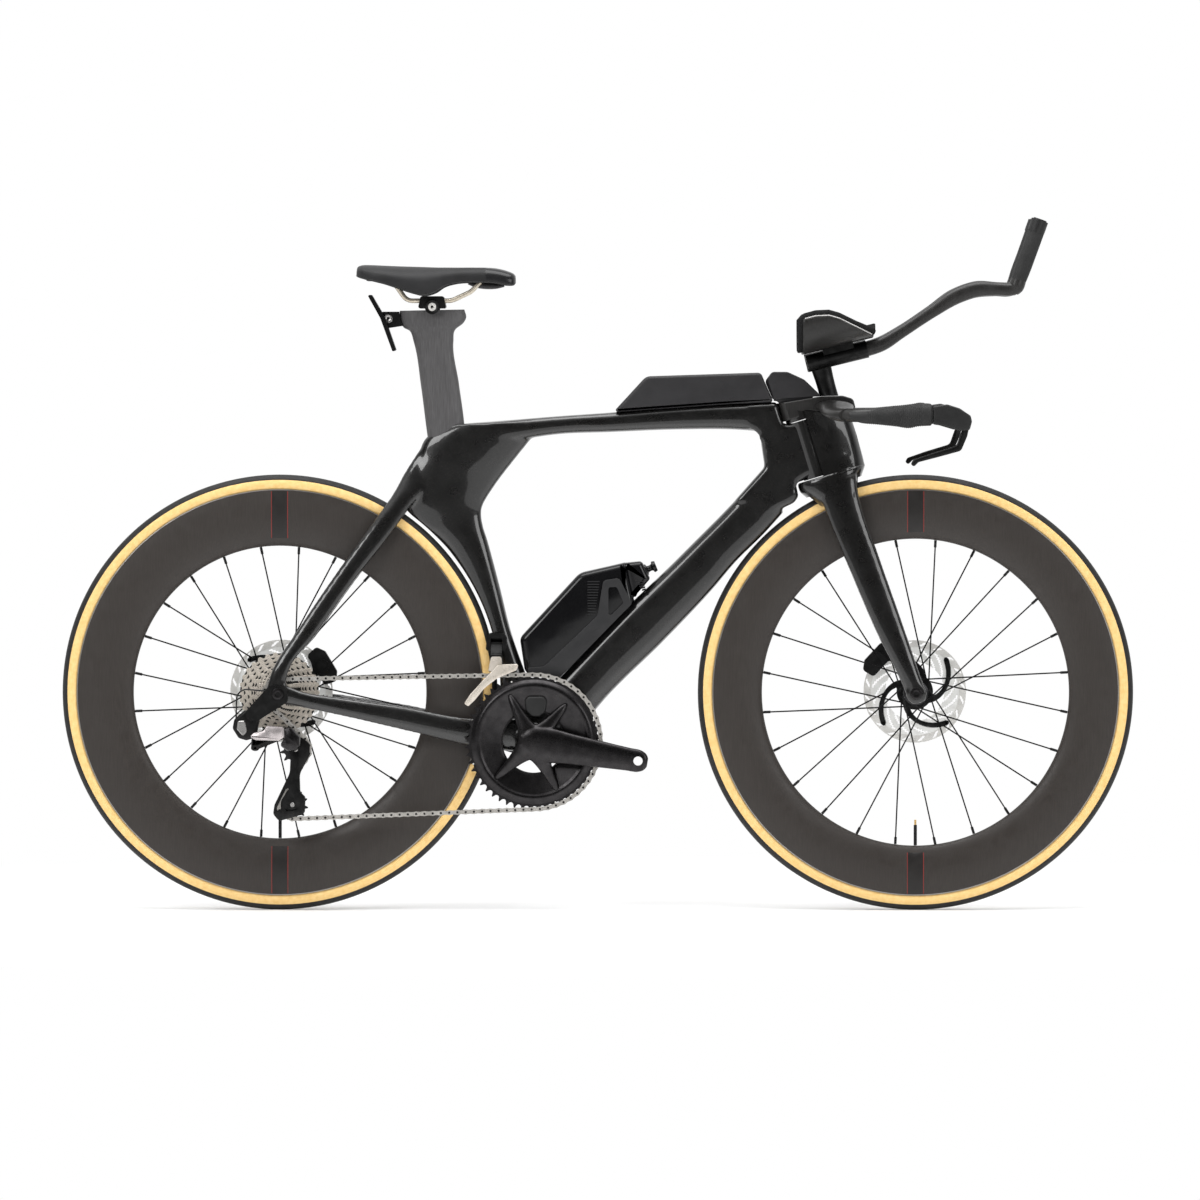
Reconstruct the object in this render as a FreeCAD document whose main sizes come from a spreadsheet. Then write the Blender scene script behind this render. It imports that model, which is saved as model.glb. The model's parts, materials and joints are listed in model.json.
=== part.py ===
"""Time trial bike: an assembly of separate pieces, in millimetres.

+X points forwards, +Y to the rider's left and +Z up. The origin lies on the ground, midway between the axles.
"""

import FreeCAD, Part
import Sketcher
import math
import os
import re

from FreeCAD import Matrix, Placement, Rotation, Vector

# Driving sizes, in millimetres, degrees and counts
SIZES = [
    ("wheel_space", 312.0),
    ("chainstay_room", 64.0),
    ("bb_drop", 76.0),
    ("head_angle", 73.0),
    ("fork_rake", 48.0),
    ("running_gap", 0.06),
    ("seat_gap", 0.3),
    # Wheels
    ("tyre_height", 23.0),
    ("tyre_width", 28.0),
    ("tyre_wall", 3.0),
    ("rim_radius", 316.0),
    ("front_rim_depth", 77.0),
    ("rear_rim_depth", 88.0),
    ("rim_width", 30.0),
    ("rim_lip_width", 26.0),
    ("rim_wall", 2.4),
    ("nose_width", 16.0),
    ("nose_height", 6.0),
    ("spoke_count", 24.0),
    ("spoke_blade", 2.2),
    ("spoke_thickness", 1.0),
    ("spoke_tangent", 20.5),
    ("spoke_stagger", 1.2),
    ("nipple_radius", 2.1),
    ("nipple_length", 11.0),
    ("axle_radius", 6.0),
    ("flange_half", 3.5),
    ("hub_barrel_radius", 12.0),
    ("hub_end_radius", 9.5),
    ("front_hub_width", 100.0),
    ("front_flange_right", 33.0),
    ("front_flange_left", 22.0),
    ("front_rotor_plane", 39.0),
    ("rear_hub_width", 142.0),
    ("rear_flange_right", 20.0),
    ("rear_flange_left", 35.0),
    ("rear_rotor_plane", 56.0),
    ("rotor_radius", 80.0),
    ("rotor_band", 27.0),
    ("rotor_thickness", 1.8),
    ("rotor_centre_radius", 25.0),
    ("rotor_spline_radius", 17.0),
    ("rotor_slots", 20.0),
    ("valve_radius", 2.6),
    ("valve_stand", 40.0),
    # Transmission
    ("chain_pitch", 12.7),
    ("roller_radius", 3.6),
    ("roller_seat_gap", 0.35),
    ("tooth_height", 2.6),
    ("tooth_tip", 1.5),
    ("sprocket_thickness", 1.6),
    ("chain_gap", 2.4),
    ("chain_plate", 1.2),
    ("chain_height", 8.2),
    ("ring_plane", 46.5),
    ("ring_step", 7.0),
    ("large_ring_teeth", 52.0),
    ("small_ring_teeth", 36.0),
    ("ring_bolt_radius", 55.0),
    ("ring_bolt", 4.5),
    ("spider_thickness", 6.0),
    ("spider_width", 16.0),
    ("first_cog_plane", 65.0),
    ("cog_step", 3.5),
    ("freehub_radius", 16.5),
    ("pulley_teeth", 11.0),
    ("pulley_thickness", 1.8),
    ("pulley_bolt_radius", 3.0),
    ("crank_length", 165.0),
    ("crank_drop_angle", 10.0),
    ("crank_thickness", 14.0),
    ("crank_eye_radius", 14.0),
    ("crank_boss_radius", 21.0),
    ("crank_plane", 59.0),
    ("pedal_thread_radius", 7.14),
    ("spindle_radius", 12.0),
    ("bb_width", 86.5),
    ("bb_cup_radius", 20.5),
    ("bb_shell_radius", 26.0),
    ("bearing_width", 9.0),
    # Frame
    ("frame_half_width", 20.0),
    ("tube_edge_radius", 12.0),
    ("tyre_clearance_rear", 4.5),
    ("tyre_clearance_front", 15.0),
    ("crown_room", 26.0),
    ("head_tube_length", 92.0),
    ("head_tube_radius", 22.2),
    ("steerer_radius", 12.7),
    ("headset_radius", 18.0),
    ("steer_gap", 0.8),
    ("crown_rear_radius", 34.0),
    ("stem_rear_radius", 27.5),
    ("dropout_thickness", 12.0),
    ("dropout_radius", 17.0),
    ("seat_height", 494.0),
    ("post_chord", 61.0),
    ("post_width", 26.0),
    ("post_lean", 8.0),
    ("post_height", 150.0),
    ("post_insert", 60.0),
    ("saddle_length", 247.0),
    ("saddle_width", 136.0),
    ("rail_radius", 3.5),
    ("box_half_width", 21.0),
    ("bottle_half_width", 27.0),
    ("cage_wall", 2.6),
    # Fork and cockpit
    ("fork_arch_gap", 8.0),
    ("fork_arch_half_width", 18.5),
    ("nose_reach", 77.0),
    ("nose_half_width", 26.0),
    ("bar_half_width", 190.0),
    ("grip_radius", 14.5),
    ("bar_tube_radius", 10.5),
    ("extension_half_width", 72.0),
    ("extension_radius", 11.0),
    ("extension_grip_radius", 13.0),
    ("pad_radius", 47.0),
    ("cup_wall", 3.5),
    ("pad_thickness", 9.0),
    ("pad_half_width", 96.0),
]
# Sizes that follow from the driving ones
DERIVED_SIZES = [
    ("tyre_radius", "=rim_radius + tyre_height"),
    ("wheelbase", "=2 * tyre_radius + wheel_space"),
    ("chainstay", "=tyre_radius + chainstay_room"),
    ("crown_top", "=tyre_radius + crown_room"),
]

doc = FreeCAD.newDocument("time_trial_bike")
sheet = doc.addObject("Spreadsheet::Sheet", "Sizes")
for row, (alias, number) in enumerate(SIZES + DERIVED_SIZES, start=1):
    sheet.set("A%d" % row, alias)
    sheet.set("B%d" % row, str(number))
    sheet.setAlias("B%d" % row, alias)
doc.recompute()

NAMES = [alias for alias, number in SIZES + DERIVED_SIZES]
NODES = []
X_AXIS = Vector(1, 0, 0)
Y_AXIS = Vector(0, 1, 0)
Z_AXIS = Vector(0, 0, 1)


# Helpers for expressions and the objects of the document
def bound(text):
    """The same expression with each size name pointing at its cell."""
    return re.sub(r"\b[a-z][a-z_]+\b", lambda w: "Sizes." + w[0] if w[0] in NAMES else w[0], text)


def size(text):
    """Value of a size, or of an expression of sizes."""
    return float(sheet.evalExpression(bound(text)))


def keep(item, label):
    """Marks an object of the document as the sub-part of that name."""
    item.Label = label
    NODES.append(item)
    return item


def place(item, x="0", y="0", z="0"):
    """Binds the place of an object to expressions."""
    for axis, text in (("x", x), ("y", y), ("z", z)):
        item.setExpression("Placement.Base." + axis, bound(text))
    return item


def feature(label, shape):
    """A sub-part whose shape is worked out in code."""
    item = doc.addObject("Part::Feature", label)
    item.Shape = shape
    item.Placement = shape.Placement
    return keep(item, label)


def cylinder(name, radius, height, turn=None):
    """A bound cylinder, its axis along +Z unless it is turned."""
    item = doc.addObject("Part::Cylinder", name)
    item.setExpression("Radius", bound(radius))
    item.setExpression("Height", bound(height))
    if turn is not None:
        item.Placement.Rotation = turn
    return item


ALONG_Y = Rotation(X_AXIS, -90)


def new_sketch(body, role):
    """An empty sketch on one of the body's own origin planes."""
    sketch = body.newObject("Sketcher::SketchObject", body.Name + "_sketch")
    plane = [item for item in body.Origin.OriginFeatures if item.Role == role][0]
    sketch.AttachmentSupport = [(plane, "")]
    sketch.MapMode = "FlatFace"
    return sketch


def pin_point(sketch, geometry, end, x, y):
    """Holds one point of the sketch at two bound distances from its origin."""
    for kind, text, axis in (("DistanceX", x, -2), ("DistanceY", y, -1)):
        if abs(size(text)) < 1e-9:
            sketch.addConstraint(Sketcher.Constraint("PointOnObject", geometry, end, axis))
            continue
        number = sketch.addConstraint(Sketcher.Constraint(kind, -1, 1, geometry, end, size(text)))
        sketch.setExpression("Constraints[%d]" % number, bound(text))


def left_turning_arc(start, middle, end):
    """The arc through three points, always stored in its anticlockwise sense."""
    circle = Part.Circle(start, middle, end)
    centre = circle.Center
    turning = middle.sub(start).cross(end.sub(middle)).z
    first, last = (start, end) if turning > 0 else (end, start)
    low = math.atan2(first.y - centre.y, first.x - centre.x)
    high = math.atan2(last.y - centre.y, last.x - centre.x)
    if high < low:
        high += 2 * math.pi
    return Part.ArcOfCircle(Part.Circle(centre, Z_AXIS, circle.Radius), low, high)


def draw_loop(sketch, steps):
    """Closed loop of edges. A step is its end point, or its middle and end points for an arc."""
    corner = [Vector(size(step[-2]), size(step[-1]), 0) for step in steps]
    edges = []
    for number, step in enumerate(steps):
        start = corner[number - 1]
        if len(step) == 2:
            edges.append(sketch.addGeometry(Part.LineSegment(start, corner[number])))
        else:
            middle = Vector(size(step[0]), size(step[1]), 0)
            edges.append(sketch.addGeometry(left_turning_arc(start, middle, corner[number])))
    ends = []
    for number, edge in enumerate(edges):
        line = sketch.Geometry[edge]
        forward = line.StartPoint.distanceToPoint(corner[number - 1]) < 1e-6
        ends.append((1, 2) if forward else (2, 1))
    for number, edge in enumerate(edges):
        following = (number + 1) % len(edges)
        link = Sketcher.Constraint(
            "Coincident", edge, ends[number][1], edges[following], ends[following][0]
        )
        sketch.addConstraint(link)
        pin_point(sketch, edge, ends[number][1], steps[number][-2], steps[number][-1])
        if len(steps[number]) == 4:
            dot = sketch.addGeometry(Part.Point(Vector(size(steps[number][0]), size(steps[number][1]), 0)))
            sketch.toggleConstruction(dot)
            pin_point(sketch, dot, 1, steps[number][0], steps[number][1])
            sketch.addConstraint(Sketcher.Constraint("PointOnObject", dot, 1, edge))


def draw_circle(sketch, radius, x="0", y="0"):
    """A bound circle."""
    centre = Vector(size(x), size(y), 0)
    circle = sketch.addGeometry(Part.Circle(centre, Z_AXIS, size(radius)))
    pin_point(sketch, circle, 3, x, y)
    number = sketch.addConstraint(Sketcher.Constraint("Radius", circle, size(radius)))
    sketch.setExpression("Constraints[%d]" % number, bound(radius))


def revolved(label, loops):
    """A body turned about its own Y axis; loops are (across, radius) steps."""
    body = doc.addObject("PartDesign::Body", label)
    sketch = new_sketch(body, "YZ_Plane")
    for loop in loops:
        draw_loop(sketch, loop)
    turn = body.newObject("PartDesign::Revolution", label + "_turn")
    turn.Profile = sketch
    turn.ReferenceAxis = (sketch, ["H_Axis"])
    turn.Angle = 360
    return keep(body, label)


def padded(body, sketch, thickness):
    """A pad of the sketch, half of its thickness on each side."""
    pad = body.newObject("PartDesign::Pad", body.Name + "_pad")
    pad.Profile = sketch
    pad.SideType = "Symmetric"
    pad.setExpression("Length", bound(thickness))
    return pad


def pocket_pattern(body, sketch, count, name):
    """A cut right through the body, repeated round its Y axis."""
    doc.recompute()
    cut = body.newObject("PartDesign::Pocket", body.Name + "_" + name)
    cut.Profile = sketch
    cut.Type = "ThroughAll"
    cut.SideType = "Symmetric"
    pattern = body.newObject("PartDesign::PolarPattern", body.Name + "_" + name + "_pattern")
    pattern.Originals = [cut]
    pattern.Axis = ([item for item in body.Origin.OriginFeatures if item.Role == "Y_Axis"][0], [""])
    pattern.Angle = 360
    pattern.setExpression("Occurrences", bound(count))
    body.Tip = pattern
    return pattern


# Helpers for shapes worked out in code
def rounded_wire(corners):
    """Closed wire in the XZ plane through corners (x, z, radius), each corner an arc of that radius."""
    points = [Vector(x, 0, z) for x, z, radius in corners]
    edges = []
    ends = []
    for number, (x, z, radius) in enumerate(corners):
        here = points[number]
        back = points[number - 1].sub(here).normalize()
        ahead = points[(number + 1) % len(points)].sub(here).normalize()
        half = back.getAngle(ahead) / 2
        reach = radius / math.tan(half)
        middle = back.add(ahead).normalize()
        touch_in = here.add(Vector(back).multiply(reach))
        touch_out = here.add(Vector(ahead).multiply(reach))
        centre = here.add(Vector(middle).multiply(radius / math.sin(half)))
        crown = centre.sub(Vector(middle).multiply(radius))
        ends.append((touch_in, crown, touch_out))
    for number, (touch_in, crown, touch_out) in enumerate(ends):
        edges.append(Part.Arc(touch_in, crown, touch_out).toShape())
        following = ends[(number + 1) % len(ends)][0]
        if touch_out.distanceToPoint(following) > 1e-6:
            edges.append(Part.LineSegment(touch_out, following).toShape())
    return Part.Wire(edges)


def slab(corners, low, high):
    """A rounded outline in the XZ plane, pulled from low to high along Y."""
    face = Part.Face(rounded_wire(corners))
    face.translate(Vector(0, low, 0))
    return face.extrude(Vector(0, high - low, 0))


def soft_slab(corners, half, radius):
    """A slab about the middle plane with both rims rounded."""
    solid = slab(corners, -half, half)
    rim = [edge for edge in solid.Edges if abs(abs(edge.CenterOfMass.y) - half) < 1e-4]
    return solid.makeFillet(radius, rim)


def ellipse(centre, long_axis, short_axis, long_half, short_half):
    """An elliptic section, as a wire."""
    long_end = centre.add(Vector(long_axis).normalize().multiply(long_half))
    short_end = centre.add(Vector(short_axis).normalize().multiply(short_half))
    return Part.Wire([Part.Ellipse(long_end, short_end, centre).toShape()])


def loft(wires):
    """A smooth solid through sections."""
    return Part.makeLoft(wires, True, False)


def rod(start, end, radius):
    """A round bar between two points."""
    way = end.sub(start)
    return Part.makeCylinder(radius, way.Length, start, way)


def round_path(points, radii):
    """Open wire of straight runs joined by tangent arcs of the given radii."""
    edges = []
    here = points[0]
    for number, radius in enumerate(radii, start=1):
        corner = points[number]
        back = points[number - 1].sub(corner).normalize()
        ahead = points[number + 1].sub(corner).normalize()
        half = back.getAngle(ahead) / 2
        reach = radius / math.tan(half)
        middle = back.add(ahead).normalize()
        touch_in = corner.add(Vector(back).multiply(reach))
        touch_out = corner.add(Vector(ahead).multiply(reach))
        crown = corner.add(Vector(middle).multiply(radius / math.sin(half) - radius))
        edges.append(Part.LineSegment(here, touch_in).toShape())
        edges.append(Part.Arc(touch_in, crown, touch_out).toShape())
        here = touch_out
    edges.append(Part.LineSegment(here, points[-1]).toShape())
    return Part.Wire(edges)


def pipe(path, radius):
    """A round bar along a wire."""
    edge = path.Edges[0]
    start = edge.valueAt(edge.FirstParameter)
    along = edge.tangentAt(edge.FirstParameter)
    ring = Part.Wire([Part.Circle(start, along, radius).toShape()])
    return path.makePipeShell([ring], True, False)


def mirrored(shape):
    """The same shape on the other side of the middle plane."""
    return shape.mirror(Vector(0, 0, 0), Y_AXIS)


def pair(shape):
    """A shape and its mirror image as separate solids."""
    return Part.makeCompound([shape, mirrored(shape)])


def joined(shapes):
    """One solid from several."""
    return shapes[0].multiFuse(shapes[1:])


# Places that everything else is measured from
REAR_X = -size("wheelbase") / 2
FRONT_X = size("wheelbase") / 2
AXLE_Z = size("tyre_radius")
BB_X = REAR_X + math.sqrt(size("chainstay") ** 2 - size("bb_drop") ** 2)
BB_Z = AXLE_Z - size("bb_drop")
HEAD = math.radians(size("head_angle"))
HEAD_UP = Vector(-math.cos(HEAD), 0, math.sin(HEAD))
HEAD_OUT = Vector(math.sin(HEAD), 0, math.cos(HEAD))
HEAD_FOOT = Vector(FRONT_X, 0, AXLE_Z).sub(Vector(HEAD_OUT).multiply(size("fork_rake")))
REAR_AXLE = Vector(REAR_X, 0, AXLE_Z)
FRONT_AXLE = Vector(FRONT_X, 0, AXLE_Z)
BB = Vector(BB_X, 0, BB_Z)
HEAD_TOP = size("crown_top + head_tube_length")

REAR_PLACE = {"x": "-wheelbase / 2", "z": "tyre_radius"}
FRONT_PLACE = {"x": "wheelbase / 2", "z": "tyre_radius"}


def at_head(out, up, across=0.0):
    """A point in the steering axis's own directions: forwards of it, up along it and to the left."""
    point = HEAD_FOOT.add(Vector(HEAD_OUT).multiply(out)).add(Vector(HEAD_UP).multiply(up))
    return point.add(Vector(0, across, 0))


def at_bb(x, z, across=0.0):
    """A point measured from the crank axis."""
    return BB.add(Vector(x, across, z))


def at_rear(x, z, across=0.0):
    """A point measured from the rear axle."""
    return REAR_AXLE.add(Vector(x, across, z))


def at_front(x, z, across=0.0):
    """A point measured from the front axle."""
    return FRONT_AXLE.add(Vector(x, across, z))


def corner(point, radius):
    """A corner of a side outline."""
    return (point.x, point.z, radius)


def head_cylinder(radius, low, high):
    """A cylinder about the steering axis."""
    return Part.makeCylinder(radius, high - low, at_head(0, low), HEAD_UP)


def head_block(low_out, high_out, low_up, high_up):
    """A block in the steering axis's own directions."""
    box = Part.makeBox(high_out - low_out, 240, high_up - low_up, Vector(low_out, -120, low_up))
    box.Placement = Placement(HEAD_FOOT, Rotation(Y_AXIS, size("head_angle") - 90))
    return box


def wheel_gap(axle, radius, half_width):
    """The disc that a wheel needs, about its axle."""
    return Part.makeCylinder(radius, 2 * half_width, axle.sub(Vector(0, half_width, 0)), Y_AXIS)


# Wheels
def rim_loops(depth):
    """Outline of a deep rim with a round seat for the tyre, and the hollow inside it."""
    inner = "(rim_radius - %s)" % depth
    shoulder = inner + " + nose_height"
    middle = "rim_radius - %s / 3" % depth
    centre = "(tyre_radius - tyre_width / 2)"
    seat = "(tyre_width / 2 + seat_gap)"
    seat_half = "sqrt(%s ^ 2 - (%s - rim_radius) ^ 2)" % (seat, centre)
    seat_floor = "%s - %s" % (centre, seat)
    hollow_half = "nose_width / 2 - rim_wall"
    hollow_top = seat_floor + " - 2 * rim_wall"
    outside = [
        ("rim_width / 2", middle, "rim_lip_width / 2", "rim_radius"),
        (seat_half, "rim_radius"),
        ("0", seat_floor, "-" + seat_half, "rim_radius"),
        ("-rim_lip_width / 2", "rim_radius"),
        ("-rim_width / 2", middle, "-nose_width / 2", shoulder),
        ("0", inner, "nose_width / 2", shoulder),
    ]
    hollow = [
        ("rim_width / 2 - rim_wall", middle, hollow_half + " + rim_wall", hollow_top),
        ("-(" + hollow_half + " + rim_wall)", hollow_top),
        ("-(rim_width / 2 - rim_wall)", middle, "-(" + hollow_half + ")", shoulder + " + rim_wall"),
        ("0", inner + " + 2 * rim_wall", hollow_half, shoulder + " + rim_wall"),
    ]
    return [outside, hollow]


def make_rim(label, depth, spot):
    place(revolved(label, rim_loops(depth)), **spot)


def make_tyre(label, spot):
    """A round hollow tyre, turned about the axle."""
    body = doc.addObject("PartDesign::Body", label)
    sketch = new_sketch(body, "YZ_Plane")
    draw_circle(sketch, "tyre_width / 2", "0", "tyre_radius - tyre_width / 2")
    draw_circle(sketch, "tyre_width / 2 - tyre_wall", "0", "tyre_radius - tyre_width / 2")
    turn = body.newObject("PartDesign::Revolution", label + "_turn")
    turn.Profile = sketch
    turn.ReferenceAxis = (sketch, ["H_Axis"])
    turn.Angle = 360
    place(keep(body, label), **spot)


FLANGE_RADIUS = "(spoke_tangent - spoke_blade / 2 - seat_gap)"
HUB_BORE = "(axle_radius + running_gap)"


def make_front_hub():
    """Hub shell with two flanges and a seat for the rotor on the left."""
    end = "(front_hub_width / 2 - seat_gap)"
    loop = [
        ("-" + end, "hub_end_radius"),
        ("-(front_flange_right + 2 * flange_half)", "hub_end_radius"),
        ("-(front_flange_right + flange_half)", FLANGE_RADIUS),
        ("-(front_flange_right - flange_half)", FLANGE_RADIUS),
        ("-(front_flange_right - 2 * flange_half)", "hub_barrel_radius"),
        ("front_flange_left - 2 * flange_half", "hub_barrel_radius"),
        ("front_flange_left - flange_half", FLANGE_RADIUS),
        ("front_flange_left + flange_half", FLANGE_RADIUS),
        ("front_flange_left + flange_half", "rotor_spline_radius"),
        ("front_rotor_plane + 4", "rotor_spline_radius"),
        ("front_rotor_plane + 4", "hub_end_radius"),
        (end, "hub_end_radius"),
        (end, HUB_BORE),
        ("-" + end, HUB_BORE),
    ]
    place(revolved("front_hub", [loop]), **FRONT_PLACE)


REAR_HUB_RIGHT = "(rear_flange_right + flange_half)"


def make_rear_hub():
    """Hub shell whose right end stops short of the freehub body."""
    end = "(rear_hub_width / 2 - seat_gap)"
    loop = [
        ("-" + REAR_HUB_RIGHT, FLANGE_RADIUS),
        ("-(rear_flange_right - flange_half)", FLANGE_RADIUS),
        ("-(rear_flange_right - 2 * flange_half)", "hub_barrel_radius"),
        ("rear_flange_left - 2 * flange_half", "hub_barrel_radius"),
        ("rear_flange_left - flange_half", FLANGE_RADIUS),
        ("rear_flange_left + flange_half", FLANGE_RADIUS),
        ("rear_flange_left + flange_half", "rotor_spline_radius"),
        ("rear_rotor_plane + 4", "rotor_spline_radius"),
        ("rear_rotor_plane + 4", "hub_end_radius"),
        (end, "hub_end_radius"),
        (end, HUB_BORE),
        ("-" + REAR_HUB_RIGHT, HUB_BORE),
    ]
    place(revolved("rear_hub", [loop]), **REAR_PLACE)


# Leaning sense of four neighbouring spokes, repeated round the wheel
SPOKE_SENSE = (1, -1, -1, 1)


def make_spokes(label, axle, inner_radius, right, left):
    """Bladed spokes, tangent to the flanges, with a nipple each at the rim."""
    count = int(round(size("spoke_count")))
    tangent = size("spoke_tangent")
    spokes = []
    for number in range(count):
        angle = 2 * math.pi * (number + 0.5) / count
        sense = SPOKE_SENSE[number % len(SPOKE_SENSE)]
        on_right = number % 2 == 0
        flange = -right if on_right else left
        flange += sense * size("spoke_stagger")
        outer = inner_radius - size("seat_gap")
        lean = math.acos(tangent / outer)
        foot_angle = angle + sense * lean
        foot = Vector(tangent * math.cos(foot_angle), flange, tangent * math.sin(foot_angle))
        tip = Vector(outer * math.cos(angle), 0, outer * math.sin(angle))
        way = tip.sub(foot)
        flat = way.cross(Y_AXIS).normalize()
        thick = flat.cross(way).normalize()
        wide = Vector(flat).multiply(size("spoke_blade") / 2)
        deep = Vector(thick).multiply(size("spoke_thickness") / 2)
        near = foot.sub(deep)
        far = foot.add(deep)
        ring = [far.add(wide), far.sub(wide), near.sub(wide), near.add(wide)]
        blade = Part.Face(Part.makePolygon(ring + ring[:1])).extrude(way)
        nipple_foot = tip.sub(Vector(way).normalize().multiply(size("nipple_length")))
        spoke = blade.fuse(rod(nipple_foot, tip, size("nipple_radius")))
        spoke.translate(axle)
        spokes.append(spoke)
    feature(label, Part.makeCompound(spokes))


def make_rotor(label, plane, spot):
    """Brake rotor: a disc with four windows between its arms and slanted slots in its band."""
    body = doc.addObject("PartDesign::Body", label)
    disc = new_sketch(body, "XZ_Plane")
    draw_circle(disc, "rotor_radius")
    draw_circle(disc, "rotor_spline_radius + running_gap")
    padded(body, disc, "rotor_thickness")
    window = new_sketch(body, "XZ_Plane")
    outer = "(rotor_radius - rotor_band)"
    steps = [
        ("rotor_centre_radius * cos(10 deg)", "rotor_centre_radius * sin(10 deg)"),
        (outer + " * cos(12 deg)", outer + " * sin(12 deg)"),
        tuple(outer + " * %s deg)" % turn for turn in ("cos(45", "sin(45", "cos(80", "sin(80")),
        ("rotor_centre_radius * cos(76 deg)", "rotor_centre_radius * sin(76 deg)"),
    ]
    draw_loop(window, steps)
    pocket_pattern(body, window, "4", "window")
    slot = new_sketch(body, "XZ_Plane")
    low = "(rotor_radius - rotor_band / 2)"
    high = "(rotor_radius - rotor_band / 9)"
    steps = [
        (low, "0"),
        (high, "rotor_band / 3"),
        (high, "rotor_band / 3 + 2.5"),
        (low, "2.5"),
    ]
    draw_loop(slot, steps)
    pocket_pattern(body, slot, "rotor_slots", "slot")
    place(keep(body, label), spot["x"], plane, spot["z"])


def make_valve(label, depth, spot):
    """Valve stem standing inwards from the rim at the bottom of the wheel."""
    stem = cylinder(label, "valve_radius", "valve_stand")
    inner = "tyre_radius - (rim_radius - %s) + seat_gap" % depth
    keep(stem, label)
    place(stem, spot["x"], "0", inner)


def make_axle(label, right, left, spot):
    """Thru-axle between its right and left ends."""
    shaft = cylinder(label, "axle_radius", "%s + %s" % (right, left), ALONG_Y)
    place(keep(shaft, label), spot["x"], "-(%s)" % right, spot["z"])


# Chain line, worked out as a belt round four sprockets
GUIDE = at_rear(27, -87)
TENSION = at_rear(22, -173)


class Wheel:
    """One sprocket on the chain line: its centre, teeth, sense of travel and plane."""

    def __init__(self, centre, teeth, sense, plane):
        self.centre = centre
        self.teeth = teeth
        self.sense = sense
        self.plane = plane
        self.phase = 0.0

    def radius(self, pitch):
        return self.teeth * pitch / (2 * math.pi)


COG_TEETH = (11, 12, 13, 14, 15, 16, 17, 19, 21, 24, 27, 30)
RING = Wheel(BB, int(size("large_ring_teeth")), 1, -size("ring_plane"))
LOWER = Wheel(TENSION, int(size("pulley_teeth")), 1, -size("first_cog_plane"))
UPPER = Wheel(GUIDE, int(size("pulley_teeth")), -1, -size("first_cog_plane"))
COG = Wheel(REAR_AXLE, COG_TEETH[0], 1, -size("first_cog_plane"))
CHAIN_WHEELS = [RING, LOWER, UPPER, COG]


def tangent(first, second, pitch):
    """Touching points of the chain's straight run from one sprocket to the next, in X and Z."""
    way_x = second.centre.x - first.centre.x
    way_z = second.centre.z - first.centre.z
    reach = math.hypot(way_x, way_z)
    offset = first.sense * first.radius(pitch) - second.sense * second.radius(pitch)
    heading = math.atan2(way_z, way_x) - math.asin(offset / reach)
    normal = (-math.sin(heading), math.cos(heading))
    ends = []
    for wheel in (first, second):
        arm = wheel.sense * wheel.radius(pitch)
        ends.append((wheel.centre.x + arm * normal[0], wheel.centre.z + arm * normal[1]))
    return ends, normal


def chain_spans(pitch):
    """Arcs and runs in travelling order: an arc as (wheel, start angle, swept angle), a run as its ends."""
    runs = []
    for number, wheel in enumerate(CHAIN_WHEELS):
        following = CHAIN_WHEELS[(number + 1) % len(CHAIN_WHEELS)]
        runs.append(tangent(wheel, following, pitch))
    spans = []
    for number, wheel in enumerate(CHAIN_WHEELS):
        arrive = runs[number - 1][0][1]
        leave = runs[number][0][0]
        start = math.atan2(arrive[1] - wheel.centre.z, arrive[0] - wheel.centre.x)
        end = math.atan2(leave[1] - wheel.centre.z, leave[0] - wheel.centre.x)
        swept = (start - end) * wheel.sense % (2 * math.pi)
        spans.append((wheel, start, -wheel.sense * swept, runs[number]))
    return spans


def chain_length(pitch):
    """Length of the loop at that pitch."""
    total = 0.0
    for wheel, start, swept, (ends, normal) in chain_spans(pitch):
        total += abs(swept) * wheel.radius(pitch)
        total += math.hypot(ends[1][0] - ends[0][0], ends[1][1] - ends[0][1])
    return total


def even_pitch():
    """The pitch, close to the nominal one, at which the loop holds a whole even number of links."""
    pitch = size("chain_pitch")
    links = 2 * round(chain_length(pitch) / pitch / 2)
    for turn in range(30):
        pitch = chain_length(pitch) / links
    return pitch, links


PITCH, LINKS = even_pitch()


def run_leads(wheel, following, run):
    """Lengths at both ends of a straight run in which the chain still lies in its sprocket's plane."""
    depth = size("tooth_height + chain_height / 2")
    leads = []
    for sprocket_wheel in (wheel, following):
        leads.append(1.1 * math.sqrt(2 * sprocket_wheel.radius(PITCH) * depth))
    shrink = min(1.0, 0.45 * run / max(leads))
    return leads[0] * shrink, leads[1] * shrink


def run_plane(wheel, following, run, spot):
    """Plane across of a place on a straight run, so far along it."""
    first, last = run_leads(wheel, following, run)
    share = min(1.0, max(0.0, (spot - first) / (run - first - last)))
    return wheel.plane + share * (following.plane - wheel.plane)


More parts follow.
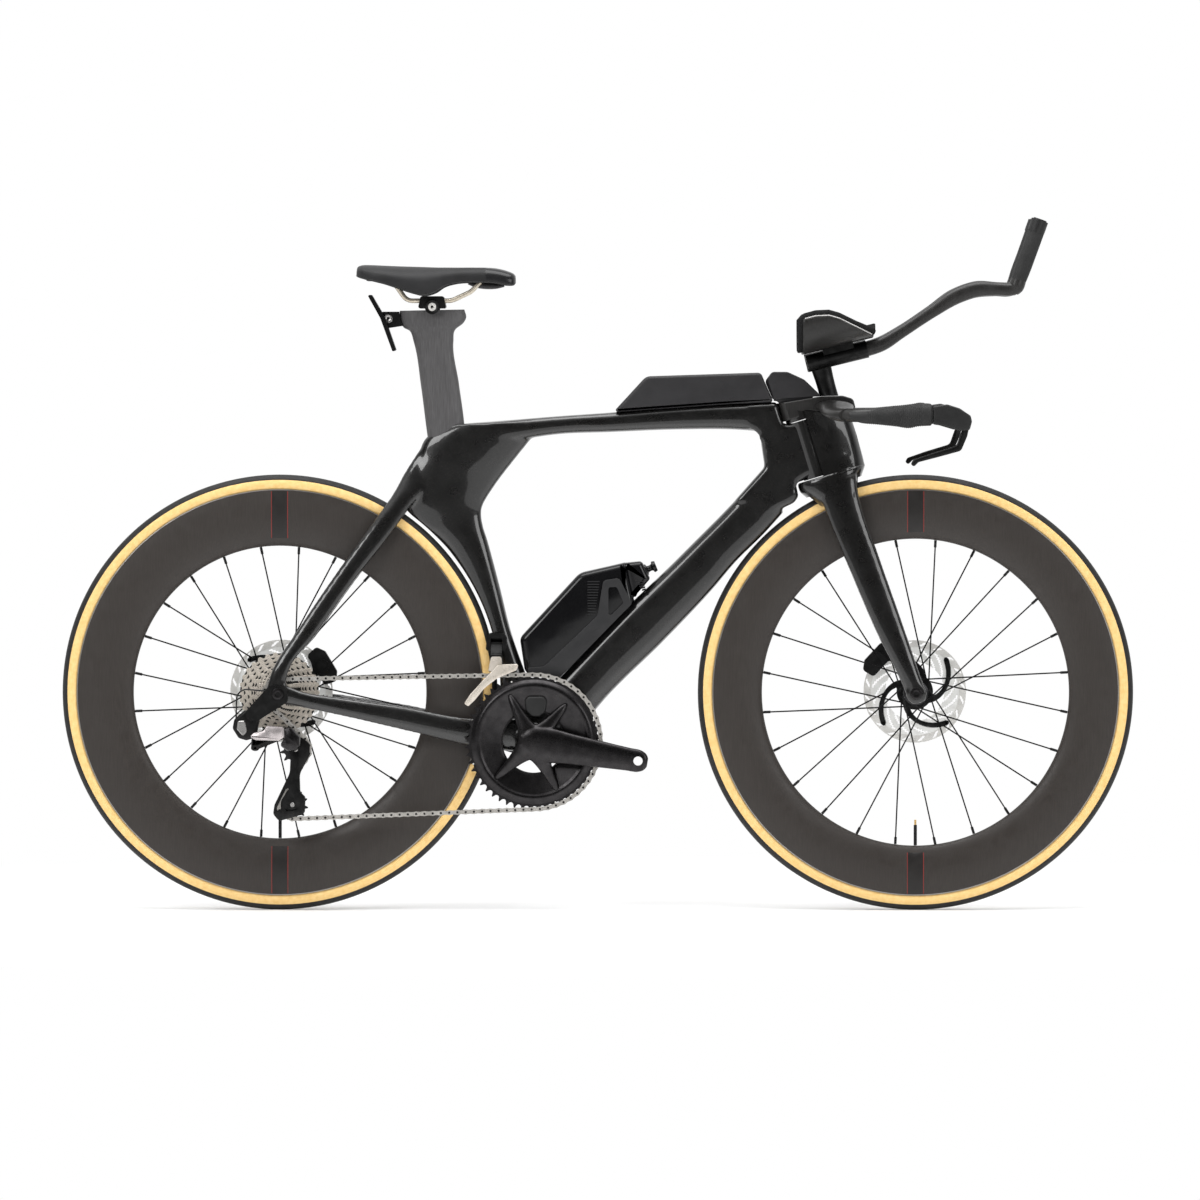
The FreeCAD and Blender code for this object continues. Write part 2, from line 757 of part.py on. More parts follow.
def chain_stations():
    """Roller places along the loop, as (x, z, across); also sets each sprocket's phase."""
    rollers = []
    travelled = 0.0
    for wheel, start, swept, (ends, normal) in chain_spans(PITCH):
        radius = wheel.radius(PITCH)
        arc = abs(swept) * radius
        first = -travelled % PITCH
        wheel.phase = start - wheel.sense * first / radius
        spot = first
        while spot < arc:
            angle = start - wheel.sense * spot / radius
            x = wheel.centre.x + radius * math.cos(angle)
            z = wheel.centre.z + radius * math.sin(angle)
            rollers.append((x, z, wheel.plane))
            spot += PITCH
        following = CHAIN_WHEELS[(CHAIN_WHEELS.index(wheel) + 1) % len(CHAIN_WHEELS)]
        run = math.hypot(ends[1][0] - ends[0][0], ends[1][1] - ends[0][1])
        spot -= arc
        while spot < run:
            share = spot / run
            x = ends[0][0] + share * (ends[1][0] - ends[0][0])
            z = ends[0][1] + share * (ends[1][1] - ends[0][1])
            rollers.append((x, z, run_plane(wheel, following, run, spot)))
            spot += PITCH
        travelled += arc + run
    return rollers


ROLLERS = chain_stations()


def strip_section(x, z, normal, across):
    """Rectangular section of one row of chain plates, standing on the chain line."""
    half = size("chain_height") / 2
    thick = size("chain_plate") / 2
    points = []
    for out, side in ((half, thick), (-half, thick), (-half, -thick), (half, -thick)):
        points.append(Vector(x + out * normal[0], across + side, z + out * normal[1]))
    return Part.makePolygon(points + points[:1])


def make_chain():
    """Two rows of plates joined by rollers, round all four sprockets."""
    pieces = []
    for side in (-1, 1):
        offset = side * size("(chain_gap + chain_plate) / 2")
        for wheel, start, swept, (ends, normal) in chain_spans(PITCH):
            radius = wheel.radius(PITCH)
            out = (math.cos(start), math.sin(start))
            x = wheel.centre.x + radius * out[0]
            z = wheel.centre.z + radius * out[1]
            face = Part.Face(strip_section(x, z, out, wheel.plane + offset))
            pieces.append(face.revolve(wheel.centre, Y_AXIS, -math.degrees(swept)))
            following = CHAIN_WHEELS[(CHAIN_WHEELS.index(wheel) + 1) % len(CHAIN_WHEELS)]
            run = math.hypot(ends[1][0] - ends[0][0], ends[1][1] - ends[0][1])
            first, last = run_leads(wheel, following, run)
            sections = []
            for spot in (0.0, first, run - last, run):
                share = spot / run
                x = ends[0][0] + share * (ends[1][0] - ends[0][0])
                z = ends[0][1] + share * (ends[1][1] - ends[0][1])
                across = run_plane(wheel, following, run, spot) + offset
                sections.append(strip_section(x, z, normal, across))
            pieces.append(Part.makeLoft(sections, True, True))
    length = size("chain_gap + chain_plate")
    for x, z, across in ROLLERS:
        foot = Vector(x, across - length / 2, z)
        pieces.append(Part.makeCylinder(size("roller_radius"), length, foot, Y_AXIS))
    feature("chain", joined(pieces))


def sprocket(teeth, phase, thickness, bore):
    """Toothed disc about the Y axis: a round seat for each roller and a flat-tipped tooth between seats."""
    radius = teeth * PITCH / (2 * math.pi)
    seat = size("roller_radius + roller_seat_gap")
    tip = radius + size("tooth_height")
    tip_half = size("tooth_tip") / 2 / tip
    opening = math.radians(75)
    edges = []
    step = 2 * math.pi / teeth

    def polar(out, angle):
        return Vector(out * math.cos(angle), 0, out * math.sin(angle))

    previous = None
    first = None
    for number in range(teeth):
        angle = phase + number * step
        centre = polar(radius, angle)
        inward = polar(-1, angle)
        side = Vector(-inward.z, 0, inward.x)

        def seat_point(turn):
            depth = Vector(inward).multiply(seat * math.cos(turn))
            return centre.add(depth).add(Vector(side).multiply(seat * math.sin(turn)))

        points = sorted((seat_point(-opening), seat_point(opening)), key=lambda p: angle_from(p, angle))
        rise = polar(tip, angle + step / 2 - tip_half)
        fall = polar(tip, angle + step / 2 + tip_half)
        if previous is not None:
            edges.append(Part.LineSegment(previous, points[0]).toShape())
        else:
            first = points[0]
        edges.append(Part.Arc(points[0], seat_point(0), points[1]).toShape())
        edges.append(Part.LineSegment(points[1], rise).toShape())
        edges.append(Part.LineSegment(rise, fall).toShape())
        previous = fall
    edges.append(Part.LineSegment(previous, first).toShape())
    face = Part.Face(Part.Wire(edges))
    disc = face.extrude(Vector(0, thickness, 0))
    disc.translate(Vector(0, -thickness / 2, 0))
    hole = Part.makeCylinder(bore, 2 * thickness, Vector(0, -thickness, 0), Y_AXIS)
    return disc.cut(hole)


def angle_from(point, angle):
    """Angle of a point past a given direction, between minus and plus half a turn."""
    turned = math.atan2(point.z, point.x) - angle
    return (turned + math.pi) % (2 * math.pi) - math.pi


def make_cassette():
    """Twelve sprockets with spacers between them and a lockring outside, as separate solids."""
    thickness = size("sprocket_thickness")
    bore = size("freehub_radius + running_gap")
    solids = []
    for number, teeth in enumerate(COG_TEETH):
        plane = -size("first_cog_plane") + number * size("cog_step")
        cog = sprocket(teeth, COG.phase, thickness, bore)
        cog.translate(REAR_AXLE.add(Vector(0, plane, 0)))
        solids.append(cog)
        gap = size("cog_step") - thickness
        outer = bore + 1
        if number < len(COG_TEETH) - 1:
            foot = REAR_AXLE.add(Vector(0, plane + thickness / 2, 0))
            ring = Part.makeCylinder(outer, gap, foot, Y_AXIS)
            solids.append(ring.cut(Part.makeCylinder(bore, gap, foot, Y_AXIS)))
    foot = REAR_AXLE.add(Vector(0, -size("first_cog_plane") - thickness / 2 - 2, 0))
    lockring = Part.makeCylinder(size("freehub_radius") + 1, 2, foot, Y_AXIS)
    solids.append(lockring.cut(Part.makeCylinder(size("freehub_radius") - 4, 2, foot, Y_AXIS)))
    feature("cassette", Part.makeCompound(solids))


def make_freehub():
    """Driver body that carries the cassette and runs on the axle."""
    end = "(rear_hub_width / 2 - seat_gap)"
    inner = "(%s + seat_gap)" % REAR_HUB_RIGHT
    lock = "(first_cog_plane + sprocket_thickness / 2)"
    loop = [
        ("-" + inner, "freehub_radius"),
        ("-" + inner, HUB_BORE),
        ("-" + end, HUB_BORE),
        ("-" + end, "hub_end_radius"),
        ("-" + lock, "hub_end_radius"),
        ("-" + lock, "freehub_radius"),
    ]
    place(revolved("freehub_body", [loop]), **REAR_PLACE)


SPIDER_ANGLES = (57, 127, 237, 307)


def spider_tip(angle):
    """Middle of one spider arm's bolt."""
    turn = math.radians(angle)
    reach = size("ring_bolt_radius")
    return BB.add(Vector(reach * math.cos(turn), 0, reach * math.sin(turn)))


def make_chainring(label, teeth, plane, phase, thickness):
    """A chainring: toothed ring whose inner edge has lugs for the crank spider."""
    ring = sprocket(teeth, phase, thickness, size("ring_bolt_radius") - 7)
    ring.translate(BB.add(Vector(0, plane, 0)))
    for angle in SPIDER_ANGLES:
        ring = ring.cut(wheel_gap(spider_tip(angle), size("ring_bolt") + size("running_gap"), 100))
    feature(label, ring)


def crank_way(sense):
    """Direction of a crank arm: forwards and a little down on the right, the other way on the left."""
    drop = math.radians(size("crank_drop_angle"))
    return Vector(sense * math.cos(drop), 0, -sense * math.sin(drop))


def make_spindle():
    """Steel spindle through both arms and the bottom bracket."""
    end = size("crank_plane + crank_thickness") - 4
    start = size("crank_plane + crank_thickness / 2")
    return Part.makeCylinder(size("spindle_radius"), start + end, BB.sub(Vector(0, start, 0)), Y_AXIS)


def make_crank(label, sense, side):
    """Crank arm with a pedal eye, a boss on the spindle and, on the right, the spider and the spindle."""
    way = crank_way(sense)
    thick = size("crank_thickness")
    inner = side * size("crank_plane")
    outer = inner + side * thick
    low = min(inner, outer)
    pedal = BB.add(Vector(way).multiply(size("crank_length")))
    across = way.cross(Y_AXIS).normalize()
    boss_half = size("crank_boss_radius")
    eye_half = size("crank_eye_radius")
    points = []
    for centre, half in ((BB, boss_half), (pedal, eye_half)):
        wide = Vector(across).multiply(half)
        points.append((centre.add(wide), centre.sub(wide)))
    (boss_a, boss_b), (eye_a, eye_b) = points
    eye_end = pedal.add(Vector(way).multiply(eye_half))
    boss_end = BB.sub(Vector(way).multiply(boss_half))
    outline = Part.Wire([
        Part.LineSegment(boss_a, eye_a).toShape(),
        Part.Arc(eye_a, eye_end, eye_b).toShape(),
        Part.LineSegment(eye_b, boss_b).toShape(),
        Part.Arc(boss_b, boss_end, boss_a).toShape(),
    ])
    arm = Part.Face(outline).extrude(Vector(0, thick, 0))
    arm.translate(Vector(0, low, 0))
    arm = arm.makeFillet(thick / 4, [edge for edge in arm.Edges if abs(edge.CenterOfMass.y - outer) < 1e-4])
    pieces = [arm]
    if side < 0:
        back = size("ring_step - ring_plane + sprocket_thickness")
        seat = -size("ring_plane + sprocket_thickness / 2 + seat_gap")
        front = seat - size("spider_thickness")
        boss_foot = BB.add(Vector(0, inner - 1, 0))
        pieces.append(Part.makeCylinder(boss_half, seat - inner + 1, boss_foot, Y_AXIS))
        for angle in SPIDER_ANGLES:
            tip = spider_tip(angle)
            side_way = tip.sub(BB).cross(Y_AXIS).normalize()
            wide = Vector(side_way).multiply(size("spider_width") * 0.7)
            narrow = Vector(side_way).multiply(size("spider_width") / 2)
            ring = [BB.add(wide), tip.add(narrow), tip.sub(narrow), BB.sub(wide)]
            leg = Part.Face(Part.makePolygon(ring + ring[:1]))
            leg.translate(Vector(0, front, 0))
            pieces.append(leg.extrude(Vector(0, seat - front, 0)))
            pad = tip.add(Vector(0, front, 0))
            pieces.append(Part.makeCylinder(size("spider_width") / 2, seat - front, pad, Y_AXIS))
            pieces.append(Part.makeCylinder(size("ring_bolt"), back - front, pad, Y_AXIS))
    arm = joined(pieces)
    thread = Part.makeCylinder(
        size("pedal_thread_radius"), 3 * thick, pedal.add(Vector(0, low - thick, 0)), Y_AXIS
    )
    arm = arm.cut(thread)
    reach = size("crank_plane + 2 * crank_thickness")
    bore = Part.makeCylinder(size("spindle_radius + running_gap"), 2 * reach, BB.sub(Vector(0, reach, 0)), Y_AXIS)
    arm = arm.cut(bore)
    if side < 0:
        arm = Part.makeCompound([arm, make_spindle()])
    feature(label, arm)


# Frame: the top tube's upper edge runs from the seat cluster by a soft bend to the head
SEAT = size("seat_height")
CROWN = size("crown_top")
TOP_REAR = at_bb(-108, SEAT)
TOP_BEND = at_head(-102.2, HEAD_TOP + 57.4)
TOP_FRONT = at_head(0, HEAD_TOP + 30)
TOP_BEND_RADIUS = 300
TOP_TUBE_DEPTH = 27.0
TUBE_FOOT = at_bb(8, 62)
TUBE_HEAD = at_head(-72, CROWN + 40)


def top_edge(x):
    """Height of the top tube's upper edge at a place along the bike."""
    first, last = (TOP_REAR, TOP_BEND) if x <= TOP_BEND.x else (TOP_BEND, TOP_FRONT)
    return first.z + (x - first.x) / (last.x - first.x) * (last.z - first.z)


def frame_outline():
    """Corners of the frame's outer edge from the seat cluster round by the bottom bracket and the head."""
    return [
        corner(TOP_REAR, 60),
        corner(at_bb(-168, SEAT - 26), 20),
        corner(at_bb(-243, SEAT - 138), 14),
        corner(at_bb(-214, SEAT - 160), 14),
        corner(at_bb(-57, 30), 20),
        corner(at_bb(-41, -34), 30),
        corner(at_bb(25, -38), 30),
        corner(at_bb(56, 14), 60),
        corner(at_head(-203, CROWN - 117), 60),
        corner(at_head(0, CROWN - 47), 16),
        corner(TOP_FRONT, 14),
        corner(TOP_BEND, TOP_BEND_RADIUS),
    ]


def frame_window():
    """Corners of the opening between the top tube, down tube and seat tube."""
    return [
        corner(Vector(BB_X, 0, top_edge(BB_X) - TOP_TUBE_DEPTH), 18),
        corner(at_bb(-83, SEAT - 126), 40),
        corner(at_bb(-34, 165), 300),
        corner(TUBE_FOOT, 16),
        corner(TUBE_HEAD, 20),
        corner(at_head(-68, HEAD_TOP + 5), 22),
    ]


# Stays, from the rear axle: (shares of the stay's reach and rise, half gap across, half height, half width)
STAY_RUN = BB_X - REAR_X
SEATSTAY_REACH = STAY_RUN - 206.8
SEATSTAY_RISE = SEAT - size("bb_drop") - 85
SEATSTAY = (
    (1.0, 1.0, 11.5, 14.0, 8.0),
    (0.873, 0.802, 28.0, 13.0, 7.5),
    (0.582, 0.565, 45.0, 12.5, 7.0),
    (0.238, 0.279, 64.5, 11.0, 6.5),
    (0.0, 0.072, 76.5, 9.5, 5.5),
    (-0.021, 0.018, 77.0, 9.0, 5.0),
)
CHAINSTAY = (
    (0.935, -0.934, 27.0, 23.0, 8.0),
    (0.745, -0.763, 30.5, 21.5, 8.0),
    (0.488, -0.513, 46.0, 18.0, 7.5),
    (0.245, -0.276, 63.5, 13.5, 7.0),
    (0.063, -0.092, 76.0, 9.5, 5.5),
    (-0.015, -0.013, 77.0, 9.0, 5.0),
)


def stay(shares, reach, rise):
    """One stay as a smooth loft through elliptic sections, each square to its run in the side view."""
    wires = []
    stations = [(reach * x, rise * z, across, height, width) for x, z, across, height, width in shares]
    for number, (x, z, across, height, width) in enumerate(stations):
        ahead = stations[min(number + 1, len(stations) - 1)]
        behind = stations[max(number - 1, 0)]
        way = Vector(ahead[0] - behind[0], 0, ahead[1] - behind[1])
        up = way.cross(Y_AXIS)
        wires.append(ellipse(at_rear(x, z, -across), up, Y_AXIS, height, width))
    return loft(wires)


POST_FOOT = at_bb(-137, SEAT - 7)
POST_LEAN = math.radians(size("post_lean"))
POST_UP = Vector(-math.sin(POST_LEAN), 0, math.cos(POST_LEAN))


def post_section(height, grow):
    """Wing-shaped section of the seatpost, square to it, at a height above the frame's socket mouth."""
    middle = POST_FOOT.add(Vector(POST_UP).multiply(height))
    ahead = Vector(math.cos(POST_LEAN), 0, math.sin(POST_LEAN))
    return ellipse(middle, ahead, Y_AXIS, size("post_chord") / 2 + grow, size("post_width") / 2 + grow)


def post_shape(low, high, grow):
    """A length of the seatpost."""
    return loft([post_section(low, grow), post_section(high, grow)])


def make_frame():
    """One-piece frame: slab of the main tubes, stays, dropouts, shell and head tube, then its cuts."""
    half = size("frame_half_width")
    main = slab(frame_outline(), -half, half)
    main = main.cut(slab(frame_window(), -2 * half, 2 * half))
    rim = [edge for edge in main.Edges if abs(abs(edge.CenterOfMass.y) - half) < 1e-4]
    main = main.makeFillet(size("tube_edge_radius"), rim)
    top = HEAD_TOP
    foot = size("crown_top")
    sweep = size("nose_half_width") + 3
    fin_gap = head_cylinder(sweep, foot, top).cut(head_cylinder(size("head_tube_radius"), foot, top))
    main = main.cut(fin_gap.common(head_block(-13, 120, foot, top)))
    main = main.cut(head_cylinder(size("crown_rear_radius + steer_gap"), foot - 120, foot))
    main = main.cut(head_cylinder(size("stem_rear_radius + steer_gap"), top, top + 90))
    main = main.cut(wheel_gap(REAR_AXLE, size("tyre_radius + tyre_clearance_rear"), 3 * half))
    main = main.cut(wheel_gap(FRONT_AXLE, size("tyre_radius + tyre_clearance_front"), 3 * half))
    solids = [main, head_cylinder(size("head_tube_radius"), foot, top)]
    stays = ((SEATSTAY, SEATSTAY_REACH, SEATSTAY_RISE), (CHAINSTAY, STAY_RUN, size("bb_drop")))
    for shares, reach, rise in stays:
        right = stay(shares, reach, rise)
        solids += [right, mirrored(right)]
    inner = size("rear_hub_width") / 2
    for side in (-1, 1):
        low = inner if side > 0 else -inner - size("dropout_thickness")
        eye = at_rear(0, 0, low)
        solids.append(Part.makeCylinder(size("dropout_radius"), size("dropout_thickness"), eye, Y_AXIS))
    shell = Part.makeCylinder(
        size("bb_shell_radius"), size("bb_width"), BB.sub(Vector(0, size("bb_width") / 2, 0)), Y_AXIS
    )
    frame = joined(solids + [shell])
    rear_room = size("tyre_radius + tyre_clearance_rear")
    frame = frame.cut(wheel_gap(REAR_AXLE, rear_room, size("tyre_width") / 2 + 4))
    bores = [
        Part.makeCylinder(size("bb_cup_radius"), 200, BB.sub(Vector(0, 100, 0)), Y_AXIS),
        wheel_gap(REAR_AXLE, size("axle_radius + running_gap"), 150),
        head_cylinder(size("headset_radius"), foot - 1, top + 1),
        post_shape(-size("post_insert"), 40, size("running_gap")),
    ]
    for bore in bores:
        frame = frame.cut(bore)
    feature("frame", frame)


def make_bearings():
    """Headset bearings at both ends of the head tube and bottom bracket bearings in the shell."""
    width = size("bearing_width")
    rings = []
    for low in (size("crown_top") + 0.5, HEAD_TOP - width - 0.5):
        outer = head_cylinder(size("headset_radius"), low, low + width)
        rings.append(outer.cut(head_cylinder(size("steerer_radius + running_gap"), low, low + width)))
    for side in (-1, 1):
        low = side * size("bb_width") / 2 - (width if side > 0 else 0)
        foot = BB.add(Vector(0, low, 0))
        outer = Part.makeCylinder(size("bb_cup_radius"), width, foot, Y_AXIS)
        bore = Part.makeCylinder(size("spindle_radius + running_gap"), width, foot, Y_AXIS)
        rings.append(outer.cut(bore))
    feature("frame_bearings", Part.makeCompound(rings))


# Fork legs: (up the steering axis, out from it, half gap across, half chord, half width)
FORK_LEG = (
    (CROWN - 20, 25, 27.0, 31.0, 9.5),
    (CROWN - 51, 24, 30.0, 28.0, 9.5),
    (0.594 * CROWN, 30.5, 41.5, 25.0, 9.0),
    (0.247 * CROWN, 40.2, 52.5, 20.2, 8.0),
    (12, 48, 56.0, 14.5, 7.0),
    (-16, 48.5, 56.0, 12.5, 7.0),
)
# Crown sections: (down from its top, rear and front end from the steering axis, half width)
FORK_CROWN = (
    (0, -34, 79, 34.0),
    (13, -33, 68, 35.0),
    (30, -20, 59, 37.0),
)


def make_fork():
    """Fork with a crown, two legs, a nose in front of the head tube and a steerer."""
    top = HEAD_TOP
    foot = size("crown_top")
    reach = size("nose_reach")
    width = size("nose_half_width")
    outline = ellipse(at_head(8, foot - 1), HEAD_OUT, Y_AXIS, reach - 8, width)
    nose = Part.Face(outline).extrude(Vector(HEAD_UP).multiply(120))
    nose = nose.common(head_block(8, 120, foot - 20, top + 40))
    nose = nose.cut(head_cylinder(size("head_tube_radius + steer_gap"), foot, top + 40))
    nose = nose.cut(nose_lid(0))
    wires = []
    for down, rear, front, half in FORK_CROWN:
        middle = at_head((rear + front) / 2, foot - size("seat_gap") - down)
        wires.append(ellipse(middle, HEAD_OUT, Y_AXIS, (front - rear) / 2, half))
    crown = loft(wires)
    fork = nose.fuse(crown)
    fork = fork.fuse(head_cylinder(size("steerer_radius"), foot - 20, top + 26))
    wires = []
    for up, out, across, chord, wide in FORK_LEG:
        wires.append(ellipse(at_head(out, up, across), HEAD_OUT, Y_AXIS, chord, wide))
    leg = loft(wires)
    fork = fork.fuse(leg).fuse(mirrored(leg))
    arch = wheel_gap(FRONT_AXLE, size("tyre_radius + fork_arch_gap"), size("fork_arch_half_width"))
    hub_gap = wheel_gap(FRONT_AXLE, 24, size("front_hub_width") / 2)
    bore = wheel_gap(FRONT_AXLE, size("axle_radius + running_gap"), size("front_hub_width"))
    for tool in (arch, hub_gap, bore):
        fork = fork.cut(tool)
    feature("fork", fork)


def nose_lid(lift):
    """Room above the fork's nose: everything over the slanted seam under the base bar."""
    rear = at_head(8, HEAD_TOP + 13 + lift)
    front = at_head(90, HEAD_TOP - 22.5 + lift)
    way = front.sub(rear).normalize()
    up = Vector(-way.z, 0, way.x)
    back = rear.sub(Vector(way).multiply(60))
    ring = [back, front, front.add(Vector(up).multiply(90)), back.add(Vector(up).multiply(90))]
    face = Part.Face(Part.makePolygon(ring + ring[:1]))
    face.translate(Vector(0, -60, 0))
    return face.extrude(Vector(0, 120, 0))


# Cockpit, measured from the top of the head tube
STEM_FOOT = at_head(0, HEAD_TOP)


def at_stem(x, z, across=0.0):
    """A point measured from the top of the head tube."""
    return STEM_FOOT.add(Vector(x, across, z))


STEM_SIDE = (
    (-40, 26, 4),
    (-30, -3, 4),
    (-3, 5, 4),
    (10, 15.5, 6),
    (76, 6.5, 6),
    (86, 20, 8),
    (82, 34, 8),
    (66, 39, 12),
    (30, 37.5, 60),
)
# Wing sections: (share of the way across, x, z, half chord, half height)
BAR_WING = (
    (0.0, 53, 22, 30, 11),
    (0.3, 54, 21, 28, 9.5),
    (0.65, 55, 15, 25, 9),
    (0.85, 62, 10, 22, 10),
    (0.94, 74, 9, 17, 10.5),
)
BAR_BEND = 20.0
GRIP_REAR = (80, 9)
GRIP_FRONT = (200, 10)


def make_base_bar():
    """Base bar with its stem block, wings out to both sides and round ends that carry the grips."""
    stem = soft_slab([corner(at_stem(x, z), r) for x, z, r in STEM_SIDE], 23, 2.5)
    rear = head_cylinder(size("stem_rear_radius"), HEAD_TOP - 60, HEAD_TOP + 90)
    stem = stem.common(rear.fuse(head_block(0, 120, HEAD_TOP - 60, HEAD_TOP + 90)))
    reach = size("bar_half_width")
    wires = []
    for share, x, z, chord, height in BAR_WING:
        wires.append(ellipse(at_stem(x, z, share * reach), X_AXIS, Z_AXIS, chord, height))
    wing = loft(wires)
    knee = at_stem(64, 9.5, 0.87 * reach)
    heel = at_stem(GRIP_REAR[0] + 8, GRIP_REAR[1], reach)
    end = pipe(round_path([knee, heel, grip_end(1)], [BAR_BEND]), size("bar_tube_radius"))
    arm = wing.fuse(end)
    bar = stem.fuse(arm).fuse(mirrored(arm))
    bar = bar.cut(nose_room().common(slab_space(size("nose_half_width") + 1)))
    bar = bar.cut(head_cylinder(size("steerer_radius + running_gap"), HEAD_TOP - 40, HEAD_TOP + 26.5))
    bar = bar.cut(head_cylinder(size("head_tube_radius") + 8, HEAD_TOP - 60, HEAD_TOP + size("seat_gap")))
    feature("base_bar", bar)


def slab_space(half):
    """All the room within a distance of the middle plane."""
    return Part.makeBox(2000, 2 * half, 2000, Vector(-1000, -half, 0))


def nose_room():
    """Room kept free for the fork's nose under the base bar."""
    block = head_block(0, 120, HEAD_TOP - 90, HEAD_TOP + 40)
    return block.cut(nose_lid(size("seat_gap")))


def grip_end(side):
    """Front end of a base bar grip."""
    return at_stem(GRIP_FRONT[0], GRIP_FRONT[1], side * size("bar_half_width"))


EXTENSION_LINE = ((9.5, 89), (136.5, 120), (261.5, 200), (332.5, 204), (368.5, 306))
EXTENSION_RADII = (110, 60, 24)
EXTENSION_GRIP = 66
BUTTON_TRAVEL = 1.5
PLUNGER_RADIUS = 4.0
PLUNGER_LENGTH = 10.0


def extension_points(side):
    """Corners of one extension's line."""
    across = side * size("extension_half_width")
    return [at_stem(x, z, across) for x, z in EXTENSION_LINE]


def make_extensions():
    """Two bent tubes that reach forwards from the arm rests."""
    tubes = []
    for side in (-1, 1):
        bar = pipe(round_path(extension_points(side), EXTENSION_RADII), size("extension_radius"))
        tip, way = extension_tip(side, 0)
        floor, way = extension_tip(side, PLUNGER_LENGTH + BUTTON_TRAVEL)
        tubes.append(bar.cut(rod(floor, tip, PLUNGER_RADIUS + size("running_gap"))))
    feature("extensions", Part.makeCompound(tubes))


def extension_tip(side, back):
    """A point on the upright end of an extension, so far back from its tip, and the way it points."""
    points = extension_points(side)
    way = points[-1].sub(points[-2]).normalize()
    return points[-1].sub(Vector(way).multiply(back)), way


def make_grips():
    """Sleeves on the base bar's ends and on the extensions' upright ends."""
    sleeves = []
    radius = size("grip_radius")
    for side in (-1, 1):
        reach = side * size("bar_half_width")
        rear_middle = at_stem(GRIP_REAR[0] + 20, GRIP_REAR[1], reach)
        rear = ellipse(rear_middle, Z_AXIS, Y_AXIS, radius - 2, radius - 2.5)
        middle = ellipse(at_stem(150, 8.5, reach), Z_AXIS, Y_AXIS, radius + 2, radius - 1)
        front_middle = at_stem(GRIP_FRONT[0] - 1, GRIP_FRONT[1], reach)
        front = ellipse(front_middle, Z_AXIS, Y_AXIS, radius + 2.5, radius)
        heel = at_stem(GRIP_REAR[0] + 8, GRIP_REAR[1], reach)
        tunnel = rod(heel, grip_end(side), size("bar_tube_radius + running_gap"))
        sleeves.append(loft([rear, middle, front]).cut(tunnel))
    for side in (-1, 1):
        foot, way = extension_tip(side, EXTENSION_GRIP)
        head, way = extension_tip(side, 0)
        outer = rod(foot, head, size("extension_grip_radius"))
        sleeves.append(outer.cut(rod(foot, head, size("extension_radius + running_gap"))))
    feature("grips", Part.makeCompound(sleeves))


def make_shift_button(label, side):
    """Round button over the tip of an extension, whose plunger slides in the tip's bore."""
    tip, way = extension_tip(side, 0)
    foot = tip.add(Vector(way).multiply(BUTTON_TRAVEL + size("seat_gap")))
    disc = Part.makeCylinder(size("extension_radius"), 5, foot, way)
    rim = [edge for edge in disc.Edges if edge.CenterOfMass.sub(foot).dot(way) > 4.9]
    disc = disc.makeFillet(2.0, rim)
    end = foot.sub(Vector(way).multiply(PLUNGER_LENGTH))
    feature(label, disc.fuse(rod(end, foot.add(way), PLUNGER_RADIUS)))


# Lever outlines, from the front end of the grip
LEVER_BODY = ((0.5, 17, 2), (24, 15, 8), (56, -3, 6), (62, -14, 5), (44, -25, 4), (0.5, -16, 2))
LEVER_PIVOT = (49, -11)
LEVER_BLADE = ((43, -16, 3), (56, -18, 3), (45, -52, 8), (-28, -80, 3), (-35, -73, 2.5), (32, -46, 12))
LEVER_SLOT = 10.0
LEVER_SLOT_START = 29.0
LEVER_WIDTH = 8.0
LEVER_PIN = 2.5


def make_lever_bodies():
    """Bodies on the ends of the base bar, each with a slot and a pin for its lever."""
    bodies = []
    wide = size("grip_radius") - 2
    for side in (-1, 1):
        base = grip_end(side)
        body = slab([(base.x + x, base.z + z, r) for x, z, r in LEVER_BODY], base.y - wide, base.y + wide)
        rim = [edge for edge in body.Edges if abs(abs(edge.CenterOfMass.y - base.y) - wide) < 1e-4]
        body = body.makeFillet(3, rim)
        mouth = Vector(base.x + LEVER_SLOT_START, base.y - LEVER_SLOT / 2, base.z - 82)
        slot = Part.makeBox(70, LEVER_SLOT, 80, mouth)
        body = body.cut(slot)
        pin = Vector(base.x + LEVER_PIVOT[0], base.y - wide + 2, base.z + LEVER_PIVOT[1])
        bodies.append(body.fuse(Part.makeCylinder(LEVER_PIN, 2 * wide - 4, pin, Y_AXIS)))
    feature("lever_bodies", Part.makeCompound(bodies))


def make_brake_lever(label, side):
    """Brake lever on its pin, reaching down and back under the grip."""
    base = grip_end(side)
    low = base.y - LEVER_WIDTH / 2
    blade = slab([(base.x + x, base.z + z, r) for x, z, r in LEVER_BLADE], low, low + LEVER_WIDTH)
    eye = Vector(base.x + LEVER_PIVOT[0], low, base.z + LEVER_PIVOT[1])
    blade = blade.fuse(Part.makeCylinder(7, LEVER_WIDTH, eye, Y_AXIS))
    feature(label, blade.cut(Part.makeCylinder(LEVER_PIN + size("running_gap"), LEVER_WIDTH, eye, Y_AXIS)))


# Mast sections: (x, z, half chord, half width)
MAST = ((45.5, 36, 15, 11), (38, 62, 15, 8.5), (31, 86, 17, 10))
CLAMP_WALL = 3.0
CLAMP_LENGTH = 96.0


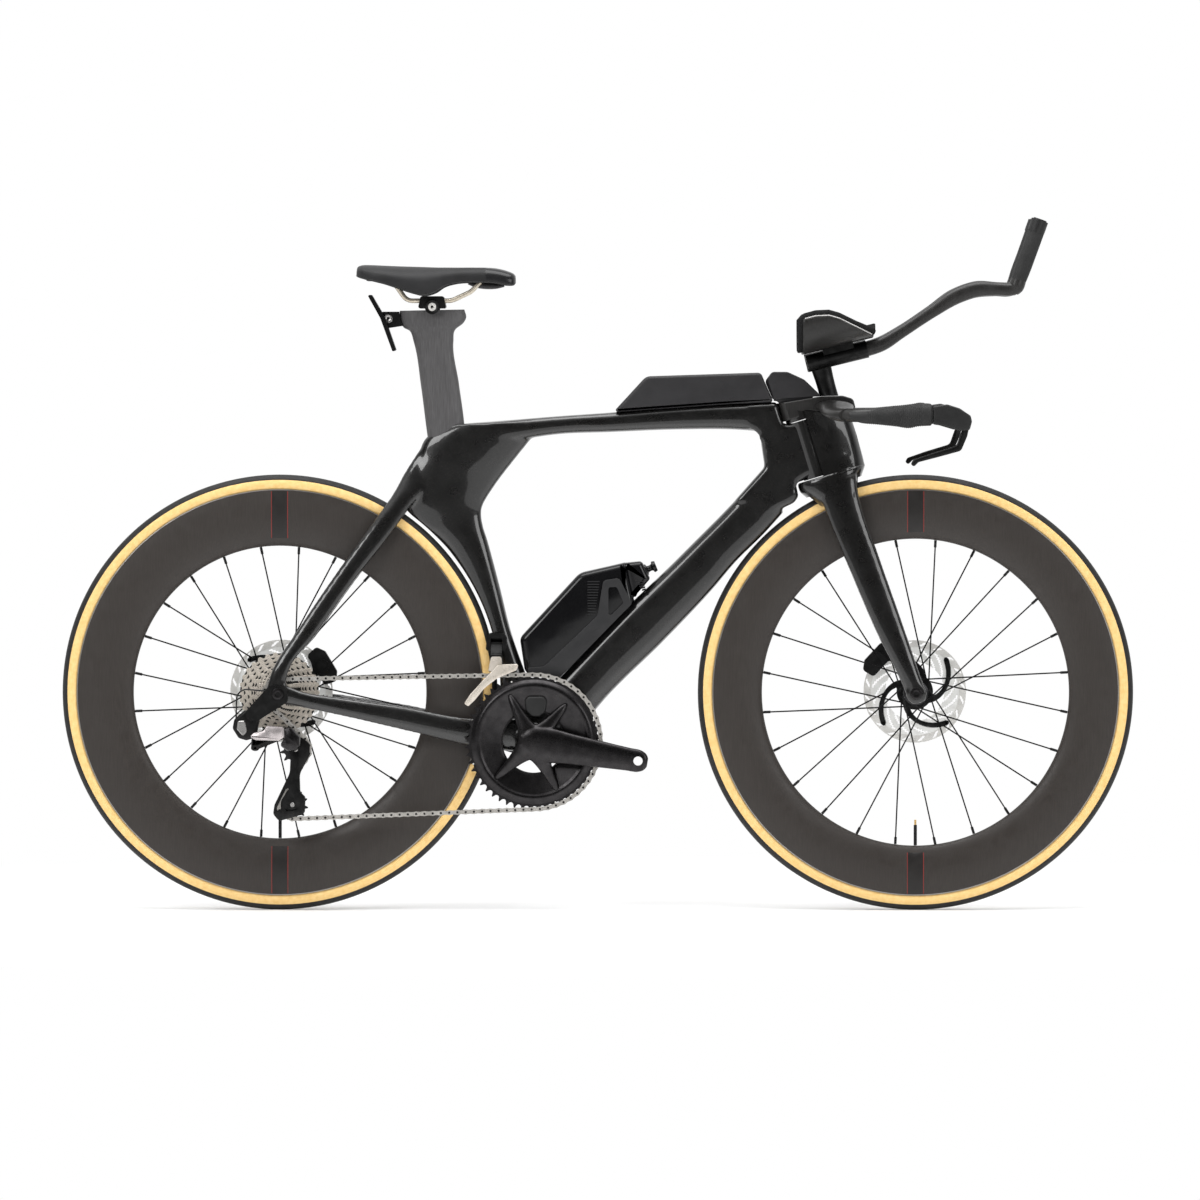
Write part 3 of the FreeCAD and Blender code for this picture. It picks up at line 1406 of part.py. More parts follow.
def make_mast():
    """Mast on the stem with a crossbar and a clamp round each extension."""
    wires = [ellipse(at_stem(x, z), X_AXIS, Y_AXIS, chord, half) for x, z, chord, half in MAST]
    reach = size("extension_half_width")
    ends = []
    for across in (-reach, reach):
        ends.append(ellipse(at_stem(30, 92, across), X_AXIS, Z_AXIS, 20, 7))
    mast = loft(wires).fuse(loft(ends))
    for side in (-1, 1):
        points = extension_points(side)
        way = points[1].sub(points[0]).normalize()
        finish = points[0].add(Vector(way).multiply(CLAMP_LENGTH))
        mast = mast.fuse(rod(points[0], finish, size("extension_radius") + CLAMP_WALL))
        mast = mast.fuse(armrest_riser(side))
    for side in (-1, 1):
        points = extension_points(side)
        way = points[1].sub(points[0])
        mast = mast.cut(rod(points[0].sub(way), points[1], size("extension_radius + running_gap")))
    stem = soft_slab([corner(at_stem(x, z + size("seat_gap")), r) for x, z, r in STEM_SIDE], 23, 2.5)
    feature("mast", mast.cut(stem))


ARMREST_LENGTH = 120.0
ARMREST_MIDDLE = 52.0
RISER_LENGTH = 48.0
# Side view of an arm rest's walls, from the top of the head tube
ARMREST_SIDE = ((-12, 90), (-9, 162), (22, 171), (44, 172), (62, 166), (122, 134), (124, 100))


def armrest_frame(side):
    """Middle of an arm rest's round axis, the way along it and the way up from it."""
    points = extension_points(side)
    way = points[1].sub(points[0]).normalize()
    up = Vector(-way.z, 0, way.x)
    rise = size("extension_radius + seat_gap") + CLAMP_WALL + size("pad_radius")
    centre = points[0].add(Vector(way).multiply(ARMREST_MIDDLE)).add(Vector(up).multiply(rise))
    centre.y = side * size("pad_half_width")
    return centre, way, up


def armrest_riser(side):
    """Saddle-shaped block that carries an arm rest on its extension's clamp."""
    centre, way, up = armrest_frame(side)
    low = side * size("extension_half_width")
    high = side * (size("pad_half_width") + size("extension_radius"))
    start = centre.sub(Vector(way).multiply(RISER_LENGTH / 2))
    foot = start.sub(Vector(up).multiply(size("pad_radius + extension_radius / 2") + CLAMP_WALL))
    ring = []
    rise = size("pad_radius") / 2
    for across, height in ((low, 0), (high, 0), (high, rise), (low, rise)):
        point = foot.add(Vector(up).multiply(height))
        ring.append(Vector(point.x, across, point.z))
    block = Part.Face(Part.makePolygon(ring + ring[:1])).extrude(Vector(way).multiply(RISER_LENGTH))
    reach = Vector(way).multiply(ARMREST_LENGTH)
    return block.cut(rod(centre.sub(reach), centre.add(reach), size("pad_radius + seat_gap")))


def trough(side, outer, inner, length, low_angle, high_angle):
    """Part of a tube along the forearm, open at the top, between two angles from straight down."""
    centre, way, up = armrest_frame(side)
    start = centre.sub(Vector(way).multiply(length / 2))

    def spot(radius, angle):
        turn = math.radians(angle)
        outward = Vector(0, side * math.sin(turn), 0).sub(Vector(up).multiply(math.cos(turn)))
        return start.add(outward.multiply(radius))

    mid = (low_angle + high_angle) / 2
    wire = Part.Wire([
        Part.Arc(spot(outer, low_angle), spot(outer, mid), spot(outer, high_angle)).toShape(),
        Part.LineSegment(spot(outer, high_angle), spot(inner, high_angle)).toShape(),
        Part.Arc(spot(inner, high_angle), spot(inner, mid), spot(inner, low_angle)).toShape(),
        Part.LineSegment(spot(inner, low_angle), spot(outer, low_angle)).toShape(),
    ])
    return Part.Face(wire).extrude(Vector(way).multiply(length))


def make_armrests():
    """Rigid cups under the forearms, on the extension clamps, and the soft pads in them."""
    cups = []
    pads = []
    outer = size("pad_radius")
    inner = outer - size("cup_wall")
    skin = inner - size("seat_gap")
    side_view = slab([corner(at_stem(x, z), 8) for x, z in ARMREST_SIDE], -200, 200)
    for side in (-1, 1):
        cups.append(trough(side, outer, inner, ARMREST_LENGTH, -52, 84).common(side_view))
        pad = trough(side, skin, skin - size("pad_thickness"), ARMREST_LENGTH - 3, -46, 80)
        pad = pad.common(side_view)
        pads.append(pad)
    feature("armrest_cups", Part.makeCompound(cups))
    feature("arm_pads", Part.makeCompound(pads))


COVER_SIDE = ((-43, 33), (-55, 61), (-44, 76), (-20, 76), (6, 64), (33, 38), (20, 37.2))
COVER_RADII = (3, 8, 8, 16, 20, 2, 30)
COVER_REAR = 8.0


def make_stem_cover():
    """Cap over the stem, rounded behind about the steering axis."""
    corners = [corner(at_stem(x, z), r) for (x, z), r in zip(COVER_SIDE, COVER_RADII)]
    cover = soft_slab(corners, 20, 1.8)
    rear = head_cylinder(size("stem_rear_radius") + COVER_REAR, HEAD_TOP, HEAD_TOP + 120)
    cover = cover.common(rear.fuse(head_block(0, 120, HEAD_TOP, HEAD_TOP + 120)))
    stem = soft_slab([corner(at_stem(x, z + size("seat_gap")), r) for x, z, r in STEM_SIDE], 23, 2.5)
    wires = []
    for x, z, chord, half in MAST:
        gap = size("seat_gap")
        wires.append(ellipse(at_stem(x, z), X_AXIS, Y_AXIS, chord + gap, half + gap))
    feature("stem_cover", cover.cut(stem).cut(loft(wires)))


# Storage box: its foot on the top tube from the rear end to the front, and its lid's corners above that
BOX_REAR = at_stem(-295.4, 0).x
BOX_FRONT = at_stem(-41, 0).x
BOX_LID = ((BOX_REAR + 51.4, 57.2, 16), (BOX_FRONT - 25, 48.4, 8))


def make_box():
    """Storage box on the top tube behind the stem."""
    gap = size("seat_gap")
    corners = [(BOX_REAR, top_edge(BOX_REAR) + gap, 3)]
    corners += [(x, top_edge(x) + height, radius) for x, height, radius in BOX_LID]
    corners.append((BOX_FRONT, top_edge(BOX_FRONT) + gap, 6))
    corners.append((TOP_BEND.x, TOP_BEND.z + gap, TOP_BEND_RADIUS))
    box = soft_slab(corners, size("box_half_width"), 5)
    gap = head_cylinder(size("stem_rear_radius + steer_gap") + COVER_REAR, HEAD_TOP, HEAD_TOP + 160)
    feature("top_tube_box", box.cut(gap))


# Saddle and seatpost
HEAD_DROP = 37.0
POST_SIDE = ((-52, 36, 4), (-48, 14, 8), (-28, -4, 10), (33, -4, 12), (55, 22, 8), (52, 38, 4))


def post_head():
    """Middle of the seatpost's upper end, where its head begins."""
    return POST_FOOT.add(Vector(POST_UP).multiply(size("post_height")))


def at_saddle(x, z, across=0.0):
    """A point measured from the middle of the seatpost head's top."""
    return post_head().add(Vector(x, across, z + HEAD_DROP))


def make_seatpost():
    """Wing-shaped post with a head that carries the saddle clamp."""
    shaft = post_shape(-size("post_insert") + size("seat_gap"), size("post_height"), 0)
    corners = [corner(post_head().add(Vector(x, 0, z)), r) for x, z, r in POST_SIDE]
    feature("seatpost", shaft.fuse(soft_slab(corners, 12, 3)))


RAIL_LEVEL = 13.0
CLAMP_SIDE = ((-22, 0, 3), (22, 0, 3), (18, 19, 4), (-18, 19, 4))
# Corners of a rail: (x, z, across)
RAIL_LINE = (
    (-66, 50, 26),
    (-40, RAIL_LEVEL, 22),
    (30, RAIL_LEVEL, 22),
    (60, 27, 16),
    (84, 52, 12),
)
RAIL_RADII = (18, 26, 26)
SHELL_LEVEL = 43.7


def make_saddle_clamp():
    """Clamp block on the post's head with a groove for each rail."""
    across = RAIL_LINE[1][2]
    half = across + 2 * size("rail_radius")
    block = slab([corner(at_saddle(x, z + 1), r) for x, z, r in CLAMP_SIDE], -half, half)
    corners = [corner(post_head().add(Vector(x, 0, z + size("seat_gap"))), r) for x, z, r in POST_SIDE]
    block = block.cut(slab(corners, -12 - size("seat_gap"), 12 + size("seat_gap")))
    for side in (-1, 1):
        rail = at_saddle(-60, RAIL_LEVEL, side * across)
        block = block.cut(rod(rail, rail.add(Vector(120, 0, 0)), size("rail_radius + running_gap")))
    feature("saddle_clamp", block)


def make_rails():
    """Two saddle rails, straight through the clamp and rising to the shell at both ends."""
    points = [at_saddle(x, z, -across) for x, z, across in RAIL_LINE]
    rail = pipe(round_path(points, RAIL_RADII), size("rail_radius"))
    above = Part.makeBox(400, 200, 100, at_saddle(-200, SHELL_LEVEL - size("seat_gap"), -100))
    feature("saddle_rails", pair(rail.cut(above)))


# Saddle sections: (share of the length from the tail, share of the width, skirt's lower edge, top)
SADDLE = (
    (0.0, 0.78, 49, 62),
    (0.06, 0.92, 46, 68),
    (0.15, 1.0, 41, 68.5),
    (0.30, 0.98, 30, 67.5),
    (0.44, 0.80, 22, 67),
    (0.57, 0.60, 34, 66),
    (0.75, 0.44, 41, 66),
    (0.91, 0.38, 39, 63),
    (1.0, 0.26, 44, 56),
)
SADDLE_TAIL = -116.0
SADDLE_SKIN = 3.0


def saddle_section(x, half, low, high):
    """Section of the saddle's cover: drawn-in skirts, round shoulders and a crowned top."""
    crown = min(5.0, (high - low) * 0.2)
    points = [
        at_saddle(x, low, -half * 0.93),
        at_saddle(x, low + (high - low) * 0.55, -half),
        at_saddle(x, high - crown, -half * 0.74),
        at_saddle(x, high, 0),
        at_saddle(x, high - crown, half * 0.74),
        at_saddle(x, low + (high - low) * 0.55, half),
        at_saddle(x, low, half * 0.93),
    ]
    return Part.Wire([
        Part.Arc(points[0], points[1], points[2]).toShape(),
        Part.Arc(points[2], points[3], points[4]).toShape(),
        Part.Arc(points[4], points[5], points[6]).toShape(),
        Part.LineSegment(points[6], points[0]).toShape(),
    ])


def saddle_floor(x, half, low):
    """Straight section of the room under the saddle's cover."""
    inset = half * 0.80
    places = ((0, -inset), (0, inset), (low, inset), (low, -inset))
    ring = [at_saddle(x, z, across) for z, across in places]
    return Part.makePolygon(ring + ring[:1])


def make_saddle():
    """Stiff shell on the rails and the padded cover over it."""
    half = size("saddle_width") / 2
    cover = []
    room = []
    plate = []
    for along, share, low, high in SADDLE:
        x = SADDLE_TAIL + along * size("saddle_length")
        wide = half * share
        cover.append(saddle_section(x, wide, low, high))
        under = SHELL_LEVEL + SADDLE_SKIN + size("seat_gap")
        room.append((x, wide, under))
        inset = wide * 0.80 - size("seat_gap")
        seat = under - size("seat_gap")
        if 0 < along < 1:
            ring = [
                at_saddle(x, seat - SADDLE_SKIN, -inset),
                at_saddle(x, seat - SADDLE_SKIN, inset),
                at_saddle(x, seat, inset),
                at_saddle(x, seat, -inset),
            ]
            plate.append(Part.makePolygon(ring + ring[:1]))
    hollow = Part.makeLoft([saddle_floor(*station) for station in room[1:-1]], True, True)
    body = Part.makeLoft(cover, True, False)
    feature("saddle_cover", body.cut(hollow))
    feature("saddle_shell", Part.makeLoft(plate, True, True))


BRACKET_ARM = ((-50, -4, 2), (-45, -26, 2), (-72, -30, 4), (-82, -4, 4))
BRACKET_PLATE = ((-101, 22, 2), (-94, 22, 2), (-74, -12, 10), (-56, -64, 2), (-62, -66, 2), (-81, -14, 10))


def make_rear_bracket():
    """Plate behind the seatpost head for accessories, on a short arm."""
    arm = slab([corner(at_saddle(x, z), r) for x, z, r in BRACKET_ARM], -9, 9)
    plate = slab([corner(at_saddle(x, z), r) for x, z, r in BRACKET_PLATE], -16, 16)
    corners = [corner(post_head().add(Vector(x - size("seat_gap"), 0, z)), r) for x, z, r in POST_SIDE]
    feature("rear_bracket", arm.fuse(plate).cut(slab(corners, -13, 13)))


# Bottle and its cage, measured from the crank axis
# Bottle and cap, along the down tube's upper edge and away from it
BOTTLE_SIDE = (
    (53.0, 89.0, 12),
    (24.0, 42.8, 12),
    (29.9, 13.7, 14),
    (220.7, 6.5, 4),
    (254.0, 54.1, 4),
    (195.3, 98.8, 20),
)
CAP_SIDE = ((220.7, 6.5), (263.2, 5.8), (275.6, 34.6), (254.0, 54.1))
VALVE_ENDS = ((262.0, 21.4), (282.4, 16.2))


def on_tube(along, away):
    """A point along the down tube's upper edge from its foot, and away from it."""
    way = TUBE_HEAD.sub(TUBE_FOOT).normalize()
    out = Vector(-way.z, 0, way.x)
    return TUBE_FOOT.add(Vector(way).multiply(along)).add(Vector(out).multiply(away))


def make_bottle():
    """Slim bottle in its cage, and its cap with a valve."""
    half = size("bottle_half_width")
    corners = [corner(on_tube(along, away), radius) for along, away, radius in BOTTLE_SIDE]
    feature("bottle", soft_slab(corners, half, 3.5))
    gap = size("seat_gap")
    cap = soft_slab([corner(on_tube(along + gap, away), 5) for along, away in CAP_SIDE], half - 3, 2.5)
    valve = rod(on_tube(*VALVE_ENDS[0]), on_tube(*VALVE_ENDS[1]), 8)
    feature("bottle_cap", cap.fuse(valve))


def make_bottle_cage():
    """Cage on the down tube: a floor and two side walls that hold the bottle."""
    half = size("bottle_half_width + seat_gap")
    wall = size("cage_wall")
    gap = size("seat_gap")
    floor = [(28, gap), (206, gap), (206, 5), (28, 5)]
    wall_side = [(28, gap), (206, gap), (212, 28), (196, 40), (160, 10), (40, 20)]
    pieces = [slab([corner(on_tube(*spot), 1) for spot in floor], -half, half)]
    for sign in (-1, 1):
        low = half if sign > 0 else -half - wall
        pieces.append(slab([corner(on_tube(*spot), 2.5) for spot in wall_side], low, low + wall))
    feature("bottle_cage", joined(pieces))


# Brakes
CALIPER_SIDE = ((-27, -13), (27, -13), (31, 6), (18, 15), (-18, 15), (-31, 6))


def make_caliper(label, axle, plane, angle):
    """Brake caliper astride the rotor's edge, with a slot for the rotor and a round piston cover."""
    turn = math.radians(angle)
    out = Vector(math.cos(turn), 0, math.sin(turn))
    along = Vector(-out.z, 0, out.x)
    middle = axle.add(Vector(out).multiply(size("rotor_radius") - 4)).add(Vector(0, plane, 0))
    corners = []
    for a, b in CALIPER_SIDE:
        point = middle.add(Vector(along).multiply(a)).add(Vector(out).multiply(b))
        corners.append((point.x, point.z, 6))
    body = slab(corners, plane - 12, plane + 4.5)
    body = body.fuse(Part.makeCylinder(10, 6, middle.sub(Vector(0, 15, 0)), Y_AXIS))
    rotor_middle = axle.add(Vector(0, plane, 0))
    room = wheel_gap(rotor_middle, size("rotor_radius") + 1.5, size("rotor_thickness") / 2 + 0.8)
    feature(label, body.cut(room))


# Rear derailleur, measured from the rear axle
RD_PLANE = -size("first_cog_plane")
SLANT = Vector(0, math.sqrt(0.5), math.sqrt(0.5))
INWARD = Vector(0, math.sqrt(0.5), -math.sqrt(0.5))
RD_FOOT = at_rear(-36, -68, RD_PLANE - 8)
RD_LINK_LENGTH = 52.0
RD_REST_ANGLE = 30.0
RD_LINK_SPACE = 16.0
RD_SLOT_HALF = 8.3
RD_PIN = 2.5
RD_EYE = 6.5
CAGE_PIVOT = at_rear(23, -77)
CAGE_PLATE = 2.0
CAGE_GAP = 4.4
HANGER_THICKNESS = 6.0


def link_way():
    """Direction of the links at rest: forwards and outwards."""
    turn = math.radians(RD_REST_ANGLE)
    return Vector(math.cos(turn), 0, 0).sub(Vector(INWARD).multiply(math.sin(turn)))


def link_foot(number):
    """Pivot of a link on the bracket: the outer link is number 0, the inner link number 1."""
    return RD_FOOT.add(Vector(INWARD).multiply(number * RD_LINK_SPACE))


def link_head(number):
    """Pivot of a link on the lower knuckle."""
    return link_foot(number).add(link_way().multiply(RD_LINK_LENGTH))


def link_slot(low, high):
    """Slot for both links, in the plane they swing in, between two places along X from the bracket pivot."""
    box = Part.makeBox(high - low, 200, 2 * RD_SLOT_HALF, Vector(low, -100, -RD_SLOT_HALF))
    box.Placement = Placement(RD_FOOT, Rotation(X_AXIS, -45))
    return box


def slant_pin(point, radius, half):
    """A pin along the links' slanted pivot direction."""
    return rod(point.sub(Vector(SLANT).multiply(half)), point.add(Vector(SLANT).multiply(half)), radius)


def make_hanger():
    """Hanger on the outside of the right dropout, reaching back and down to the derailleur."""
    corners = [
        corner(at_rear(14, 10), 7),
        corner(at_rear(16, -12), 7),
        corner(at_rear(-34, -44), 7),
        corner(at_rear(-54, -32), 8),
        corner(at_rear(-12, 14), 7),
    ]
    outer = -size("rear_hub_width") / 2 - size("dropout_thickness") - size("seat_gap")
    hanger = slab(corners, outer - HANGER_THICKNESS, outer)
    bore = wheel_gap(REAR_AXLE, size("axle_radius + running_gap"), 120)
    feature("derailleur_hanger", hanger.cut(bore))


RD_BRACKET_SIDE = (
    (-56, -24, 10),
    (-30, -36, 8),
    (-24, -66, 8),
    (-26, -92, 8),
    (-54, -92, 12),
    (-74, -62, 14),
)
RD_KNUCKLE_SIDE = ((-6, -40, 6), (22, -36, 8), (38, -64, 10), (34, -90, 9), (10, -90, 9), (-6, -76, 8))


def make_rear_derailleur():
    """Bracket, two parallel links, lower knuckle and pulley cage."""
    outer = -size("rear_hub_width") / 2 - size("dropout_thickness")
    bracket = slab([corner(at_rear(x, z), r) for x, z, r in RD_BRACKET_SIDE], outer, RD_PLANE + 12)
    bracket = bracket.cut(link_slot(-RD_EYE - 3, 120))
    for number in (0, 1):
        bracket = bracket.fuse(slant_pin(link_foot(number), RD_PIN, RD_SLOT_HALF + 2))
    feature("rd_bracket", bracket)
    for number, label in ((0, "rd_outer_link"), (1, "rd_inner_link")):
        half = RD_SLOT_HALF - size("seat_gap")
        foot = link_foot(number)
        head = link_head(number)
        bar = slant_pin(foot, RD_EYE, half).fuse(slant_pin(head, RD_EYE, half))
        side = link_way().cross(SLANT).normalize().multiply(RD_EYE - 2)
        drop = Vector(SLANT).multiply(half)
        ring = [foot.add(side), head.add(side), head.sub(side), foot.sub(side)]
        face = Part.Face(Part.makePolygon(ring + ring[:1]))
        face.translate(drop.multiply(-1))
        bar = bar.fuse(face.extrude(Vector(SLANT).multiply(2 * half)))
        for point in (foot, head):
            bar = bar.cut(slant_pin(point, RD_PIN + size("running_gap"), 20))
        feature(label, bar)
    near = RD_PLANE - CAGE_GAP - CAGE_PLATE - 2
    far = link_head(0).y - 10
    knuckle = slab([corner(at_rear(x, z), r) for x, z, r in RD_KNUCKLE_SIDE], far, near)
    reach = RD_LINK_LENGTH * math.cos(math.radians(RD_REST_ANGLE))
    knuckle = knuckle.cut(link_slot(-40, reach + RD_EYE + 3))
    for number in (0, 1):
        knuckle = knuckle.fuse(slant_pin(link_head(number), RD_PIN, RD_SLOT_HALF + 2))
    pin = CAGE_PIVOT.add(Vector(0, near - 4, 0))
    knuckle = knuckle.fuse(Part.makeCylinder(4.5, 4 + 2 + CAGE_PLATE, pin, Y_AXIS))
    feature("rd_knuckle", knuckle)


CAGE_OUTER = ((8, -68, 8), (36, -64, 9), (46, -92, 9), (33, -126, 30), (40, -160, 12), (36, -190, 12),
              (8, -192, 12), (4, -164, 12), (16, -126, 30), (8, -90, 9))
CAGE_INNER = ((12, -78, 8), (40, -76, 9), (44, -98, 9), (33, -126, 30), (40, -160, 12), (36, -190, 12),
              (8, -192, 12), (4, -164, 12), (16, -126, 30), (12, -96, 9))


def make_rd_cage():
    """Pulley cage: an outer plate on the knuckle's pivot, an inner plate and a bolt through each pulley."""
    outer_low = RD_PLANE - CAGE_GAP - CAGE_PLATE
    inner_low = RD_PLANE + CAGE_GAP
    outer = slab([corner(at_rear(x, z), r) for x, z, r in CAGE_OUTER], outer_low, outer_low + CAGE_PLATE)
    inner = slab([corner(at_rear(x, z), r) for x, z, r in CAGE_INNER], inner_low, inner_low + CAGE_PLATE)
    outer = outer.cut(wheel_gap(CAGE_PIVOT, 4.5 + size("running_gap"), 200))
    cage = outer
    length = 2 * (CAGE_GAP + CAGE_PLATE)
    for spot in (GUIDE, TENSION):
        foot = Vector(spot.x, outer_low, spot.z)
        cage = cage.fuse(Part.makeCylinder(size("pulley_bolt_radius"), length, foot, Y_AXIS))
    feature("rd_cage", cage.fuse(inner))


def make_pulley(label, wheel):
    """Toothed pulley on its bolt, with a hub that keeps it between the cage plates."""
    bore = size("pulley_bolt_radius + running_gap")
    pulley = sprocket(wheel.teeth, wheel.phase, size("pulley_thickness"), bore)
    half = CAGE_GAP - size("seat_gap")
    hub = Part.makeCylinder(bore + 4, 2 * half, Vector(0, -half, 0), Y_AXIS)
    hub = hub.cut(Part.makeCylinder(bore, 2 * half, Vector(0, -half, 0), Y_AXIS))
    pulley = pulley.fuse(hub)
    pulley.translate(Vector(wheel.centre.x, wheel.plane, wheel.centre.z))
    feature(label, pulley)


WIRE_RADIUS = 1.2
WIRE_LINE = ((-17.6, 4), (-64, 8), (-65, -40.5))
WIRE_BEND = 16.0


def make_cables():
    """Derailleur wire from the right dropout round to the rear derailleur's bracket."""
    across = -size("rear_hub_width") / 2 - size("dropout_thickness") / 2
    points = [at_rear(x, z, across) for x, z in WIRE_LINE]
    path = round_path(points, [WIRE_BEND])
    wire = pipe(path, WIRE_RADIUS)
    share = wire.Volume / (math.pi * WIRE_RADIUS**2 * path.Length)
    print("derailleur wire: bend %.1f, length %.1f, volume share %.4f" % (WIRE_BEND, path.Length, share))
    feature("frame_cables", wire)


# Front derailleur, measured from the crank axis
FD_PLANE = -size("ring_plane") - 1.0
FD_FOOT = at_bb(-58, 152, -size("frame_half_width") - 9)
FD_LINK_LENGTH = 22.0
FD_REST_ANGLE = 32.0
FD_PIN = 2.0
FD_EYE = 5.0
FD_BODY_SIDE = ((-75, 141, 5), (-43, 141, 5), (-41, 168, 8), (-71, 170, 8))
FD_CAGE_SIDE = ((-22, 122, 3), (-60, 128, 20), (-99, 92, 20), (-112, 58, 3), (-102, 54, 3), (-88, 88, 20),
                (-58, 117, 20), (-22, 114, 3))
FD_BRIDGE = ((-66, 119.4, 1), (-40, 119, 1), (-40, 124, 1), (-66, 125, 1))
FD_CAGE_HALF = 7.0
FD_PLATE = 1.6


def fd_head():
    """Pivot between the front derailleur's link and its cage."""
    turn = math.radians(FD_REST_ANGLE)
    return FD_FOOT.add(Vector(0, -FD_LINK_LENGTH * math.sin(turn), -FD_LINK_LENGTH * math.cos(turn)))


def make_front_derailleur():
    """Body on the seat tube, one swinging link and the chain cage."""
    near = -size("frame_half_width + seat_gap")
    body = slab([corner(at_bb(x, z), r) for x, z, r in FD_BODY_SIDE], near - 17, near)
    room = Part.makeBox(18, 30, 55, at_bb(-67, 106, -size("frame_half_width") - 31))
    body = body.cut(room)
    body = body.fuse(rod(FD_FOOT.add(Vector(-11, 0, 0)), FD_FOOT.add(Vector(11, 0, 0)), FD_PIN))
    feature("front_derailleur", body)
    head = fd_head()
    half = 8.5
    link = rod(FD_FOOT.sub(Vector(half, 0, 0)), FD_FOOT.add(Vector(half, 0, 0)), FD_EYE)
    link = link.fuse(rod(head.sub(Vector(half, 0, 0)), head.add(Vector(half, 0, 0)), FD_EYE))
    way = head.sub(FD_FOOT).normalize()
    side = way.cross(X_AXIS).multiply(FD_EYE - 2)
    ring = [FD_FOOT.add(side), head.add(side), head.sub(side), FD_FOOT.sub(side)]
    face = Part.Face(Part.makePolygon(ring + ring[:1]))
    face.translate(Vector(-half, 0, 0))
    link = link.fuse(face.extrude(Vector(2 * half, 0, 0)))
    for point in (FD_FOOT, head):
        reach = Vector(20, 0, 0)
        link = link.cut(rod(point.sub(reach), point.add(reach), FD_PIN + size("running_gap")))
    feature("fd_link", link)
    corners = [corner(at_bb(x, z), r) for x, z, r in FD_CAGE_SIDE]
    cage = slab(corners, FD_PLANE - FD_CAGE_HALF - FD_PLATE, FD_PLANE - FD_CAGE_HALF)
    cage = cage.fuse(slab(corners, FD_PLANE + FD_CAGE_HALF, FD_PLANE + FD_CAGE_HALF + FD_PLATE))
    bridge = [corner(at_bb(x, z), r) for x, z, r in FD_BRIDGE]
    cage = cage.fuse(slab(bridge, FD_PLANE - FD_CAGE_HALF - 1, FD_PLANE + FD_CAGE_HALF + 1))
    for shift in (-11.4, 8.8):
        lug = Part.makeBox(2.6, 9, head.z - BB_Z - 119, Vector(head.x + shift, head.y - 6, BB_Z + 121))
        cage = cage.fuse(lug)
    cage = cage.fuse(rod(head.sub(Vector(11.4, 0, 0)), head.add(Vector(11.4, 0, 0)), FD_PIN))
    feature("fd_cage", cage)


# Build every piece
make_rim("front_rim", "front_rim_depth", FRONT_PLACE)
make_rim("rear_rim", "rear_rim_depth", REAR_PLACE)
make_tyre("front_tyre", FRONT_PLACE)
make_tyre("rear_tyre", REAR_PLACE)
make_front_hub()
make_rear_hub()
make_spokes(
    "front_spokes",
    FRONT_AXLE,
    size("rim_radius - front_rim_depth"),
    size("front_flange_right"),
    size("front_flange_left"),
)
make_spokes(
    "rear_spokes",
    REAR_AXLE,
    size("rim_radius - rear_rim_depth"),
    size("rear_flange_right"),
    size("rear_flange_left"),
)
make_rotor("front_rotor", "front_rotor_plane", FRONT_PLACE)
make_rotor("rear_rotor", "rear_rotor_plane", REAR_PLACE)
make_valve("front_valve", "front_rim_depth", FRONT_PLACE)
make_valve("rear_valve", "rear_rim_depth", REAR_PLACE)
make_axle("front_axle", "front_hub_width / 2 + 13", "front_hub_width / 2 + 13", FRONT_PLACE)
make_axle("rear_axle", "rear_hub_width / 2 + 19", "rear_hub_width / 2 + 12", REAR_PLACE)
make_frame()
make_bearings()
make_fork()
make_base_bar()
make_grips()
make_lever_bodies()
make_brake_lever("brake_lever_right", -1)
make_brake_lever("brake_lever_left", 1)
make_mast()
make_extensions()
make_shift_button("shift_button_right", -1)
make_shift_button("shift_button_left", 1)
make_armrests()
make_stem_cover()
make_box()
make_seatpost()
make_saddle_clamp()
make_rails()
make_saddle()
make_rear_bracket()
make_bottle()
make_bottle_cage()
make_caliper("front_caliper", FRONT_AXLE, size("front_rotor_plane"), 137)
make_caliper("rear_caliper", REAR_AXLE, size("rear_rotor_plane"), 31)
make_chain()
make_cassette()
make_freehub()
make_chainring("chainring_large", RING.teeth, -size("ring_plane"), RING.phase, size("sprocket_thickness"))
make_chainring(
    "chainring_small",
    int(size("small_ring_teeth")),
    size("ring_step - ring_plane"),
    RING.phase,
    size("sprocket_thickness"),
)
make_crank("crank_arm_right", 1, -1)
make_crank("crank_arm_left", -1, 1)
make_hanger()
make_rear_derailleur()
make_rd_cage()
make_pulley("guide_pulley", UPPER)
make_pulley("tension_pulley", LOWER)
make_front_derailleur()
make_cables()

doc.recompute()
os.makedirs("parts", exist_ok=True)
failed = []
for item in NODES:
    broken = "Invalid" in item.State or "Error" in item.State
    if broken or item.Shape.isNull() or not item.Shape.isValid():
        failed.append(item.Label)
if failed:
    raise RuntimeError("did not build: " + ", ".join(failed))
for item in NODES:
    item.Shape.exportStep("parts/%s.step" % item.Label)
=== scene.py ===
"""Looks of the time trial bike: its visible pieces as surfaces worked out with numpy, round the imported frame.

Shapes are written in millimetres in the bike's own frame: X forward, Y to its left, Z up, from the ground
half way between the wheels. Meshes are in metres.
"""

import json
import math

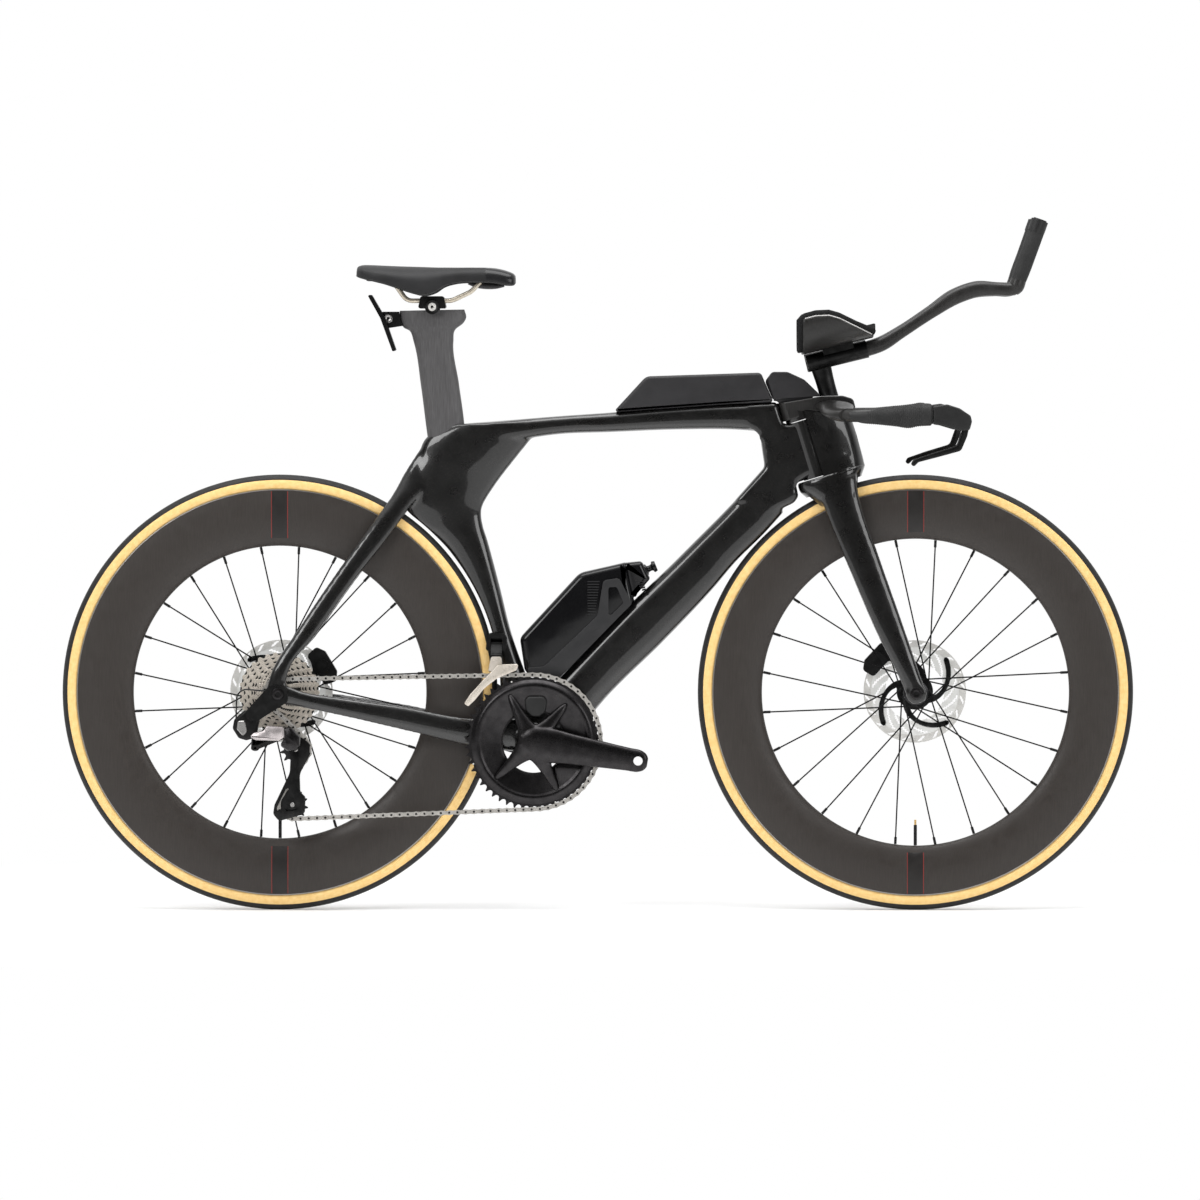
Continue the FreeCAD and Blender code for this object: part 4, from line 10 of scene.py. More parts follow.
import bmesh
import bpy
import numpy as np
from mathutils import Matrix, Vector


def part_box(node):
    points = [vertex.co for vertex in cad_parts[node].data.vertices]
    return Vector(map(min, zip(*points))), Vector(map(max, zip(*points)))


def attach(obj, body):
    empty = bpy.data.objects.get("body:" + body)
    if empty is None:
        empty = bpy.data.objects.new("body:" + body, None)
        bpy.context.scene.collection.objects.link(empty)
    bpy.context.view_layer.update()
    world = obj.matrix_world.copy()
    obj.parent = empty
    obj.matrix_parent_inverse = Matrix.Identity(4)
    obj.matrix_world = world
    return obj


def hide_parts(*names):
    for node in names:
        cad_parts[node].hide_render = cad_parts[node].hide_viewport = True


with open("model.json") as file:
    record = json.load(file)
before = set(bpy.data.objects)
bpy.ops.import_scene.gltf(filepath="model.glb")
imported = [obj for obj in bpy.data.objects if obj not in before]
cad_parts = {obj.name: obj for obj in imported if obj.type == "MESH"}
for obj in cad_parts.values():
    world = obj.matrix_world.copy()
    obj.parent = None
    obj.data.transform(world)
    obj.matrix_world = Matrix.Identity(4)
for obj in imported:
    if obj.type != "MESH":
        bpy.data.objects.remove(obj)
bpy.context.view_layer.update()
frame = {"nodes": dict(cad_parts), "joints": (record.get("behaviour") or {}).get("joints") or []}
MM = 0.001
FULL_TURN = 2 * math.pi
ACROSS = np.array([0.0, 1.0, 0.0])
UPWARDS = np.array([0.0, 0.0, 1.0])
CORNER_STEPS = 6


# Anchors, read from the frame
def plane_of(node):
    """Middle of a node across the bike."""
    low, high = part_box(node)
    return (low.y + high.y) / 2 / MM


def middle(node):
    """Middle of a node's box, on the bike's middle plane."""
    low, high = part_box(node)
    spot = np.array(low + high) / 2 / MM
    return spot * np.array([1.0, 0.0, 1.0])


def joint_row(name):
    """The frame's row for one joint."""
    return next(row for row in frame["joints"] if row["name"] == name)


REAR = middle("rear_axle")
FRONT = middle("front_axle")
CRANK = np.array(joint_row("crank_spin")["pos_m"]) / MM
STEM_FOOT = np.array(joint_row("steering")["pos_m"]) / MM
HEAD_UP = np.array(joint_row("steering")["axis"])
HEAD_OUT = np.cross(ACROSS, HEAD_UP)
HEAD_TOP = 457.0
CROWN_TOP = 365.0


def at_head(out, up, across=0.0):
    """Points so far out from the steering axis, up along it from the front axle's level, and across."""
    out, up, across = np.broadcast_arrays(out, up, across)
    way = out[..., None] * HEAD_OUT + (up - HEAD_TOP)[..., None] * HEAD_UP
    return STEM_FOOT + way + across[..., None] * ACROSS


# Shapes: points in millimetres with the faces between them
class Shape:
    """Points and faces of a surface; shapes add up to one that holds them all."""

    def __init__(self, points, faces):
        self.points = np.asarray(points, float).reshape(-1, 3)
        self.faces = faces

    def __add__(self, other):
        shift = len(self.points)
        moved = [[corner + shift for corner in face] for face in other.faces]
        return Shape(np.vstack([self.points, other.points]), self.faces + moved)

    def mirrored(self):
        """The mirror image on the other side of the bike."""
        return Shape(self.points * np.array([1.0, -1.0, 1.0]), [face[::-1] for face in self.faces])


def pair(shape):
    """A shape with its mirror image on the other side of the bike."""
    return shape + shape.mirrored()


def total(shapes):
    """Several shapes as one."""
    shapes = list(shapes)
    points = np.vstack([shape.points for shape in shapes])
    faces = []
    shift = 0
    for shape in shapes:
        faces.extend([[corner + shift for corner in face] for face in shape.faces])
        shift += len(shape.points)
    return Shape(points, faces)


def skin(grid, close_rows=False, caps=True):
    """Quads over a grid of points, whose rows are rings. Closed rows join the last one to the first, and caps
    fan to the middle of both ends."""
    rows, columns = grid.shape[:2]
    row = np.arange(rows if close_rows else rows - 1)
    column = np.arange(columns)
    row, column = np.meshgrid(row, column, indexing="ij")
    below = (row + 1) % rows
    right = (column + 1) % columns
    here = row * columns
    there = below * columns
    corners = [here + column, there + column, there + right, here + right]
    faces = np.stack(corners, -1).reshape(-1, 4).tolist()
    points = grid.reshape(-1, 3)
    if caps and not close_rows:
        ends = np.stack([grid[0].mean(0), grid[-1].mean(0)])
        first = np.arange(columns)
        following = (first + 1) % columns
        last = first + (rows - 1) * columns
        pole = np.full(columns, rows * columns)
        faces += np.stack([first, following, pole], -1).tolist()
        faces += np.stack([last, pole + 1, following + (rows - 1) * columns], -1).tolist()
        points = np.vstack([points, ends])
    return Shape(points, faces)


def smooth_line(points, count):
    """Points spread evenly along a cubic curve through the given ones, sloped at each as between its
    neighbours."""
    knots = np.array(points, float)
    run = np.concatenate([[0.0], np.cumsum(np.linalg.norm(np.diff(knots, axis=0), axis=1))])
    slope = np.gradient(knots, run, axis=0)
    spot = np.linspace(0.0, run[-1], count)
    part = np.clip(np.searchsorted(run, spot, side="right") - 1, 0, len(run) - 2)
    span = (run[part + 1] - run[part])[:, None]
    share = (spot - run[part])[:, None] / span
    rest = 1 - share
    start = (1 + 2 * share) * rest**2 * knots[part] + share * rest**2 * span * slope[part]
    end = share**2 * (3 - 2 * share) * knots[part + 1] - share**2 * rest * span * slope[part + 1]
    return start + end


def round_ring(count, power=2.0):
    """Cosine and sine round a turn, each raised to two over the power: 2 gives a circle, more a squarer
    ring."""
    angle = np.linspace(0.0, FULL_TURN, count, endpoint=False)
    cosine = np.cos(angle)
    sine = np.sin(angle)
    lift = 2 / power
    return np.sign(cosine) * np.abs(cosine) ** lift, np.sign(sine) * np.abs(sine) ** lift


def unit(ways):
    """Directions of length one."""
    return ways / np.linalg.norm(ways, axis=-1, keepdims=True)


def ramp(value, start, end):
    """How far a value is on its way from start to end: 0 before it, 1 after it."""
    return np.clip((value - start) / (end - start), 0, 1)


def blade(stations, count, ring, power=2.4):
    """A tube between two edges seen from the side. Each station is (front x, front z, rear x, rear z, y, half
    width). The sections, so many of them, lie along a smooth line through the stations, and each is a squared
    ring of so many points from the rear edge to the front one."""
    rows = smooth_line(stations, count)
    front = np.stack([rows[:, 0], rows[:, 4], rows[:, 1]], -1)
    rear = np.stack([rows[:, 2], rows[:, 4], rows[:, 3]], -1)
    along, over = round_ring(ring, power)
    mid = (front + rear)[:, None] / 2
    depth = (front - rear)[:, None] / 2 * along[None, :, None]
    width = rows[:, 5][:, None, None] * over[None, :, None] * ACROSS
    return skin(mid + depth + width)


def tube(path, radius, ring, count, power=2.0):
    """A ring carried along a smooth line through the path, its first side square to the line and to the bike's
    width. Ring and count are its points and its sections. The radius is one number or one per path point."""
    path = np.array(path, float)
    radius = np.broadcast_to(np.asarray(radius, float), len(path))
    rows = smooth_line(np.column_stack([path, radius]), count)
    spots = rows[:, :3]
    way = unit(np.gradient(spots, axis=0))
    side = unit(np.cross(ACROSS, way))
    up = np.cross(way, side)
    along, over = round_ring(ring, power)
    width = rows[:, 3][:, None, None]
    turn = along[None, :, None] * side[:, None] + over[None, :, None] * up[:, None]
    return skin(spots[:, None] + width * turn)


def turned(profile, centre, count):
    """A profile of (radius, y) points, a closed line, spun about the Y axis in so many steps."""
    profile = np.array(profile, float)
    angle = np.linspace(0.0, FULL_TURN, count, endpoint=False)
    x = profile[:, 0][:, None] * np.cos(angle)
    z = profile[:, 0][:, None] * np.sin(angle)
    y = np.broadcast_to(profile[:, 1][:, None], x.shape)
    grid = np.stack([x, y, z], -1) + np.asarray(centre, float)
    return skin(grid, close_rows=True)


def rod(start, end, radius, ring=16, edge=0.5):
    """A round rod between two points, with a small bevel at both ends."""
    start = np.array(start, float)
    end = np.array(end, float)
    way = unit(end - start)
    level = UPWARDS if abs(way[1]) > 0.7 else ACROSS
    side = unit(np.cross(level, way))
    up = np.cross(way, side)
    length = np.linalg.norm(end - start)
    spots = np.array([0.0, edge, length - edge, length])
    radii = np.array([radius - edge, radius, radius, radius - edge])
    along, over = round_ring(ring)
    turn = along[:, None] * side + over[:, None] * up
    grid = start + spots[:, None, None] * way + radii[:, None, None] * turn[None]
    return skin(grid)


def plate(outline, low, high, bevel=0.6, steps=1, rows=0):
    """A flat plate: an outline of (x, z) points carried from one y to another, its edges drawn in along a
    quarter round of the bevel's radius, in so many steps, with so many more rows of points between the
    edges."""
    outline = np.array(outline, float)
    before = np.roll(outline, 1, axis=0)
    after = np.roll(outline, -1, axis=0)
    way = unit(after - before)
    area = np.sum(before[:, 0] * outline[:, 1] - outline[:, 0] * before[:, 1])
    inward = np.stack([-way[:, 1], way[:, 0]], -1) * np.sign(area)
    turn = np.linspace(0, math.pi / 2, steps + 1)
    draw = bevel * (1 - np.sin(turn))
    depth = bevel * (1 - np.cos(turn))
    inset = np.concatenate([draw, np.zeros(rows), draw[::-1]])
    between = np.linspace(low + bevel, high - bevel, rows + 2)[1:-1]
    across = np.concatenate([low + depth, between, high - depth[::-1]])
    flat = outline[None] + inset[:, None, None] * inward[None]
    grid = np.stack([flat[..., 0], across[:, None] + 0 * flat[..., 0], flat[..., 1]], -1)
    body = skin(grid, caps=False)
    count = len(outline)
    last = (len(across) - 1) * count
    body.faces += [list(range(count))[::-1], list(range(last, last + count))]
    return body


def rounded_outline(corners):
    """An outline of (x, z, radius) corners, each rounded by an arc of that radius, as (x, z) points."""
    corners = np.array(corners, float)
    spots = []
    for number, (x, z, radius) in enumerate(corners):
        here = np.array([x, z])
        back = unit(corners[number - 1, :2] - here)
        ahead = unit(corners[(number + 1) % len(corners), :2] - here)
        half = math.acos(np.clip(back @ ahead, -1, 1)) / 2
        reach = radius / math.tan(half)
        middle_way = unit(back + ahead)
        centre = here + middle_way * radius / math.sin(half)
        start = here + back * reach - centre
        end = here + ahead * reach - centre
        share = np.linspace(0, 1, CORNER_STEPS)[:, None]
        spots.append(centre + radius * unit(start * (1 - share) + end * share))
    return np.vstack(spots)


def slab(corners, low, high, bevel=0.6, steps=1, rows=0):
    """A plate with an outline of (x, z, radius) corners."""
    return plate(rounded_outline(corners), low, high, bevel, steps, rows)


# Objects in the scene
SAME_POINT = 1e-7
SMOOTHING = 0.5


def mesh_of(name, shape, join=False):
    """A mesh with that shape, its faces outwards; points that fall together can be joined."""
    mesh = bpy.data.meshes.new(name)
    mesh.from_pydata((shape.points * MM).tolist(), [], shape.faces)
    work = bmesh.new()
    work.from_mesh(mesh)
    if join:
        bmesh.ops.remove_doubles(work, verts=work.verts, dist=SAME_POINT)
    bmesh.ops.recalc_face_normals(work, faces=work.faces)
    work.to_mesh(mesh)
    work.free()
    return mesh


def placed(name, data):
    """A new object in the scene with that mesh, lamp or camera."""
    item = bpy.data.objects.new(name, data)
    bpy.context.scene.collection.objects.link(item)
    return item


def aimed(item, spot, aim):
    """The object put at a spot and turned to look at a point."""
    item.location = spot
    item.rotation_euler = (Vector(aim) - Vector(spot)).to_track_quat("-Z", "Y").to_euler()


def make_piece(name, shape, finish, body, stands_for=(), sharp=35.0):
    """An object with that shape, its finish, the body it rides on and the nodes it stands for."""
    mesh = mesh_of(name, shape, True)
    mesh.shade_smooth()
    mesh.set_sharp_from_angle(angle=math.radians(sharp))
    mesh.materials.append(finish)
    piece = placed(name, mesh)
    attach(piece, body)
    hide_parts(*stands_for)
    return piece


def worked(items):
    """The first object's shape after its modifiers; all of the objects are then removed."""
    changed = items[0].evaluated_get(bpy.context.evaluated_depsgraph_get())
    result = changed.to_mesh()
    points = np.zeros(len(result.vertices) * 3)
    result.vertices.foreach_get("co", points)
    faces = [list(face.vertices) for face in result.polygons]
    changed.to_mesh_clear()
    for item in items:
        mesh = item.data
        bpy.data.objects.remove(item)
        bpy.data.meshes.remove(mesh)
    return Shape(points / MM, faces)


def melted(shape, voxel, rounds):
    """The shape's overlapping parts as one skin: remeshed at a voxel size, then smoothed so many rounds."""
    item = placed("melt", mesh_of("melt", shape))
    remesh = item.modifiers.new("remesh", "REMESH")
    remesh.mode = "VOXEL"
    remesh.voxel_size = voxel * MM
    smooth = item.modifiers.new("smooth", "SMOOTH")
    smooth.factor = SMOOTHING
    smooth.iterations = rounds
    return worked([item])


def cut_from(shape, tool):
    """The shape with another one taken away from it."""
    items = [placed("cut", mesh_of("cut", part)) for part in (shape, tool)]
    cut = items[0].modifiers.new("cut", "BOOLEAN")
    cut.operation = "DIFFERENCE"
    cut.solver = "EXACT"
    cut.object = items[1]
    return worked(items)


# Finishes
class NodeTree:
    """A tree of shader nodes under construction."""

    def __init__(self, tree):
        self.nodes = tree.nodes
        self.links = tree.links

    def node(self, kind, **inputs):
        """A new node with these input values; an input that is a socket is linked."""
        node = self.nodes.new("ShaderNode" + kind)
        for socket, value in inputs.items():
            target = node.inputs[socket.replace("_", " ")]
            if isinstance(value, bpy.types.NodeSocket):
                self.links.new(value, target)
            else:
                target.default_value = value
        return node

    def math(self, operation, first, second):
        """Two values joined by a sum of that kind."""
        node = self.nodes.new("ShaderNodeMath")
        node.operation = operation
        self.links.new(first, node.inputs[0])
        self.links.new(second, node.inputs[1])
        return node.outputs[0]

    def spread(self, value, low, high, start=0.3, end=0.7):
        """Values from start to end spread over low to high."""
        ends = {"From_Min": start, "From_Max": end, "To_Min": low, "To_Max": high}
        return self.node("MapRange", Value=value, **ends).outputs["Result"]


class Finish(NodeTree):
    """A procedural material under construction: its shader and its links."""

    def __init__(self, name, colour, roughness, metallic=0.0, **sockets):
        self.material = bpy.data.materials.new(name)
        self.material.use_nodes = True
        super().__init__(self.material.node_tree)
        self.shader = self.nodes["Principled BSDF"]
        self.colour = (*colour, 1.0)
        self.roughness = roughness
        self.shader.inputs["Base Color"].default_value = self.colour
        self.shader.inputs["Roughness"].default_value = roughness
        self.shader.inputs["Metallic"].default_value = metallic
        for socket, value in sockets.items():
            self.shader.inputs[socket.replace("_", " ")].default_value = value
        self.place = self.nodes.new("ShaderNodeTexCoord").outputs["Object"]

    def stretched(self, scale):
        """Object coordinates scaled along each axis, so that a pattern runs in streaks."""
        return self.node("Mapping", Vector=self.place, Scale=scale).outputs["Vector"]

    def noise(self, scale, detail=3.0, place=None):
        """A cloudy pattern."""
        return self.node("TexNoise", Vector=place or self.place, Scale=scale, Detail=detail).outputs["Fac"]

    def tint(self, value, other, start=0.3, end=0.7):
        """The colour goes to another one where the pattern is high."""
        mix = self.nodes.new("ShaderNodeMix")
        mix.data_type = "RGBA"
        self.links.new(self.spread(value, 0.0, 1.0, start, end), mix.inputs[0])
        mix.inputs[6].default_value = self.colour
        mix.inputs[7].default_value = (*other, 1.0)
        self.links.new(mix.outputs[2], self.shader.inputs["Base Color"])
        return self

    def wear(self, value, change):
        """The roughness goes up and down with the pattern."""
        rough = self.spread(value, self.roughness - change, self.roughness + change)
        self.links.new(rough, self.shader.inputs["Roughness"])
        return self

    def bump(self, value, depth):
        """The pattern as relief, so many millimetres deep."""
        bump = self.node("Bump", Height=value, Strength=1.0, Distance=depth * MM)
        self.links.new(bump.outputs["Normal"], self.shader.inputs["Normal"])
        return self


def flake_paint(name):
    """Gloss black paint: fine bright flakes under a clear coat."""
    coat = {"Specular_IOR_Level": 0.4, "Coat_Weight": 0.9, "Coat_Roughness": 0.05}
    finish = Finish(name, (0.003, 0.0029, 0.0028), 0.3, **coat)
    cells = finish.node("TexVoronoi", Vector=finish.place, Scale=1500.0)
    finish.tint(cells.outputs["Color"], (0.03, 0.028, 0.026), 0.7, 1.0)
    return finish.wear(finish.noise(40.0), 0.05).material


def satin_carbon(name, colour, other, roughness):
    """Satin carbon: long fibre streaks in the colour and a faint grain."""
    finish = Finish(name, colour, roughness, Specular_IOR_Level=0.4)
    streaks = finish.noise(1.0, 4.0, finish.stretched((900.0, 900.0, 45.0)))
    finish.tint(streaks, other, 0.35, 0.75)
    finish.wear(finish.noise(60.0), 0.06)
    return finish.bump(finish.noise(1800.0, 2.0), 0.02).material


def moulding(name, colour, other, roughness, grain=900.0, depth=0.04):
    """Moulded plastic: a fine pebbled grain and slightly uneven colour."""
    finish = Finish(name, colour, roughness, Specular_IOR_Level=0.4)
    finish.tint(finish.noise(35.0), other)
    finish.wear(finish.noise(120.0), 0.05)
    return finish.bump(finish.noise(grain, 2.0), depth).material


def anodised(name, colour, other, roughness, metallic=1.0):
    """Metal, or a duller metal finish, with fine brushing and a cloudy sheen."""
    finish = Finish(name, colour, roughness, metallic)
    finish.tint(finish.noise(90.0, 4.0), other)
    finish.wear(finish.noise(1.0, 3.0, finish.stretched((1200.0, 200.0, 1200.0))), 0.08)
    return finish.material


PAINT = flake_paint("frame_flake_black")
POST_CARBON = satin_carbon("post_carbon", (0.055, 0.053, 0.054), (0.085, 0.083, 0.085), 0.46)
BAR_CARBON = satin_carbon("bar_carbon", (0.011, 0.0105, 0.010), (0.022, 0.021, 0.02), 0.36)
RIM_CARBON = satin_carbon("rim_carbon", (0.026, 0.0215, 0.0185), (0.034, 0.028, 0.0245), 0.44)
RIM_PANEL = moulding("rim_panel", (0.010, 0.0085, 0.008), (0.015, 0.013, 0.012), 0.4, 1500.0, 0.01)
RIM_LINE = moulding("rim_red_line", (0.25, 0.02, 0.015), (0.19, 0.015, 0.012), 0.45, 1500.0, 0.01)
# Pale metal for the thin rings along the rim's lips: a painted highlight
RIM_HIGHLIGHT = anodised("rim_highlight_paint", (0.30, 0.28, 0.26), (0.36, 0.34, 0.31), 0.4)
TREAD = moulding("tyre_tread", (0.008, 0.0078, 0.0075), (0.015, 0.0145, 0.014), 0.62, 700.0, 0.12)
SPOKE_BLACK = anodised("spoke_black", (0.02, 0.02, 0.02), (0.03, 0.03, 0.03), 0.38)
HUB_BLACK = anodised("hub_black", (0.025, 0.025, 0.026), (0.04, 0.04, 0.041), 0.32)
ROTOR_STEEL = anodised("rotor_steel", (0.66, 0.65, 0.62), (0.76, 0.75, 0.72), 0.34, 0.4)
ROTOR_FIN = anodised("rotor_fin", (0.76, 0.76, 0.74), (0.84, 0.84, 0.82), 0.5, 0.3)
SATIN_BLACK = anodised("satin_black", (0.018, 0.018, 0.018), (0.032, 0.032, 0.032), 0.4)
GUNMETAL = anodised("crank_gunmetal", (0.030, 0.0285, 0.0295), (0.046, 0.044, 0.045), 0.3)
PALE_SILVER = anodised("pale_silver", (0.54, 0.49, 0.42), (0.68, 0.62, 0.55), 0.3, 0.45)
LINK_SILVER = anodised("link_silver", (0.40, 0.365, 0.365), (0.52, 0.475, 0.475), 0.28, 0.6)
CHAIN_STEEL = anodised("chain_steel", (0.36, 0.345, 0.32), (0.5, 0.48, 0.45), 0.3, 0.5)
PLAIN_STEEL = anodised("plain_steel", (0.42, 0.41, 0.40), (0.52, 0.51, 0.5), 0.3)
RAIL_METAL = anodised("rail_titanium", (0.52, 0.46, 0.37), (0.62, 0.56, 0.46), 0.28, 0.6)
BRASS = anodised("valve_brass", (0.72, 0.45, 0.16), (0.8, 0.54, 0.22), 0.3)
MATTE_GREY = moulding("matte_grey", (0.0125, 0.0118, 0.013), (0.017, 0.0162, 0.0178), 0.5)
CAGE_GREY = moulding("cage_grey", (0.014, 0.014, 0.015), (0.020, 0.020, 0.021), 0.5)
BLACK_NYLON = moulding("black_nylon", (0.007, 0.007, 0.007), (0.012, 0.012, 0.012), 0.5)
GRIP_RUBBER = moulding("grip_rubber", (0.012, 0.012, 0.012), (0.02, 0.02, 0.02), 0.7, 1400.0, 0.08)


def tan_wall():
    """Tan tyre casing: cotton threads laid both ways under a thin rubber skin."""
    finish = Finish("tyre_tan_wall", (0.78, 0.50, 0.17), 0.6)
    finish.tint(finish.noise(140.0, 5.0), (0.86, 0.60, 0.25))
    threads = finish.node("TexWave", Vector=finish.place, Scale=520.0, Distortion=1.2)
    return finish.bump(threads.outputs["Fac"], 0.06).material


TAN_WALL = tan_wall()


def bottle_gloss():
    """Gloss black blown plastic with a faint ripple."""
    finish = Finish("bottle_gloss", (0.0045, 0.0045, 0.005), 0.16, Specular_IOR_Level=0.35)
    finish.wear(finish.noise(30.0), 0.05)
    return finish.bump(finish.noise(55.0, 1.0), 0.12).material


BOTTLE_GLOSS = bottle_gloss()


# Wheels
WHEEL_STEPS = 240
RIM_RADIUS = 316.0
RIM_HALF = 15.0
RIM_LIP = 13.0
RIM_BELLY = 0.36
RIM_STEPS = 26
FRONT_RIM_DEPTH = 77.0
REAR_RIM_DEPTH = 88.0
# Well under the tyre: its sides and floor from the rim's edge, and the wall of the lips
WELL_SIDE = 7.0
WELL_FLOOR = 10.0
LIP_WALL = 3.0
# Painted highlight along the edge of a lip: section points (outwards, across) from the lip's corner
LIP_HIGHLIGHT = [(0.3, -0.1), (-1.2, -0.35), (-1.2, 0.8), (0.3, 0.8)]
TYRE_RADIUS = 339.0
TYRE_HALF = 14.0
TYRE_MIDDLE = TYRE_RADIUS - TYRE_HALF
CASING_EDGE = math.radians(-52.0)
CASING_INSIDE = 2.4
TREAD_START = math.radians(25.0)
TREAD_RISE = 0.45
TREAD_FADE = 0.12
TREAD_INSIDE = 1.0
# Label panel on the rim: its share of the depth, half width, edge lines and how far both stand off the rim
PANEL_SPAN = (0.03, 0.86)
PANEL_HALF = 13.0
RED_LINE = 0.9
PANEL_LIFT = 0.12
LINE_LIFT = 0.16


def rim_half_width(share):
    """Half width of the rim so far from its lip to its nose: a slow swell to the belly, then a long
    ellipse."""
    swell = RIM_HALF - (RIM_HALF - RIM_LIP) * (np.clip(RIM_BELLY - share, 0, 1) / RIM_BELLY) ** 2
    fall = ramp(share, RIM_BELLY, 1)
    return swell * np.sqrt(np.clip(1 - fall**2, 0, 1))


def rim_shape(centre, depth):
    """The rim: its half width down both sides, with points closer together at the nose, and a well under
    the tyre."""
    share = np.sin(np.linspace(0, math.pi / 2, RIM_STEPS))
    radius = RIM_RADIUS - depth * share
    half = rim_half_width(share)
    right = np.column_stack([radius, -half])
    left = np.column_stack([radius, half])[-2::-1]
    inside = RIM_LIP - LIP_WALL
    side = RIM_RADIUS - WELL_SIDE
    well = np.array([[side, inside], [RIM_RADIUS - WELL_FLOOR, 0.0], [side, -inside]])
    return turned(np.vstack([right, left, well]), centre, WHEEL_STEPS)


def rim_patch(centre, depth, side, across, count, lift):
    """A thin piece on the rim's side along the panel's span, of even width, at the top or the bottom."""
    share = np.linspace(*PANEL_SPAN, 24)
    radius = (RIM_RADIUS - depth * share)[:, None]
    level = np.linspace(*across, count)[None, :]
    height = np.sqrt(radius**2 - level**2)
    half = (rim_half_width(share) + lift)[:, None] + 0 * level
    outer = np.stack([level + 0 * radius, -half, side * height], -1)
    inner = outer + np.array([0.0, 2 * lift, 0.0])
    ring = np.concatenate([outer, inner[:, ::-1]], 1)
    return pair(skin(ring + centre))


def tyre_profile(radius, start, end, count):
    """Points of the tyre's section between two angles from the outward side; the radius is one number or
    many."""
    angle = np.linspace(start, end, count)
    return np.column_stack([TYRE_MIDDLE + radius * np.sin(angle), radius * np.cos(angle)])


def tyre_wall_shape(centre):
    """Casing: a round shell open towards the rim."""
    far_edge = math.pi - CASING_EDGE
    outer = tyre_profile(TYRE_HALF - TREAD_RISE, CASING_EDGE, far_edge, 44)
    inner = tyre_profile(TYRE_HALF - CASING_INSIDE, far_edge, CASING_EDGE, 30)
    return turned(np.vstack([outer, inner]), centre, WHEEL_STEPS)


def tread_shape(centre):
    """Tread: a thicker cap over the casing, thinning to its edges."""
    far_edge = math.pi - TREAD_START
    angle = np.linspace(TREAD_START, far_edge, 34)
    thickness = np.clip(np.sin(angle) - math.sin(TREAD_START), 0, TREAD_FADE) / TREAD_FADE
    outer = tyre_profile(TYRE_HALF - TREAD_RISE + TREAD_RISE * thickness, TREAD_START, far_edge, 34)
    inner = tyre_profile(TYRE_HALF - TREAD_INSIDE, far_edge, TREAD_START, 20)
    return turned(np.vstack([outer, inner]), centre, WHEEL_STEPS)


def make_wheel(end, centre, depth):
    """Rim, tyre and trim of one wheel, with a painted highlight along each lip; its spokes and hub are the
    frame's own.
    """
    body = end + "_wheel"
    make_piece(end + "_rim_shell", rim_shape(centre, depth), RIM_CARBON, body, [end + "_rim"])
    # A thin pale ring along each lip of the rim: a painted highlight
    profile = [(RIM_RADIUS + out, across - RIM_LIP) for out, across in LIP_HIGHLIGHT]
    lips = pair(turned(profile, centre, WHEEL_STEPS))
    make_piece(end + "_rim_lip_highlights", lips, RIM_HIGHLIGHT, body)
    make_piece(end + "_tyre_wall", tyre_wall_shape(centre), TAN_WALL, body, [end + "_tyre"])
    make_piece(end + "_tyre_tread", tread_shape(centre), TREAD, body)
    inner = PANEL_HALF - RED_LINE
    panels = []
    lines = []
    for side in (-1, 1):
        panels.append(rim_patch(centre, depth, side, (-inner, inner), 20, PANEL_LIFT))
        for way in (-1, 1):
            edges = sorted((way * inner, way * PANEL_HALF))
            lines.append(rim_patch(centre, depth, side, edges, 3, LINE_LIFT))
    make_piece(end + "_rim_panels", total(panels), RIM_PANEL, body)
    make_piece(end + "_rim_red_lines", total(lines), RIM_LINE, body)


make_wheel("front", FRONT, FRONT_RIM_DEPTH)
make_wheel("rear", REAR, REAR_RIM_DEPTH)


# Brake rotors
ROTOR_RADIUS = 80.0
BAND_INNER = 69.0
BAND_HALF = 0.9
FIN_INNER = 46.0
FIN_HALF = 0.6
# Slots of the band: how many, their share of the turn, their lean in radians per millimetre, and their ends
SLOTS = 20
SLOT_SHARE = 0.22
SLOT_LEAN = 0.018
SLOT_INNER = 70.8
SLOT_OUTER = 77.8
# Fins: how many, the share of the gaps between them, their lean, and where the ring round them starts
FINS = 16
FIN_GAP = 0.24
FIN_LEAN = 0.03
FIN_RING = 66.6
# Arms: how many, the share of the fins they take, their start, turn, half thickness and (reach, half width)
ARMS = 4
ARM_SHARE = 0.1
ARM_START = 24.0
ARM_TURN = 0.08
ARM_HALF = 2.2
ARM_WIDTH = [(24, 5.5), (45, 3.6), (70, 4.4)]
CARRIER_RING = [(28.5, -1.6), (28.5, 1.6), (16.5, 1.6), (16.5, -1.6)]
RIVET_RADIUS = 3.4


def polar_plate(mask, radii, low, high, centre):
    """A flat disc cut into cells by angle and radius: cells of the mask that are true are solid, with walls
    where they meet an empty one."""
    rows, columns = mask.shape
    angle = np.linspace(0, FULL_TURN, rows, endpoint=False)
    x = np.cos(angle)[:, None] * radii[None]
    z = np.sin(angle)[:, None] * radii[None]
    layers = [np.stack([x, np.full(x.shape, y), z], -1).reshape(-1, 3) for y in (low, high)]
    points = np.vstack(layers) + centre
    width = columns + 1
    count = rows * width
    row, column = np.nonzero(mask)
    nearer = row * width + column
    further = (row + 1) % rows * width + column
    faces = np.stack([nearer, further, further + 1, nearer + 1], -1)
    sides = [faces, faces[:, ::-1] + count]
    open_before = ~np.roll(mask, 1, axis=0)[row, column]
    open_after = ~np.roll(mask, -1, axis=0)[row, column]
    padded_mask = np.pad(mask, ((0, 0), (1, 1)))
    open_inner = ~padded_mask[row, column]
    open_outer = ~padded_mask[row, column + 2]
    for is_open, first, second in (
        (open_before, nearer, nearer + 1),
        (open_after, further + 1, further),
        (open_inner, further, nearer),
        (open_outer, nearer + 1, further + 1),
    ):
        a, b = first[is_open], second[is_open]
        sides.append(np.stack([a, b, b + count, a + count], -1))
    return Shape(points, np.vstack(sides).tolist())


